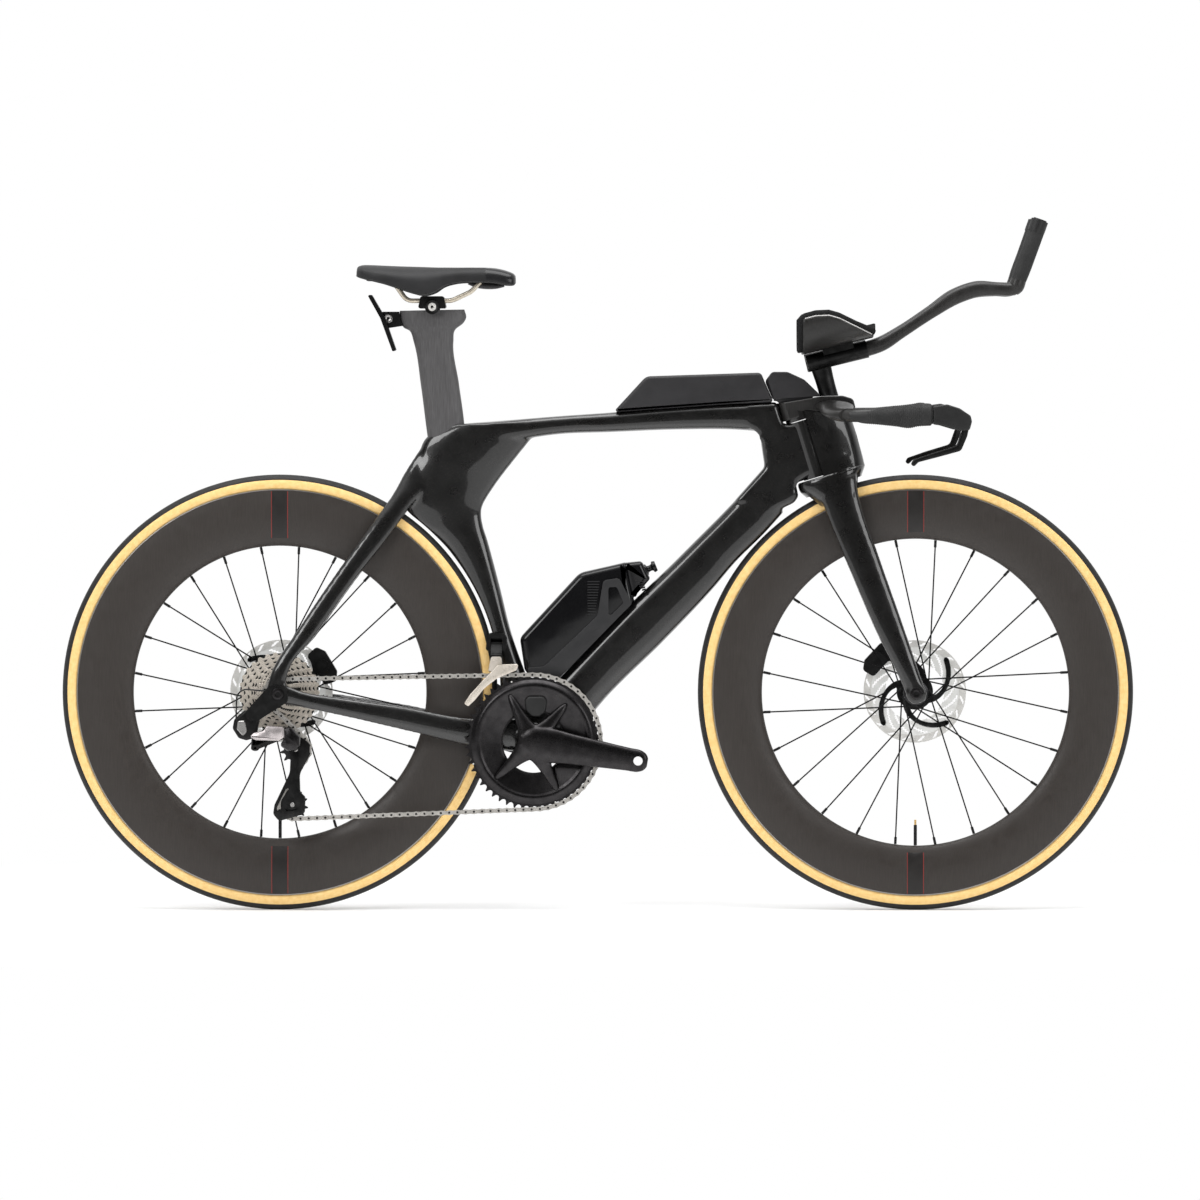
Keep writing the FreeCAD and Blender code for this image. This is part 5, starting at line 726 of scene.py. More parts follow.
def rotor_cells(inner, outer):
    """A ring of cells between two radii: their edges, and each cell's angle and middle radius."""
    radii = np.linspace(inner, outer, 12)
    angle = np.linspace(0, FULL_TURN, 480, endpoint=False)[:, None]
    return radii, angle, (radii[:-1] + radii[1:])[None] / 2


def first_share(angle, count, share):
    """Where an angle lies in the first share of one of so many equal parts of the turn."""
    return np.mod(angle * count / FULL_TURN, 1.0) < share


def rotor_band(spot):
    """Braking band with slanted slots all round."""
    radii, angle, mid = rotor_cells(BAND_INNER, ROTOR_RADIUS)
    slot = first_share(angle + (mid - ROTOR_RADIUS) * SLOT_LEAN, SLOTS, SLOT_SHARE)
    inside = (mid > SLOT_INNER) & (mid < SLOT_OUTER)
    return polar_plate(~(slot & inside), radii, -BAND_HALF, BAND_HALF, spot)


def rotor_fins(spot):
    """Cooling fins inside the band: swept blades with gaps between."""
    radii, angle, mid = rotor_cells(FIN_INNER, BAND_INNER)
    lean = angle - (mid - FIN_INNER) * FIN_LEAN
    solid = ~first_share(lean, FINS, FIN_GAP) | (mid > FIN_RING)
    return polar_plate(solid & ~first_share(lean, ARMS, ARM_SHARE), radii, -FIN_HALF, FIN_HALF, spot)


def rotor_arms(spot):
    """Black carrier: a splined centre ring and four swept arms with a rivet at each tip."""
    shapes = [turned(CARRIER_RING, spot, 64)]
    for number in range(ARMS):
        reach = np.linspace(ARM_START, BAND_INNER + 1, 9)
        angle = number * FULL_TURN / ARMS + (reach - FIN_INNER) * FIN_LEAN + ARM_TURN
        path = np.column_stack([reach * np.cos(angle), 0 * reach, reach * np.sin(angle)]) + spot
        width = np.interp(reach, *np.array(ARM_WIDTH).T)
        shapes.append(tube(path, width, 12, 24))
        shapes.append(rod(path[-1] - ARM_HALF * ACROSS, path[-1] + ARM_HALF * ACROSS, RIVET_RADIUS))
    arms = total(shapes)
    arms.points[:, 1] = np.clip(arms.points[:, 1], spot[1] - ARM_HALF, spot[1] + ARM_HALF)
    return arms


def make_rotor(end, centre):
    """One brake rotor of three pieces."""
    node = end + "_rotor"
    body = end + "_wheel"
    spot = centre + plane_of(node) * ACROSS
    make_piece(node + "_band", rotor_band(spot), ROTOR_STEEL, body, [node])
    make_piece(node + "_fins", rotor_fins(spot), ROTOR_FIN, body)
    make_piece(node + "_arms", rotor_arms(spot), SATIN_BLACK, body)


make_rotor("front", FRONT)
make_rotor("rear", REAR)


# Frame
# Tube stations from the side: (front x, front z, rear x, rear z, y, half width)
TOP_TUBE = [
    (-206, 758, -196, 716, 0, 17),
    (-150, 762, -140, 728, 0, 17.5),
    (-58, 769.4, -58, 741, 0, 18),
    (17, 774.6, 20, 744, 0, 18.5),
    (121, 783.6, 124, 748, 0, 19),
    (205, 788.4, 212, 748, 0, 19.8),
    (262, 790.4, 266, 744, 0, 20.4),
]
# Head: the corner between top tube and down tube, in front up to the steering axis and clear of the crown, as
# (x, z, radius)
HEAD_BOX = [
    (232, 788, 1),
    (275.5, 791, 2),
    (280.6, 788, 2),
    (289.4, 756.6, 2),
    (316, 759.5, 1),
    (341, 680, 1),
    (322, 669.4, 2),
    (308.4, 665, 2),
    (313, 644, 6),
    (306, 634, 10),
    (282.6, 623, 20),
    (254, 604, 1),
    (214, 638.4, 1),
    (259.8, 690, 7),
    (251, 749, 16),
    (232, 749, 1),
]
DOWN_TUBE = [
    (290, 620, 218, 642, 0, 20),
    (262, 589, 190, 613, 0, 20.5),
    (214, 541, 150, 573, 0, 21),
    (182, 503, 117, 540, 0, 21.5),
    (104, 420, 42, 468, 0, 22.5),
    (13, 330, -45, 376, 0, 24),
    (-44, 262, -100, 318, 0, 26),
    (-74, 232, -132, 280, 0, 27),
]
SEAT_TUBE = [
    (-84, 763, -236, 756, 0, 17.5),
    (-98, 741, -266, 737, 0, 18),
    (-128, 703, -281, 705, 0, 17.5),
    (-160, 661, -299, 673, 0, 16.5),
    (-180, 627, -305, 640, 0, 16.5),
    (-179, 601, -284, 604, 0, 15.5),
    (-172, 578, -249, 578, 0, 15.5),
    (-152, 503, -194, 498, 0, 16),
    (-133, 428, -166, 425, 0, 18),
    (-112, 368, -155, 372, 0, 21),
    (-84, 300, -150, 310, 0, 25),
    (-70, 245, -134, 262, 0, 26),
]
SEAT_STAY = [
    (-232, 704, -278, 716, -2, 6.0),
    (-252, 668, -299, 684, -6, 7.4),
    (-284, 637, -318, 649, -16, 8.0),
    (-316, 592, -344, 612, -28, 7.6),
    (-382, 507, -407, 524, -46, 7.2),
    (-438, 428, -463, 441, -63, 6.8),
    (-478, 374, -506, 372, -76, 6.4),
    (-484, 346, -514, 346, -77, 6.0),
]
CHAIN_STAY = [
    (-118, 300, -104, 244, -27, 8.0),
    (-198, 300, -190, 255, -29, 8.0),
    (-303, 319, -292, 279, -45, 7.6),
    (-398, 333, -388, 302, -63, 7.0),
    (-455, 342, -452, 316, -74, 6.4),
    (-486, 352, -484, 322, -77, 6.0),
    (-508, 352, -506, 324, -77, 5.6),
]


HEAD_HALF = 20.0
HEAD_BEVEL = 8.0
DROPOUT_PLANE = 77.0
# Sections about an axis: (radius, y)
DROPOUT = [(17, -5.4), (18, -4), (18, 4), (17, 5.4), (2, 5.4), (2, -5.4)]
CRANK_SHELL = [(2, -43), (24, -43), (26, -41), (27, -20), (27, 20), (26, 41), (24, 43), (2, 43)]
# Room for the rear wheel: (radius, half width) that each tube leaves, and the melted skin after them
TUBE_ROOM = (TYRE_RADIUS + 4.5, 40.0)
SKIN_ROOM = (TYRE_RADIUS + 4.0, 18.0)
FRAME_VOXEL = 2.6
FRAME_ROUNDS = 9
SLEEVE_RADIUS = 22.0
SEAM_HALF = 0.4


def kept_out(shape, centre, radius, half):
    """The shape with its points pushed out of a wheel's room: a drum about an axle, so wide to each side."""
    points = shape.points.copy()
    way = points - centre
    reach = np.hypot(way[:, 0], way[:, 2])
    inside = (reach < radius) & (np.abs(way[:, 1]) < half)
    lift = np.where(inside, radius / np.maximum(reach, 1.0), 1.0)
    points[:, 0] = centre[0] + way[:, 0] * lift
    points[:, 2] = centre[2] + way[:, 2] * lift
    return Shape(points, shape.faces)


# Room about the steering axis for the turning stem and its cover, and where it starts above the head
STEM_ROOM = 28.9
STEM_ROOM_FOOT = 4.2
COVER_ROOM = 36.6


def clear_of_steering(shape, room):
    """The shape with each point above the head tube that is nearer to the steering axis than the room moved
    back."""
    way = shape.points - STEM_FOOT
    out = way @ HEAD_OUT
    limit = -np.sqrt(np.maximum(room**2 - way[:, 1] ** 2, 0))
    inside = (out > limit) & (way @ HEAD_UP > STEM_ROOM_FOOT)
    back = np.where(inside, limit - out, 0)
    return Shape(shape.points + back[:, None] * HEAD_OUT, shape.faces)


def head_drum(radius, foot, top):
    """A round drum about the steering axis between two heights."""
    along, over = round_ring(48)
    return skin(np.stack([at_head(radius * along, np.full(48, up), radius * over) for up in (foot, top)]))


def make_frame():
    """Frame skin: tubes, shell and dropouts melted into one, hollowed for the rear wheel and the stem."""
    tubes = [blade(TOP_TUBE, 60, 40, 3.2), slab(HEAD_BOX, -HEAD_HALF, HEAD_HALF, HEAD_BEVEL, 4)]
    tubes += [blade(DOWN_TUBE, 80, 44, 3.2), blade(SEAT_TUBE, 80, 44)]
    parts = [kept_out(shape, REAR, *TUBE_ROOM) for shape in tubes]
    parts += [pair(blade(SEAT_STAY, 60, 24)), pair(blade(CHAIN_STAY, 60, 24))]
    parts += [turned(DROPOUT, REAR + side * DROPOUT_PLANE * ACROSS, 40) for side in (-1, 1)]
    parts.append(turned(CRANK_SHELL, CRANK, 48))
    skin_shape = kept_out(melted(total(parts), FRAME_VOXEL, FRAME_ROUNDS), REAR, *SKIN_ROOM)
    skin_shape = clear_of_steering(skin_shape, STEM_ROOM)
    make_piece("frame_skin", skin_shape, PAINT, "frame", ["frame"], 60)
    sleeve = head_drum(SLEEVE_RADIUS, HEAD_TOP - SEAM_HALF, CROWN_TOP + SEAM_HALF)
    make_piece("head_sleeve", sleeve, PAINT, "frame")


make_frame()


# Fork
# Crown rings: (down from the seam, rear, front, half width)
CROWN = [
    (0.6, -33, 77, 33.5),
    (6, -33.5, 75, 34.5),
    (14, -33, 69, 35),
    (24, -27, 63, 36.5),
    (34, -20, 58, 37.5),
    (46, -12, 54, 37),
]
# Leg stations: (up the steering axis, out from it, across, half depth, half width)
FORK_LEG = [
    (352, 25, 25.5, 34, 9.5),
    (330, 24.5, 28.5, 30, 9.8),
    (300, 24.5, 31.5, 28.2, 9.6),
    (217, 30.2, 41.5, 25.2, 9.0),
    (90, 40.0, 52.5, 20.4, 8.0),
    (30, 46.0, 55.6, 16.0, 7.4),
    (0, 48.0, 56.0, 14.6, 7.0),
    (-15, 48.2, 56.0, 11.0, 6.4),
]


def fork_leg():
    """One leg: ellipses square to the steering axis, so far up it, out from it and across."""
    rows = smooth_line(FORK_LEG, 70)
    along, over = round_ring(32, 2.2)
    out = rows[:, 1][:, None] + rows[:, 3][:, None] * along
    up = rows[:, 0][:, None] + 0 * out
    across = rows[:, 2][:, None] + rows[:, 4][:, None] * over
    return skin(at_head(out, up, across))


def crown_shape():
    """Crown: rings from the seam under the head tube down to the legs, each (down, rear, front, half
    width)."""
    rows = smooth_line(CROWN, 24)
    along, over = round_ring(48, 2.3)
    out = (rows[:, 1] + rows[:, 2])[:, None] / 2 + (rows[:, 2] - rows[:, 1])[:, None] / 2 * along
    up = CROWN_TOP - rows[:, 0][:, None] + 0 * out
    across = rows[:, 3][:, None] * over
    return skin(at_head(out, up, across))


# Foot of the stem cover, down to the stem
COVER_FOOT = [(274, 792.6, 1), (279, 792, 1), (284, 788, 1), (335, 795, 1), (335, 806, 1), (274, 800, 1)]
COVER_FOOT_HALF = 14.0
NOSE_REAR = 9.0
NOSE_FOOT = CROWN_TOP - 4.0
NOSE_HOLLOW = 23.2
NOSE_LENGTH = 66.0
NOSE_POWER = 2.3
# Nose sections: (up the steering axis, reach, half width)
NOSE_FRONT = [(365, 76, 31), (372, 76.6, 29.5), (384, 77, 27.5), (409, 77.6, 26.4)]
NOSE_FRONT += [(435, 77, 26), (470, 70, 25.4)]
# Seam between nose and bar: its height so far out from the steering axis, and its fall from there
BAR_SEAM_TOP = 469.0
BAR_SEAM_OUT = 12.0
BAR_SEAM_FALL = 27 / 61
# Eye of a leg: (radius, y)
FORK_EYE = [(15, 50.5), (16, 51.5), (16, 61.5), (15, 62.5), (2, 62.5), (2, 50.5)]
FORK_ROOM = (TYRE_RADIUS + 8.0, 19.0)
FORK_VOXEL = 2.2
FORK_ROUNDS = 8
COLLAR_RADIUS = 22.4
COLLAR_FOOT = HEAD_TOP + 0.6
COLLAR_TOP = HEAD_TOP + 20.0


def bar_seam(out):
    """Height of the slanted seam under the bar, so far out from the steering axis."""
    return BAR_SEAM_TOP - (out - BAR_SEAM_OUT) * BAR_SEAM_FALL


def nose_shape():
    """Nose in front of the head tube: half rings with a round hollow behind, up to the slanted seam under
    the bar."""
    turn = np.linspace(-1, 1, 41)
    share = np.linspace(0, 1, 36)[:, None]
    table = np.array(NOSE_FRONT, float)
    out_angle = turn * math.pi / 2
    top = bar_seam(np.cos(out_angle) * NOSE_LENGTH + NOSE_REAR)
    up = NOSE_FOOT + share * (top - NOSE_FOOT)[None]
    reach = np.interp(up, table[:, 0], table[:, 1])
    half = np.interp(up, table[:, 0], table[:, 2])
    lift = 2 / NOSE_POWER
    out = NOSE_REAR + (reach - NOSE_REAR) * np.cos(out_angle)[None] ** lift
    across = half * (np.sign(turn) * np.abs(np.sin(out_angle)) ** lift)[None]
    edge = math.acos(NOSE_REAR / NOSE_HOLLOW)
    hollow_angle = edge * turn[::-1]
    hollow_out = NOSE_HOLLOW * np.cos(hollow_angle)[None] + 0 * up
    hollow_across = NOSE_HOLLOW * np.sin(hollow_angle)[None] + 0 * up
    hollow_up = NOSE_FOOT + share * (bar_seam(hollow_out[:1]) - NOSE_FOOT)
    outer = at_head(out, up, across)
    inner = at_head(hollow_out, hollow_up, hollow_across)
    ring = np.concatenate([outer, inner], 1)
    body = skin(ring, caps=False)
    count = ring.shape[1]
    half_count = outer.shape[1]
    caps = []
    for base in (0, (ring.shape[0] - 1) * count):
        for number in range(half_count - 1):
            mate = count - 1 - number
            caps.append([base + number, base + number + 1, base + mate - 1, base + mate])
    body.faces += caps
    return body


def make_fork():
    """Fork skin: crown, legs and their eyes melted into one, with the nose and collar above the crown's
    seam."""
    parts = total([pair(fork_leg()), pair(turned(FORK_EYE, FRONT, 40)), crown_shape()])
    skin_shape = kept_out(melted(parts, FORK_VOXEL, FORK_ROUNDS), FRONT, *FORK_ROOM)
    make_piece("fork_skin", skin_shape, PAINT, "fork", ["fork"], 60)
    make_piece("fork_nose", nose_shape(), PAINT, "fork")
    collar_shape = head_drum(COLLAR_RADIUS, COLLAR_FOOT, COLLAR_TOP)
    make_piece("steerer_collar", collar_shape, PAINT, "fork")
    foot = slab(COVER_FOOT, -COVER_FOOT_HALF, COVER_FOOT_HALF, 0.8, 2)
    make_piece("cover_foot", foot, MATTE_GREY, "fork")


make_fork()


# Drivetrain
CHAIN_PITCH = 12.7
CHAIN_LEAD = 40.0
LEAD_MOST = 0.4
RING_TEETH = 52
COG_TEETH = 11
PLATE_RADIUS = 4.0
PLATE_WAIST = 2.9
ROLLER_RADIUS = 3.7
INNER_PLATE = (1.2, 1.95)
OUTER_PLATE = (2.0, 2.75)
PIN_HALF = 3.1
PIN_RADIUS = 1.8
ROLLER_GAP = 0.05
LOOP_STEPS = 240
PLATE_STEPS = 6


def chain_wheels():
    """The four sprockets of the chain line in travelling order: middle, teeth, sense of turning and plane."""
    far = plane_of("guide_pulley")
    return [
        (CRANK, RING_TEETH, 1, plane_of("chainring_large")),
        (middle("tension_pulley"), COG_TEETH, 1, far),
        (middle("guide_pulley"), COG_TEETH, -1, far),
        (REAR, COG_TEETH, 1, far),
    ]


def chain_loop(pitch):
    """The chain's line: an arc round each sprocket and a straight run to the next, as close points in
    order."""
    wheels = chain_wheels()
    runs = []
    for number, (spot, teeth, sense, plane) in enumerate(wheels):
        next_spot, next_teeth, next_sense, next_plane = wheels[(number + 1) % len(wheels)]
        arm = sense * teeth * pitch / FULL_TURN
        next_arm = next_sense * next_teeth * pitch / FULL_TURN
        way = next_spot - spot
        heading = math.atan2(way[2], way[0]) - math.asin((arm - next_arm) / math.hypot(way[0], way[2]))
        normal = np.array([-math.sin(heading), 0.0, math.cos(heading)])
        start = spot + arm * normal + plane * ACROSS
        runs.append((start, next_spot + next_arm * normal + next_plane * ACROSS))
    line = []
    for number, (spot, teeth, sense, plane) in enumerate(wheels):
        arrive = runs[number - 1][1] - spot
        leave = runs[number][0] - spot
        start = math.atan2(arrive[2], arrive[0])
        swept = (start - math.atan2(leave[2], leave[0])) * sense % FULL_TURN
        angle = start - sense * np.linspace(0, swept, LOOP_STEPS)
        radius = teeth * pitch / FULL_TURN
        arc = np.stack([radius * np.cos(angle), plane + 0 * angle, radius * np.sin(angle)], -1) + spot
        share = np.linspace(0, 1, LOOP_STEPS)[1:-1, None]
        run = runs[number][0] * (1 - share) + runs[number][1] * share
        length = np.linalg.norm(runs[number][1] - runs[number][0])
        lead = min(CHAIN_LEAD / length, LEAD_MOST)
        crossing = ramp(share[:, 0], lead, 1 - lead)
        run[:, 1] = plane + crossing * (runs[number][1][1] - plane)
        line += [arc, run]
    return np.vstack(line)


def chain_stations():
    """Roller places: the loop divided into a whole even number of links."""
    pitch = CHAIN_PITCH
    for turn in range(6):
        line = chain_loop(pitch)
        steps = np.linalg.norm(np.diff(np.vstack([line, line[:1]])[:, ::2], axis=0), axis=1)
        run = np.concatenate([[0.0], np.cumsum(steps)])
        links = 2 * round(run[-1] / CHAIN_PITCH / 2)
        pitch = run[-1] / links
    spot = np.arange(links) * pitch
    closed = np.vstack([line, line[:1]])
    return np.stack([np.interp(spot, run, closed[:, axis]) for axis in range(3)], -1)


def prisms(near, far):
    """Straight prisms, one for each outline, between its points on one side and those on the other."""
    items, count = near.shape[:2]
    base = (np.arange(items) * 2 * count)[:, None]
    ring = np.arange(count)
    following = (ring + 1) % count
    walls = np.stack([ring, following, following + count, ring + count], -1)
    faces = (base[:, :, None] + walls[None]).reshape(-1, 4).tolist()
    faces += (base + ring[None]).tolist() + (base + count + ring[None]).tolist()
    return Shape(np.stack([near, far], 1), faces)


def link_plates(start, end, low, high):
    """Both plates of every link: two round ends and a waist, carried between two distances from the middle
    plane."""
    angle = np.radians(np.linspace(-75, 75, PLATE_STEPS))
    half = np.linalg.norm(end - start, axis=1)[:, None] / 2
    right = np.stack([PLATE_RADIUS * np.cos(angle), PLATE_RADIUS * np.sin(angle)], -1)
    outline = np.vstack([right, [[0, PLATE_WAIST]], -right, [[0, -PLATE_WAIST]]])
    shift = np.concatenate([np.ones(PLATE_STEPS), [0], -np.ones(PLATE_STEPS), [0]])
    along = outline[None, :, 0] + half * shift[None]
    way = unit(end - start)[:, None]
    normal = np.cross(way, ACROSS)
    flat = ((start + end) / 2)[:, None] + along[..., None] * way + outline[None, :, 1, None] * normal
    return total(prisms(flat + side * low * ACROSS, flat + side * high * ACROSS) for side in (-1, 1))


def drums(spots, radius, half, ring=10):
    """Short round drums across the bike, one at each spot."""
    along, over = round_ring(ring)
    outline = spots[:, None] + radius * np.stack([along, 0 * along, over], -1)[None]
    return prisms(outline - half * ACROSS, outline + half * ACROSS)


def make_chain():
    """Chain of inner and outer links in turn, with a roller and a pin at each station; these are dark as
    painted shade between the plates.
    """
    spots = chain_stations()
    following = np.roll(spots, -1, axis=0)
    plates = link_plates(spots[0::2], following[0::2], *INNER_PLATE)
    plates += link_plates(spots[1::2], following[1::2], *OUTER_PLATE)
    make_piece("chain_plates", plates, CHAIN_STEEL, "frame", ["chain"])
    # Real rollers and pins, dark gunmetal as painted shade between the plates
    rollers = drums(spots, ROLLER_RADIUS, INNER_PLATE[0] - ROLLER_GAP) + drums(spots, PIN_RADIUS, PIN_HALF, 8)
    make_piece("chain_rollers", rollers, GUNMETAL, "frame")


make_chain()


# Crank
CRANK_LENGTH = 165.0
CRANK_DROP = math.radians(10.0)
PEDAL_HOLE = 7.2
PEDAL_BORE = (40, 90)
# Arm sections: (from the crank axis, half height, across, half thickness)
CRANK_ARM = [
    (-24, 10, 62, 5),
    (-10, 22, 62.5, 9),
    (20, 27, 63.5, 9.5),
    (60, 24, 65, 8.5),
    (110, 20.5, 66, 7.4),
    (150, 18, 66, 7),
    (168, 17, 66, 6.8),
    (176, 13, 66, 6),
    (180, 7, 66, 4),
]
# Spider arms: (angle, reach)
SPIDER = [(117, 82), (49, 78), (224, 82), (296, 84)]
SPIDER_STEPS = [(6, 25, 63, 8), (28, 14, 60, 7.5), (52, 8.5, 57, 5.5), (74, 5, 53.5, 3.4), (82, 2.5, 52, 2.0)]
SPIDER_REACH = 82
# Sections about the crank axis: (radius, y)
CRANK_BOSS = [(3, 50), (17, 50), (21, 54), (21, 66), (3, 66)]
CRANK_CAP = [(2, 72.2), (2, 74.4), (8, 74.4), (10, 73.4), (10, 72.2)]
CRANK_VOXEL = 1.4
CRANK_ROUNDS = 4
SPINDLE_RADIUS = 12.0
SPINDLE_ENDS = (-52.0, 70.0)
# Pins of the large ring: their circle, plane, radius, half length and angles
PIN_CIRCLE = 99.5
PIN_PLANE = -47.6
RING_PIN = (1.3, 0.6)
PIN_ANGLES = (20, 110, 200, 290)
RING_COVER = [
    (50, -47.6),
    (50, -49.0),
    (52, -50.2),
    (80, -50.6),
    (83, -52.4),
    (85, -53.4),
    (90, -53.4),
    (93, -51.6),
    (97, -48.6),
    (97, -47.6),
]


def limb(angle, steps, side):
    """A limb from the crank axis along an angle: squared rings at each (reach, half height, across, half
    thickness)."""
    way = np.array([math.cos(angle), math.sin(angle)])
    level = np.array([-way[1], way[0]])
    stations = []
    for reach, half, across, thick in steps:
        spot = CRANK[[0, 2]] + reach * way
        stations.append((*(spot + half * level), *(spot - half * level), side * across, thick))
    return blade(stations, 48, 32, 2.6)


def round_crank(reach, angle, plane):
    """A point so far from the crank axis at an angle, and so far across."""
    return CRANK + reach * np.array([math.cos(angle), 0.0, math.sin(angle)]) + plane * ACROSS


def make_crank():
    """Both crank arms, the spider that grows out of the right one, and the cover of the large ring."""
    for name, side, turn in (("right", -1, -CRANK_DROP), ("left", 1, math.pi - CRANK_DROP)):
        parts = [limb(turn, CRANK_ARM, side)]
        boss = turned(CRANK_BOSS, CRANK, 40)
        if side < 0:
            boss = boss.mirrored()
            for angle, reach in SPIDER:
                steps = [(step * reach / SPIDER_REACH, *rest) for step, *rest in SPIDER_STEPS]
                parts.append(limb(math.radians(angle), steps, side))
        solid = melted(total(parts + [boss]), CRANK_VOXEL, CRANK_ROUNDS)
        pedal = [round_crank(CRANK_LENGTH, turn, side * plane) for plane in PEDAL_BORE]
        arm = cut_from(solid, rod(*pedal, PEDAL_HOLE, 32, 0.01))
        make_piece("crank_" + name, arm, GUNMETAL, "crank", ["crank_arm_" + name])
    make_piece("ring_cover", turned(RING_COVER, CRANK, 120), GUNMETAL, "crank")
    spots = [round_crank(PIN_CIRCLE, math.radians(angle), PIN_PLANE) for angle in PIN_ANGLES]
    make_piece("ring_pins", drums(np.array(spots), *RING_PIN, 16), ROTOR_STEEL, "crank")
    spindle = rod(*[CRANK + end * ACROSS for end in SPINDLE_ENDS], SPINDLE_RADIUS, 32)
    make_piece("crank_spindle", spindle, PLAIN_STEEL, "crank")
    make_piece("crank_caps", turned(CRANK_CAP, CRANK, 32), SATIN_BLACK, "crank")


make_crank()


# Saddle
SADDLE_FLOOR = 983.4
SADDLE_SKIRT = 0.07
# Powers of the arch's cosine and sine: less than 1 makes it squarer
ARCH_RISE = 0.6
ARCH_WIDTH = 0.8
# Channel along the middle: its depth and half width, and where it starts and ends, as (edge, full depth)
SADDLE_CHANNEL = 3.0
CHANNEL_HALF = 8.0
CHANNEL_REAR = (-348.0, -318.0)
CHANNEL_FRONT = (-160.0, -200.0)
# Inside, from one skirt to the other: (share of the half width, share of the way up to the ceiling)
SADDLE_INSIDE = [(0.88, 0), (0.80, 0.5), (0.74, 1), (0.35, 1)]
SADDLE_INSIDE += [(-share, lift) for share, lift in reversed(SADDLE_INSIDE)]
# Sections from tail to nose: (x, half width, skirt's lower edge, top)
SADDLE = [
    (-374.5, 32, 987, 996),
    (-372.5, 45, 984.8, 1001.5),
    (-366, 54, 982.5, 1003.8),
    (-352, 62, 979, 1004),
    (-334, 66.5, 974.5, 1003.4),
    (-312, 66.5, 967.5, 1002.6),
    (-290, 61, 960, 1002),
    (-268, 53, 956, 1001.5),
    (-252, 46, 960.5, 1001),
    (-238, 40, 969.5, 1001),
    (-220, 34, 974.5, 1001),
    (-190, 28.5, 976, 1001.2),
    (-160, 26, 975, 999.5),
    (-142, 24, 972, 995.5),
    (-131, 19, 972.5, 991),
    (-127.5, 11, 976, 987),
]


def saddle_grid():
    """Sections from tail to nose. The outside is a squared arch from one skirt over the top to the other,
    drawn in at its foot, with a shallow channel along the middle; the inside follows the skirts up to a
    flat ceiling."""
    x, half, low, top = [column[:, None] for column in smooth_line(SADDLE, 96).T]
    angle = np.linspace(-math.pi / 2, math.pi / 2, 49)
    rise = np.abs(np.cos(angle)) ** ARCH_RISE
    wide = np.sign(angle) * np.abs(np.sin(angle)) ** ARCH_WIDTH
    across = half * wide * (1 - SADDLE_SKIRT * (1 - rise) ** 2)
    channel = SADDLE_CHANNEL * ramp(x, *CHANNEL_REAR) * ramp(x, *CHANNEL_FRONT)
    height = low + (top - low) * rise - channel * np.exp(-((across / CHANNEL_HALF) ** 2))
    inset, lift = np.array(SADDLE_INSIDE).T
    ceiling = np.maximum(low + 2, SADDLE_FLOOR)
    inner_height = low + 1 + (ceiling - low - 1) * lift
    across = np.concatenate([across, half * inset], 1)
    height = np.concatenate([height, inner_height], 1)
    return np.stack([x + 0 * across, across, height], -1)


# Where the glossy patch of the nose starts, in metres
NOSE_PATCH = (-0.176, -0.171)
SEAM_RADIUS = 1.1
SEAM_LIFT = 1.6
# Keel under the nose: (front x, front z, rear x, rear z, y, half width)
SADDLE_KEEL = [
    (-200, 977, -202, 974, 0, 16),
    (-186, 977, -190, 969, 0, 14),
    (-160, 976, -158, 967, 0, 10),
    (-146, 975, -145, 970, 0, 7),
]
# Bolts: sections (radius, y) from their seats
CLAMP_SPOT = np.array([-257.0, 0.0, 939.0])
CLAMP_BOLT = [(2.2, -1.0), (2.2, 1.6), (3.2, 2.6), (5.6, 2.6), (6.4, 1.8), (6.4, -1.0)]
CLAMP_WASHER = [(7.4, -1.0), (7.4, 1.2), (8.6, 2.0), (10.6, 2.0), (11.6, 1.0), (11.6, -1.0)]


def saddle_hide():
    """Microfibre cover: a fine pebble, with a smooth glossy patch round the nose."""
    finish = Finish("saddle_microfibre", (0.011, 0.011, 0.0115), 0.55, Specular_IOR_Level=0.3)
    finish.tint(finish.noise(30.0), (0.017, 0.017, 0.018))
    along = finish.node("SeparateXYZ", Vector=finish.place).outputs["X"]
    patch = finish.spread(along, 0.55, 0.14, *NOSE_PATCH)
    finish.links.new(patch, finish.shader.inputs["Roughness"])
    return finish.bump(finish.noise(1500.0, 2.0), 0.05).material


def make_saddle():
    """Padded cover, the seam round its skirt, the keel under its nose and the bolts of its clamp."""
    grid = saddle_grid()
    hide = saddle_hide()
    cover = make_piece("saddle_padding", skin(grid), hide, "frame", ["saddle_cover"], 50)
    seam = grid[3:-3, 0] + SEAM_LIFT * UPWARDS
    seams = pair(tube(seam, SEAM_RADIUS, 8, 160))
    make_piece("saddle_seam", seams, BLACK_NYLON, "frame")
    make_piece("saddle_keel", blade(SADDLE_KEEL, 24, 24, 3.0), MATTE_GREY, "frame")
    low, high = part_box("saddle_clamp")
    seat = CLAMP_SPOT - low.y / MM * ACROSS
    make_piece("clamp_bolts", pair(turned(CLAMP_BOLT, seat, 32)), ROTOR_STEEL, "frame")
    make_piece("clamp_washers", pair(turned(CLAMP_WASHER, seat, 40)), SATIN_BLACK, "frame")


make_saddle()


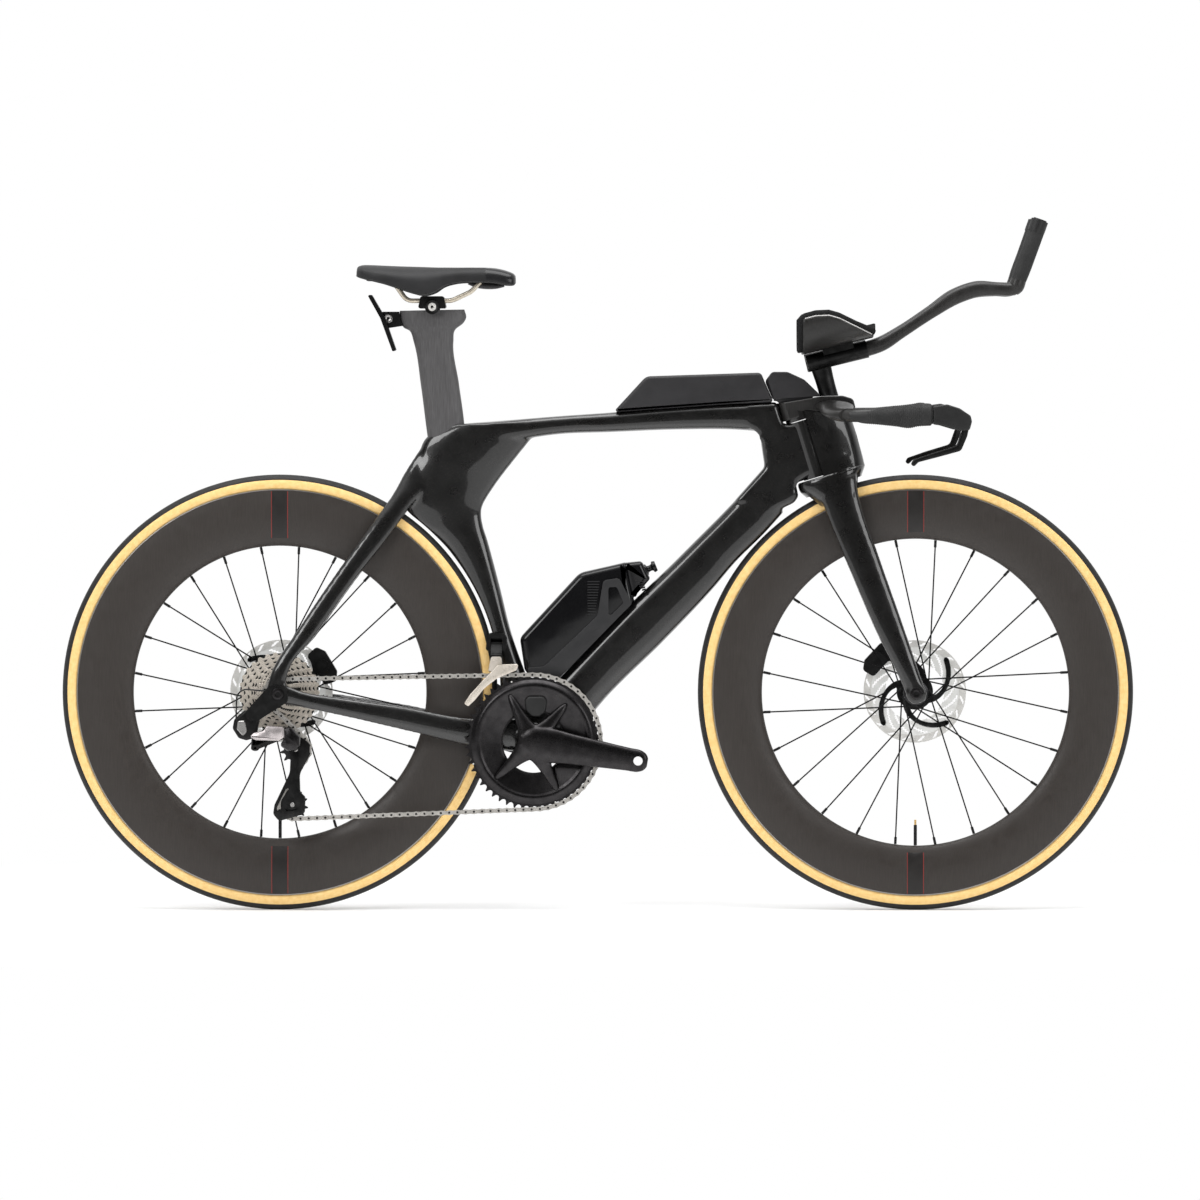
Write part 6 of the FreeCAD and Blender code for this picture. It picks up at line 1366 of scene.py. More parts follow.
# Seatpost: (front x, front z, rear x, rear z, y, half width)
SEATPOST = [
    (-203, 690, -258, 690, 0, 13),
    (-207.6, 757, -266, 745, 0, 13),
    (-216, 820, -275, 815, 0, 13.5),
    (-224.5, 885, -286, 883, 0, 14),
    (-222, 903, -292, 901, 0, 15),
    (-209, 914, -303, 908, 0, 16),
    (-204.5, 923, -307.5, 919, 0, 16.5),
    (-207.5, 935, -308, 933, 0, 16),
]
BRACKET_SPOT = np.array([-326.0, 9.0, 921.0])
BRACKET_BOLT = [(2.4, -1), (2.4, 1.2), (3.4, 1.8), (6.2, 1.8), (7.2, 0.8), (7.2, -1)]


def make_seatpost():
    """Aero post with its wide head, and the bolt of the bracket behind it."""
    post = blade(SEATPOST, 90, 48, 2.3)
    make_piece("seatpost_skin", post, POST_CARBON, "frame", ["seatpost"], 45)
    bolts = pair(turned(BRACKET_BOLT, BRACKET_SPOT, 32))
    make_piece("bracket_bolts", bolts, PLAIN_STEEL, "frame")


make_seatpost()


# Arm rests
def at_stem(x, z):
    """A point measured from the top of the head tube."""
    return STEM_FOOT * np.array([1.0, 0.0, 1.0]) + np.array([x, 0.0, z])


FOREARM_START = at_stem(9.5, 89)
FOREARM_WAY = unit(at_stem(136.5, 120) - FOREARM_START)
FOREARM_UP = np.cross(FOREARM_WAY, ACROSS)
FOREARM_LEAN = 0.244
TRAY_MIDDLE = FOREARM_START + 52.0 * FOREARM_WAY + 61.3 * FOREARM_UP + 96.0 * ACROSS
TRAY_INNER_EDGE = math.radians(-46.0)
# Height of a tray's outer wall over its axis, along the forearm
TRAY_TOP = [(-62, 8), (-54, 15), (-35, 15.5), (-13.6, 11.5), (3, 3.3), (61.5, -37)]
# Trays: outer and inner radius, rear and front end, drop of the wall, crown and width of the thinned edge
CUP_TRAY = (47.0, 43.5, -54.5, 58.0, 8.5, 0.0, 1.4)
PAD_TRAY = (43.2, 34.4, -62.0, 61.5, 0.0, 1.6, 5.0)
CROWN_RUN = 12.0
TRAY_FOOT = 43.0
TRAY_COLUMNS = 48
# Radius of the pale line along each cup's edge: a painted highlight
CUP_HIGHLIGHT_RADIUS = 0.9


def tray_grid(outer, inner, rear, front, drop, crown, edge):
    """A trough under the forearm. Its section runs on an arc from the inner edge to the level of its axis,
    then straight up; its wall swells towards the arm by the crown and thins to nothing over the edge's
    width."""
    share = np.linspace(0, 1, 72)[:, None]
    along = rear + (front - rear) * share
    top = np.interp(along, *np.array(TRAY_TOP).T) - drop
    radius = (outer + inner) / 2
    end = np.where(top < 0, np.arccos(np.clip(-top / radius, -1, 1)), math.pi / 2)
    length = radius * (end - TRAY_INNER_EDGE) + np.clip(top, 0, None)
    run = length * np.linspace(0, 1, TRAY_COLUMNS)[None]
    angle = np.minimum(TRAY_INNER_EDGE + run / radius, math.pi / 2)
    straight = np.clip(run - radius * (math.pi / 2 - TRAY_INNER_EDGE), 0, None)
    inside = np.minimum(np.minimum(run, length - run), (front - rear) * np.minimum(share, 1 - share))
    swell = np.sqrt(1 - np.clip(1 - inside / edge, 0, 1) ** 2)
    half = (outer - inner) / 2
    layers = []
    for offset in (half * swell, -half * swell - crown * ramp(inside, 0, CROWN_RUN)):
        across = (radius + offset) * np.sin(angle)
        height = straight - (radius + offset) * np.cos(angle)
        reach = along + FOREARM_LEAN * (height + TRAY_FOOT)
        spots = reach[..., None] * FOREARM_WAY + height[..., None] * FOREARM_UP + across[..., None] * ACROSS
        layers.append(TRAY_MIDDLE + spots)
    return np.concatenate([layers[0], layers[1][:, ::-1]], 1)


def pad_foam():
    """Foam under a knitted cover: a close mesh of small stitches, without shine."""
    finish = Finish("pad_foam", (0.0065, 0.0065, 0.0068), 0.92, Specular_IOR_Level=0.12)
    cells = finish.node("TexVoronoi", Vector=finish.place, Scale=700.0)
    finish.tint(cells.outputs["Distance"], (0.016, 0.016, 0.016), 0.25, 0.7)
    return finish.bump(cells.outputs["Distance"], 0.25).material


def make_armrests():
    """Carbon cups with a painted highlight along their edge, and the pads that stand proud of them."""
    cup = tray_grid(*CUP_TRAY)
    cups = pair(skin(cup, caps=False))
    make_piece("cup_shells", cups, BAR_CARBON, "fork", ["armrest_cups"], 50)
    pads = pair(skin(tray_grid(*PAD_TRAY), caps=False))
    cushions = make_piece("forearm_cushions", pads, pad_foam(), "fork", ["arm_pads"], 60)
    # A pale line along each cup's top edge: a painted highlight
    rim = cup[2:-2, TRAY_COLUMNS - 1]
    pale = moulding("cup_edge_highlight", (0.42, 0.41, 0.40), (0.5, 0.49, 0.48), 0.45)
    make_piece("cup_edge_highlights", pair(tube(rim, CUP_HIGHLIGHT_RADIUS, 8, 140)), pale, "fork")


make_armrests()


# Bars
BAR_HALF = 190.0
EXTENSION_HALF = 72.0
# Extensions, their wrapped ends and caps: (x, z, half thickness)
EXTENSION = [
    (325, 851, 10.8),
    (372, 862.5, 10.8),
    (412, 872, 11.8),
    (440, 881, 11.4),
    (470, 899, 9.6),
    (520, 932, 9.8),
    (558, 956, 12.4),
    (588, 966, 12.6),
    (620, 966.5, 10.4),
    (645, 966.5, 10.0),
    (656, 970, 8.0),
]
EXTENSION_END = [(644, 962, 9.0), (649, 970, 12.0), (653, 981, 11.8), (658, 995, 11.4)]
EXTENSION_GRIP = [(651.5, 977, 11.6), (656, 989.5, 12.4), (668, 1022, 12.6), (681, 1058.5, 12.8)]
EXTENSION_CAP = [(679.4, 1055, 13.3), (682.2, 1063, 13.4), (683.4, 1066.4, 13.0), (684, 1068, 11.4)]
# Rim of a cap: its foot, its direction, and its height, outer and inner radius
CAP_FOOT = np.array([680.6, -EXTENSION_HALF, 1058.4])
CAP_WAY = np.array([13.0, 0.0, 36.7])
CAP_HEIGHT = 15.0
CAP_RADII = (13.4, 12.5)


def collar(start, end, outer, inner):
    """A ring with a square section along the line from one point to another."""
    way = unit(np.array(end, float) - np.array(start, float))
    side = unit(np.cross(ACROSS, way))
    along, over = round_ring(40)
    turn = along[:, None] * side + over[:, None] * np.cross(way, side)
    rows = [start + outer * turn, end + outer * turn, end + inner * turn, start + inner * turn]
    return skin(np.stack(rows), close_rows=True)


def bar_tube(line, count, power=2.0):
    """One side's tube along a line of (x, z, half thickness) points, with its mirror image."""
    path = [(x, -EXTENSION_HALF, z) for x, z, half in line]
    return pair(tube(path, [half for x, z, half in line], 28, count, power))


# Base bar grips: (top x, top z, foot x, foot z, y, half width)
BAR_GRIP = [
    (388, 775.5, 391, 765, -BAR_HALF, 9.0),
    (402, 778, 404, 760, -BAR_HALF, 11.5),
    (430, 781, 431, 757, -BAR_HALF, 13),
    (460, 784, 460, 754, -BAR_HALF, 13.5),
    (482, 786, 482, 751.5, -BAR_HALF, 14),
    (494, 787.5, 494, 754, -BAR_HALF, 14),
    (509, 789.5, 509, 755, -BAR_HALF, 14.5),
    (514, 788.5, 514, 755.5, -BAR_HALF, 14),
    (515.5, 786.5, 515.5, 757.5, -BAR_HALF, 12.5),
]
# Brake lever, its clamp and its blade: corners (x, z, radius)
LEVER_BODY = [
    (517.5, 785, 3),
    (539, 788, 8),
    (558, 782, 10),
    (575, 770.5, 5),
    (577, 761.5, 4),
    (573.5, 748.5, 4),
    (559, 747, 6),
    (532, 755, 12),
    (517.5, 757, 3),
]
LEVER_BLADE = [
    (565, 768, 2),
    (571.5, 768, 2),
    (574, 758, 4),
    (570, 739, 14),
    (560.5, 716.5, 9),
    (522, 706, 30),
    (495, 699, 5),
    (488, 692, 3),
    (483, 696, 3.2),
    (486.5, 702.5, 5),
    (515, 712.5, 30),
    (553, 724, 9),
    (561.5, 748, 10),
]
CLAMP_HALF = 12.5
BLADE_HALF = 4.0
# Ribs of a grip: their pitch, depth, and where they start and end, as (none, full depth)
RIB_PITCH = 3.0
RIB_DEPTH = 0.4
RIB_REAR = (412, 418)
RIB_FRONT = (503, 499)
# Height of a grip's middle along it
GRIP_MIDDLE = [(390, 770), (482, 769), (515, 772)]


def bar_grip():
    """A grip swelling towards its front, with fine ribs round its middle: the section grows and shrinks by
    a cosine."""
    grip = blade(BAR_GRIP, 330, 36, 2.2)
    x = grip.points[:, 0]
    window = ramp(x, *RIB_REAR) * ramp(x, *RIB_FRONT)
    wave = RIB_DEPTH * window * np.cos(x * FULL_TURN / RIB_PITCH)
    middle_height = np.interp(x, *np.array(GRIP_MIDDLE, float).T)
    way = grip.points - np.stack([x, 0 * x - BAR_HALF, middle_height], -1)
    reach = np.maximum(np.linalg.norm(way, axis=1), 1.0)
    grip.points += way * (wave / reach)[:, None]
    return grip


def make_bars():
    """Extensions with their elbows, wrapped ends and caps, and the ribbed grips of the base bar."""
    arms = bar_tube(EXTENSION, 150, 2.5) + bar_tube(EXTENSION_END, 40)
    make_piece("extension_arms", arms, BAR_CARBON, "fork", ["extensions"], 50)
    make_piece("extension_wraps", bar_tube(EXTENSION_GRIP, 60), GRIP_RUBBER, "fork")
    make_piece("extension_caps", bar_tube(EXTENSION_CAP, 24), BLACK_NYLON, "fork")
    rim = collar(CAP_FOOT, CAP_FOOT + CAP_HEIGHT * unit(CAP_WAY), *CAP_RADII)
    make_piece("cap_rims", pair(rim), BLACK_NYLON, "fork")
    make_piece("bar_grips", pair(bar_grip()), GRIP_RUBBER, "fork", ["grips"], 60)
    clamp = slab(LEVER_BODY, -BAR_HALF - CLAMP_HALF, -BAR_HALF + CLAMP_HALF, 2.6, 3)
    make_piece("lever_clamps", pair(clamp), BLACK_NYLON, "fork", ["lever_bodies"], 50)
    lever = slab(LEVER_BLADE, -BAR_HALF - BLADE_HALF, -BAR_HALF + BLADE_HALF, 2.2, 3)
    for name, shape in (("right", lever), ("left", lever.mirrored())):
        node = "brake_lever_" + name
        make_piece("lever_blade_" + name, shape, SATIN_BLACK, node, [node])


make_bars()


# Bottle and cage: corners (x, z, radius)
BOTTLE = [(-121, 424, 14), (-28, 525, 26), (44, 541.5, 2), (57, 482, 2), (50, 469, 4)]
BOTTLE += [(-92, 361, 12), (-113, 371, 12)]
BOTTLE_CAP = [(40, 540.4, 2), (69, 543.5, 7), (82, 516, 5), (53, 483, 2)]
BOTTLE_HALF = 27.0
CAP_HALF = 24.0
# Valve: (x, z, radius)
BOTTLE_VALVE = [(73, 528.5, 9), (77, 530.2, 8.6), (78, 530.6, 6), (85, 533.6, 6), (86, 534, 8.6)]
BOTTLE_VALVE += [(91, 536, 8)]
CAGE_SIDE = [
    (-108, 378, 3),
    (-83, 380, 8),
    (0, 459, 14),
    (9, 514, 7),
    (34, 517.5, 7),
    (54, 478, 4),
    (-60, 361, 4),
    (-108, 369, 3),
]
CAGE_WINDOW = [(17, 503, 3), (30, 503.5, 4), (40.5, 479, 4), (17, 456, 3)]
CAGE_BASE = [(-70, 355, 1), (50, 478, 1), (46, 481.5, 1), (-74, 359, 1)]
CAGE_INSIDE = 27.6
CAGE_OUTSIDE = 30.2
# Ribs of the bottle: how many, their radius, y, top, pitch, start, and the end of the first and its step
BOTTLE_RIBS = 13
RIB_RADIUS = 1.1
RIB_PLANE = -26.7
RIB_TOP = 512
RIB_DROP = 4.2
RIB_START = -16
RIB_END = 4
RIB_END_STEP = 0.6
# Ribs of its cap: how many, their radius, the first one's start and way, and the steps from rib to rib
CAP_RIBS = 7
CAP_RIB_RADIUS = 0.9
CAP_RIB_START = np.array([58, -23.6, 514])
CAP_RIB_STEP = np.array([2.2, 0, -3.2])
CAP_RIB_WAY = np.array([13, 0, 1.5])
CAP_RIB_SHRINK = np.array([1.4, 0, 0])


def make_bottle():
    """Flat-sided bottle with grip ribs, its ribbed cap and valve, and the cage that holds its sides."""
    body = slab(BOTTLE, -BOTTLE_HALF, BOTTLE_HALF, 10, 6)
    make_piece("bottle_body", body, BOTTLE_GLOSS, "bottle", ["bottle"], 40)
    ribs = []
    for number in range(BOTTLE_RIBS):
        level = RIB_TOP - RIB_DROP * number
        end = RIB_END - RIB_END_STEP * number
        ribs.append(rod((RIB_START, RIB_PLANE, level), (end, RIB_PLANE, level), RIB_RADIUS, 8))
    for number in range(CAP_RIBS):
        start = CAP_RIB_START + number * CAP_RIB_STEP
        ribs.append(rod(start, start + CAP_RIB_WAY - number * CAP_RIB_SHRINK, CAP_RIB_RADIUS, 8))
    make_piece("bottle_ribs", pair(total(ribs)), BOTTLE_GLOSS, "bottle")
    cap = slab(BOTTLE_CAP, -CAP_HALF, CAP_HALF, 8, 5)
    path = [(x, 0, z) for x, z, radius in BOTTLE_VALVE]
    valve = tube(path, [radius for x, z, radius in BOTTLE_VALVE], 28, 40)
    make_piece("bottle_lid", cap + valve, BOTTLE_GLOSS, "bottle", ["bottle_cap"], 40)
    side = slab(CAGE_SIDE, -CAGE_OUTSIDE, -CAGE_INSIDE, 0.9, 3)
    window = slab(CAGE_WINDOW, -CAGE_OUTSIDE - 5, -CAGE_INSIDE + 5, 0.1)
    cage = pair(cut_from(side, window)) + slab(CAGE_BASE, -CAGE_INSIDE, CAGE_INSIDE, 0.5)
    make_piece("cage_arms", cage, CAGE_GREY, "frame", ["bottle_cage"])


make_bottle()


# Rear derailleur: corners (x, z, radius), and the planes between which each part lies
FRONT_PLANES = (-84, -56)
# Planes of the thin patch on the front knuckle that is a painted highlight
HIGHLIGHT_PATCH_PLANES = (-85, -83)
LINK_PLANES = (-101, -89)
KNUCKLE_PLANES = (-98, -73.6)
RD_FRONT = [
    (-548, 313, 6),
    (-563, 299, 8),
    (-565.5, 285, 8),
    (-556, 270, 8),
    (-544, 266.5, 6),
    (-529, 271, 7),
    (-524, 296, 6),
    (-527, 313, 7),
]
# Outline of the painted highlight patch on the front knuckle
RD_HIGHLIGHT_PATCH = [(-557, 297, 3), (-558.5, 284, 3), (-549, 273, 3), (-543, 281, 3), (-546, 297, 3)]
RD_LINK = [
    (-538, 273, 2),
    (-532, 279, 3),
    (-516.5, 282.5, 4),
    (-512, 290, 3),
    (-485, 288, 4),
    (-484, 272, 4),
    (-492, 266.5, 3),
    (-529, 267.5, 3),
]
RD_KNUCKLE = [
    (-487, 285, 4),
    (-475, 289, 5),
    (-460, 272, 6),
    (-460, 259, 6),
    (-467, 250.5, 6),
    (-480, 251, 5),
    (-492, 259, 5),
    (-485, 270, 5),
]
RD_CAGE = [
    (-480, 262, 6),
    (-462, 273, 8),
    (-446, 262, 9),
    (-446, 243, 9),
    (-462, 214, 25),
    (-461, 186, 8),
    (-453, 178, 6),
    (-454, 152, 7),
    (-475, 146, 8),
    (-494, 141, 7),
    (-503, 152, 7),
    (-501, 166, 10),
    (-477, 216, 25),
    (-476, 238, 8),
]
RD_SLOTS = [
    [(-499, 158, 2), (-482, 193, 2), (-478, 191, 2), (-493, 156, 2)],
    [(-484, 161, 2), (-465, 163, 2), (-465, 158, 2), (-483, 156, 2)],
]
# Mounting bolt: its place, and its sections (radius, y)
MOUNT_SPOT = np.array([-535.6, -83.6, 304.0])
MOUNT_RING = [(5.2, 1.6), (5.2, -1.0), (7.8, -1.0), (8.4, -0.2), (8.4, 1.6)]
MOUNT_BOLT = [(2.2, 1.0), (2.2, -1.4), (4.4, -1.4), (5.0, -0.6), (5.0, 1.0)]
PULLEY_BOLT = 3.4


def make_rear_derailleur():
    """Rounded front knuckle with a painted highlight patch on it, pale link, dark lower knuckle and the long
    pulley cage.
    """
    knuckle = slab(RD_FRONT, *FRONT_PLANES, 4.5, 5)
    make_piece("rd_front_knuckle", knuckle, SATIN_BLACK, "frame", ["rd_bracket"])
    # A thin steel patch over the knuckle: a painted highlight
    highlight_patch = slab(RD_HIGHLIGHT_PATCH, *HIGHLIGHT_PATCH_PLANES, 0.8)
    ring = turned(MOUNT_RING, MOUNT_SPOT, 40)
    head = turned(MOUNT_BOLT, MOUNT_SPOT, 32)
    make_piece("rd_highlight_patch", highlight_patch, PLAIN_STEEL, "frame")
    make_piece("rd_mount_bolt", ring + head, GUNMETAL, "frame")
    link = slab(RD_LINK, *LINK_PLANES, 3.2, 2)
    make_piece("rd_pale_link", link, LINK_SILVER, "rd_outer_link", ["rd_outer_link"])
    lower = slab(RD_KNUCKLE, *KNUCKLE_PLANES, 5, 2)
    make_piece("rd_lower_knuckle", lower, GUNMETAL, "rd_knuckle", ["rd_knuckle"])
    low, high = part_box("rd_cage")
    near = low.y / MM
    far = high.y / MM
    outer = slab(RD_CAGE, near - 1.2, near + 2.0, 0.7, 2)
    for slot in RD_SLOTS:
        outer = cut_from(outer, slab(slot, near - 8, near + 8, 0.1))
    inner = slab(RD_CAGE, far - 2.0, far, 0.5)
    bolts = []
    for node in ("guide_pulley", "tension_pulley"):
        spot = middle(node)
        bolts.append(rod(spot + (near - 2.0) * ACROSS, spot + (far + 0.8) * ACROSS, PULLEY_BOLT, 20))
    make_piece("rd_cage_plates", outer + inner, SATIN_BLACK, "rd_cage", ["rd_cage"])
    make_piece("rd_cage_bolts", total(bolts), PLAIN_STEEL, "rd_cage")


make_rear_derailleur()


# Front derailleur cage: corners (x, z, radius), and the planes between which each part lies
OUTER_PLANES = (-56.1, -54.2)
INNER_PLANES = (-39.4, -37.8)
LUG_PLANES = (-45.6, -38)
TAIL_PLANES = (-56, -38)
FD_CAGE = [
    (-121.5, 384, 3),
    (-126, 374.5, 3),
    (-155, 362.5, 40),
    (-175, 347, 40),
    (-190, 328.5, 30),
    (-200.5, 318.5, 2.5),
    (-207, 323, 2.5),
    (-197.5, 337, 40),
    (-179, 357.5, 40),
    (-160, 377, 30),
    (-154, 383, 3),
]
FD_LUG = [(-170, 372, 3), (-148, 372, 3), (-149, 397.5, 5), (-165, 397.5, 5)]
FD_TAIL = [(-206.5, 323, 2), (-200.5, 319, 2), (-196, 324, 2), (-201, 329, 2)]


def make_front_derailleur():
    """Two pale cage plates with the chain between them, joined at the tail and at the lug that carries
    them."""
    outer = slab(FD_CAGE, *OUTER_PLANES, 0.6, 2)
    inner = slab(FD_CAGE, *INNER_PLANES, 0.5)
    lug = slab(FD_LUG, *LUG_PLANES, 1.2, 2)
    tail = slab(FD_TAIL, *TAIL_PLANES, 0.6)
    cage = total([outer, inner, lug, tail])
    make_piece("fd_cage_plates", cage, PALE_SILVER, "fd_cage", ["fd_cage"])


make_front_derailleur()


# Cassette, from the outermost cog inwards
COGS = (11, 12, 13, 14, 15, 16, 17, 19, 21, 24, 27, 30)
COG_THICKNESS = 1.7
COG_FIRST = -67.4
COG_STEP = 3.63
TOOTH_HEIGHT = 2.1
# Painted shade: dark discs between the cogs, their reach beyond the pitch circle, gap behind the cog and
# thickness, and the core inside them
SHADE_DISC_REACH = 0.6
SHADE_DISC_GAP = 0.3
SHADE_DISC_THICKNESS = 0.8
CORE_RADIUS = 19.0
CORE_PLANES = (-66.5, -27.0)


def cog_outline(teeth):
    """Outline of a cog: its pitch circle with a tooth and a gap in each pitch, by a flattened cosine."""
    angle = np.linspace(0, FULL_TURN, 8 * teeth, endpoint=False)
    wave = np.clip(1.6 * np.cos(teeth * angle), -1, 1)
    reach = teeth * CHAIN_PITCH / FULL_TURN + TOOTH_HEIGHT * wave
    return np.stack([REAR[0] + reach * np.cos(angle), REAR[2] + reach * np.sin(angle)], -1)


def make_cassette():
    """Twelve toothed cogs side by side, with dark discs between them as painted shade in the gaps between the
    cogs.
    """
    cogs = []
    for number, teeth in enumerate(COGS):
        low = COG_FIRST + number * COG_STEP
        cogs.append(plate(cog_outline(teeth), low, low + COG_THICKNESS, 0.25))
    make_piece("cassette_cogs", total(cogs), PALE_SILVER, "cassette", ["cassette"])
    core = [rod(*[REAR + plane * ACROSS for plane in CORE_PLANES], CORE_RADIUS, 40)]
    # Dark discs just behind each cog, reaching past the next one's tooth roots: painted shade between the cogs
    for number, teeth in enumerate(COGS):
        near = COG_FIRST + number * COG_STEP + COG_THICKNESS + SHADE_DISC_GAP
        far = near + SHADE_DISC_THICKNESS
        reach = teeth * CHAIN_PITCH / FULL_TURN + SHADE_DISC_REACH
        core.append(rod(REAR + near * ACROSS, REAR + far * ACROSS, reach, 64, 0.1))
    make_piece("cassette_core_and_shade_discs", total(core), BLACK_NYLON, "cassette")


make_cassette()


# Axle ends, valves, storage box and ring cap
AXLE_END = [(3.4, 1), (3.4, -1.2), (6.6, -1.8), (8.6, -1.2), (9.4, 0), (9.4, 1)]
FRONT_AXLE_PLANE = -63.0
REAR_AXLE_PLANE = -90.0
VALVE_RADIUS = 2.6
VALVE_TIP = 8.0
VALVE_OVERLAP = 0.5
TIP_RADIUS = 1.7
TOP_BOX = [(24, 775, 3), (75.5, 831, 16), (254, 836.8, 8), (274.6, 790.6, 4), (200, 787.2, 60)]
TOP_BOX_HALF = 21.0
RING_CAP = [(-113.5, 334, 9), (-77.5, 334, 9), (-80, 311, 8), (-90, 302.5, 6), (-102, 302.5, 6)]
RING_CAP += [(-111, 311, 8)]
RING_CAP_PLANES = (-55, -48)


def make_small_parts():
    """Axle ends, the black valves with their brass tips, the storage box and the cap between the upper
    spider arms."""
    front_end = turned(AXLE_END, FRONT + FRONT_AXLE_PLANE * ACROSS, 40)
    make_piece("front_axle_end", front_end, GUNMETAL, "fork")
    rear_end = turned(AXLE_END, REAR + REAR_AXLE_PLANE * ACROSS, 40)
    make_piece("rear_axle_end", rear_end, GUNMETAL, "frame")
    for end in ("front", "rear"):
        body = end + "_wheel"
        low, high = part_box(end + "_valve")
        foot = np.array([(low.x + high.x) / 2, 0.0, low.z]) / MM
        tip = high.z / MM - foot[2]
        stem = rod(foot, foot + (tip - VALVE_TIP) * UPWARDS, VALVE_RADIUS)
        make_piece(end + "_valve_stem", stem, SATIN_BLACK, body, [end + "_valve"])
        brass = rod(foot + (tip - VALVE_TIP - VALVE_OVERLAP) * UPWARDS, foot + tip * UPWARDS, TIP_RADIUS)
        make_piece(end + "_valve_tip", brass, BRASS, body)
    box = clear_of_steering(slab(TOP_BOX, -TOP_BOX_HALF, TOP_BOX_HALF, 5, 4, 9), COVER_ROOM)
    make_piece("storage_box", box, MATTE_GREY, "frame", ["top_tube_box"], 50)
    make_piece("ring_cap", slab(RING_CAP, *RING_CAP_PLANES, 3.0, 3), BLACK_NYLON, "crank")


make_small_parts()


# Nodes that keep their own shape
KEPT_NODES = [
    (SPOKE_BLACK, "front_spokes rear_spokes"),
    (HUB_BLACK, "front_hub rear_hub"),
    (PLAIN_STEEL, "freehub_body frame_bearings"),
    (GUNMETAL, "chainring_large"),
    (SATIN_BLACK, "chainring_small rear_axle front_axle derailleur_hanger front_caliper rear_caliper"),
    (SATIN_BLACK, "saddle_clamp rear_bracket front_derailleur fd_link rd_inner_link mast"),
    (RAIL_METAL, "saddle_rails"),
    (BLACK_NYLON, "saddle_shell frame_cables guide_pulley tension_pulley"),
    (BLACK_NYLON, "shift_button_right shift_button_left"),
    (BAR_CARBON, "base_bar"),
    (MATTE_GREY, "stem_cover"),
]
for finish, names in KEPT_NODES:
    for node in names.split():
        frame["nodes"][node].data.materials.clear()
        frame["nodes"][node].data.materials.append(finish)


# Studio: floor, light and camera
FLOOR_REACH = 6.0
FLOOR_SIDES = 64
# Where the floor starts and ends turning white
FLOOR_FADE = (0.8, 1.7)
# Brightness of the room, each as (low, high, start, end): on dull surfaces by height, and in reflections by
# the way behind the bike and above it
ROOM_LIGHT = (0.28, 1.0, -0.1, 0.75)
BEHIND_LIGHT = (0.04, 1.0, -0.35, 0.1)
ABOVE_LIGHT = (0.0, 1.0, 0.5, 0.8)
# Lamps: name, place, aim, width, height and power, in metres and watts
LAMPS = [
    ("overhead", (0.0, -0.4, 2.8), (0.0, 0.0, 0.4), 2.6, 1.6, 55.0),
    ("key", (-1.8, -2.4, 1.9), (0.0, 0.0, 0.5), 1.2, 1.2, 30.0),
    ("fill", (2.2, -2.2, 1.3), (0.0, 0.0, 0.5), 1.2, 1.2, 18.0),
]


def make_world():
    """White for the camera, and white behind and above the bike in reflections; the side in front of it is
    dark."""
    world = bpy.data.worlds.new("studio")
    bpy.context.scene.world = world
    world.use_nodes = True
    tree = NodeTree(world.node_tree)
    path = tree.node("LightPath").outputs
    way = tree.node("SeparateXYZ", Vector=tree.node("TexCoord").outputs["Generated"]).outputs
    room = tree.spread(way["Z"], *ROOM_LIGHT)
    behind = tree.spread(way["Y"], *BEHIND_LIGHT)
    above = tree.spread(way["Z"], *ABOVE_LIGHT)
    gloss = tree.math("MULTIPLY", tree.math("MAXIMUM", behind, above), path["Is Glossy Ray"])
    dull = tree.math("MULTIPLY", room, path["Is Diffuse Ray"])
    white = tree.math("MAXIMUM", path["Is Camera Ray"], path["Is Transmission Ray"])
    strength = tree.math("MAXIMUM", tree.math("MAXIMUM", white, gloss), dull)
    background = tree.nodes["Background"]
    background.inputs["Color"].default_value = (1.0, 1.0, 1.0, 1.0)
    tree.links.new(strength, background.inputs["Strength"])


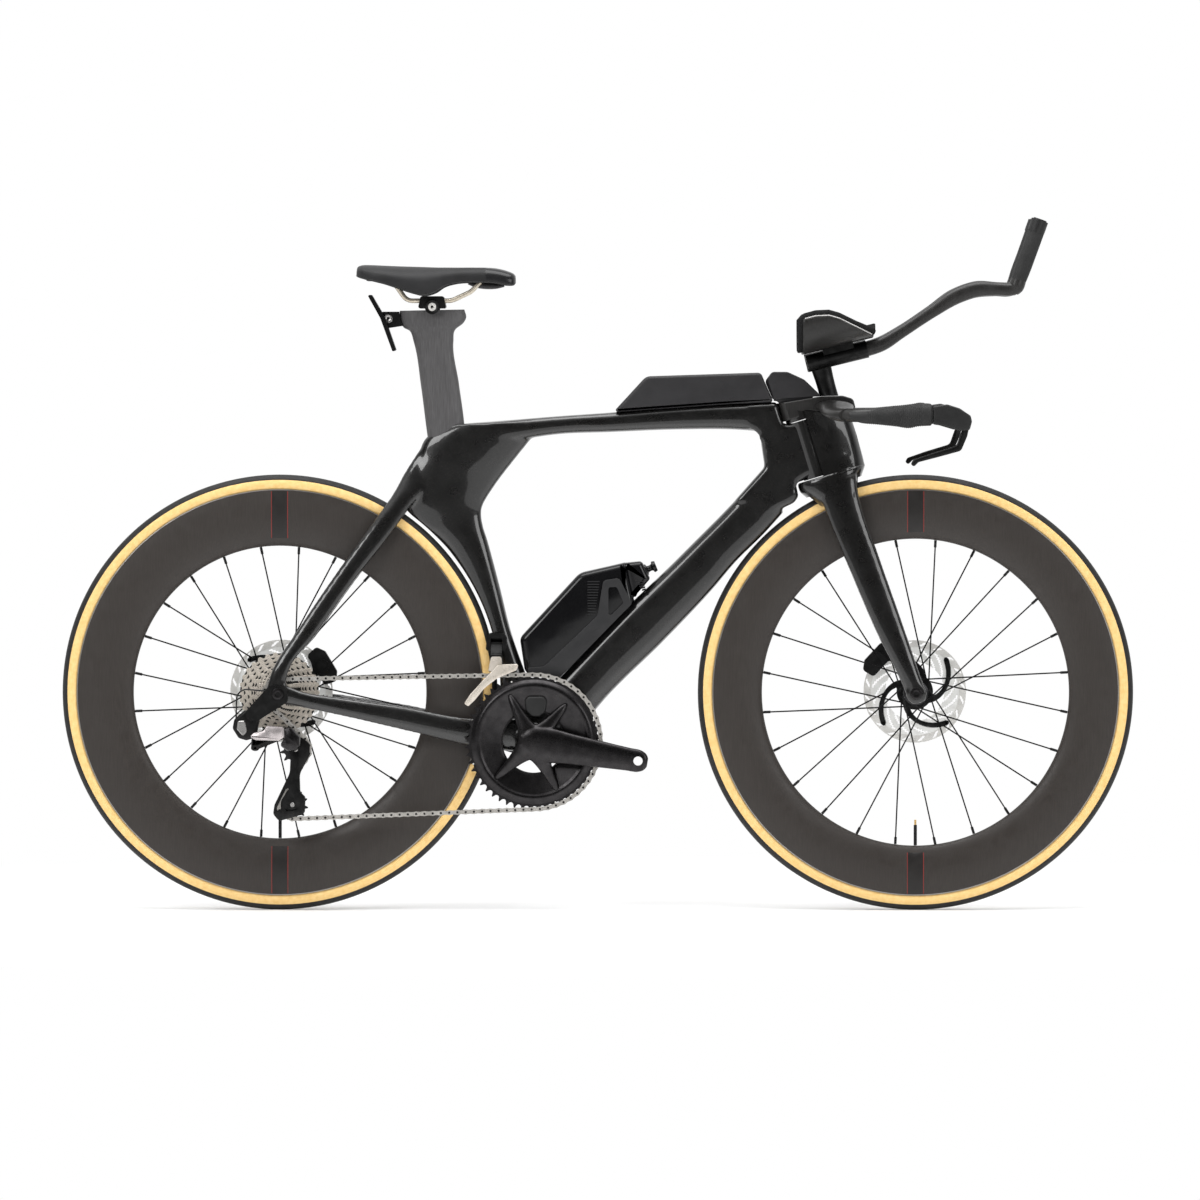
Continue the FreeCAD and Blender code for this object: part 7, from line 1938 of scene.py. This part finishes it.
def make_floor():
    """Pale round floor that turns into the white background further out."""
    mesh = bpy.data.meshes.new("floor")
    along, over = round_ring(FLOOR_SIDES)
    rim = np.column_stack([along, over, 0 * along]) * FLOOR_REACH
    mesh.from_pydata(rim.tolist(), [], [list(range(FLOOR_SIDES))])
    finish = Finish("floor_white", (0.92, 0.92, 0.92), 0.9)
    glow = finish.node("Emission", Color=(1.0, 1.0, 1.0, 1.0), Strength=1.0)
    reach = finish.node("VectorMath", Vector=finish.place)
    reach.operation = "LENGTH"
    far = finish.spread(reach.outputs["Value"], 0.0, 1.0, *FLOOR_FADE)
    path = finish.node("LightPath").outputs
    seen = finish.math("MAXIMUM", path["Is Camera Ray"], path["Is Glossy Ray"])
    seen = finish.math("MAXIMUM", seen, path["Is Transmission Ray"])
    mix = finish.node("MixShader", Fac=finish.math("MULTIPLY", far, seen))
    finish.links.new(finish.shader.outputs[0], mix.inputs[1])
    finish.links.new(glow.outputs[0], mix.inputs[2])
    finish.links.new(mix.outputs[0], finish.nodes["Material Output"].inputs["Surface"])
    mesh.materials.append(finish.material)
    floor = placed("floor", mesh)


def make_lamp(name, spot, aim, width, height, power):
    """A soft box: an area lamp at a spot, turned to a point, in metres and watts."""
    data = bpy.data.lights.new(name, "AREA")
    data.shape = "RECTANGLE"
    data.size = width
    data.size_y = height
    data.energy = power
    aimed(placed(name, data), spot, aim)


CAMERA_SPOT = (0.1363, -15.20, 0.8365)
CAMERA_AIM = (0.0037, 0.0, 0.4826)
CAMERA_LENS = 292.8
CAMERA_REACH = 100.0
SENSOR = 36.0


def make_camera():
    """Camera at the photograph's angle, on the drive side and a little above the axles."""
    data = bpy.data.cameras.new("camera")
    data.lens = CAMERA_LENS
    data.sensor_width = SENSOR
    data.sensor_fit = "HORIZONTAL"
    data.clip_end = CAMERA_REACH
    camera = placed("camera", data)
    aimed(camera, CAMERA_SPOT, CAMERA_AIM)
    bpy.context.scene.camera = camera


bpy.context.scene.view_settings.view_transform = "Standard"
make_world()
make_floor()
for lamp in LAMPS:
    make_lamp(*lamp)
make_camera()
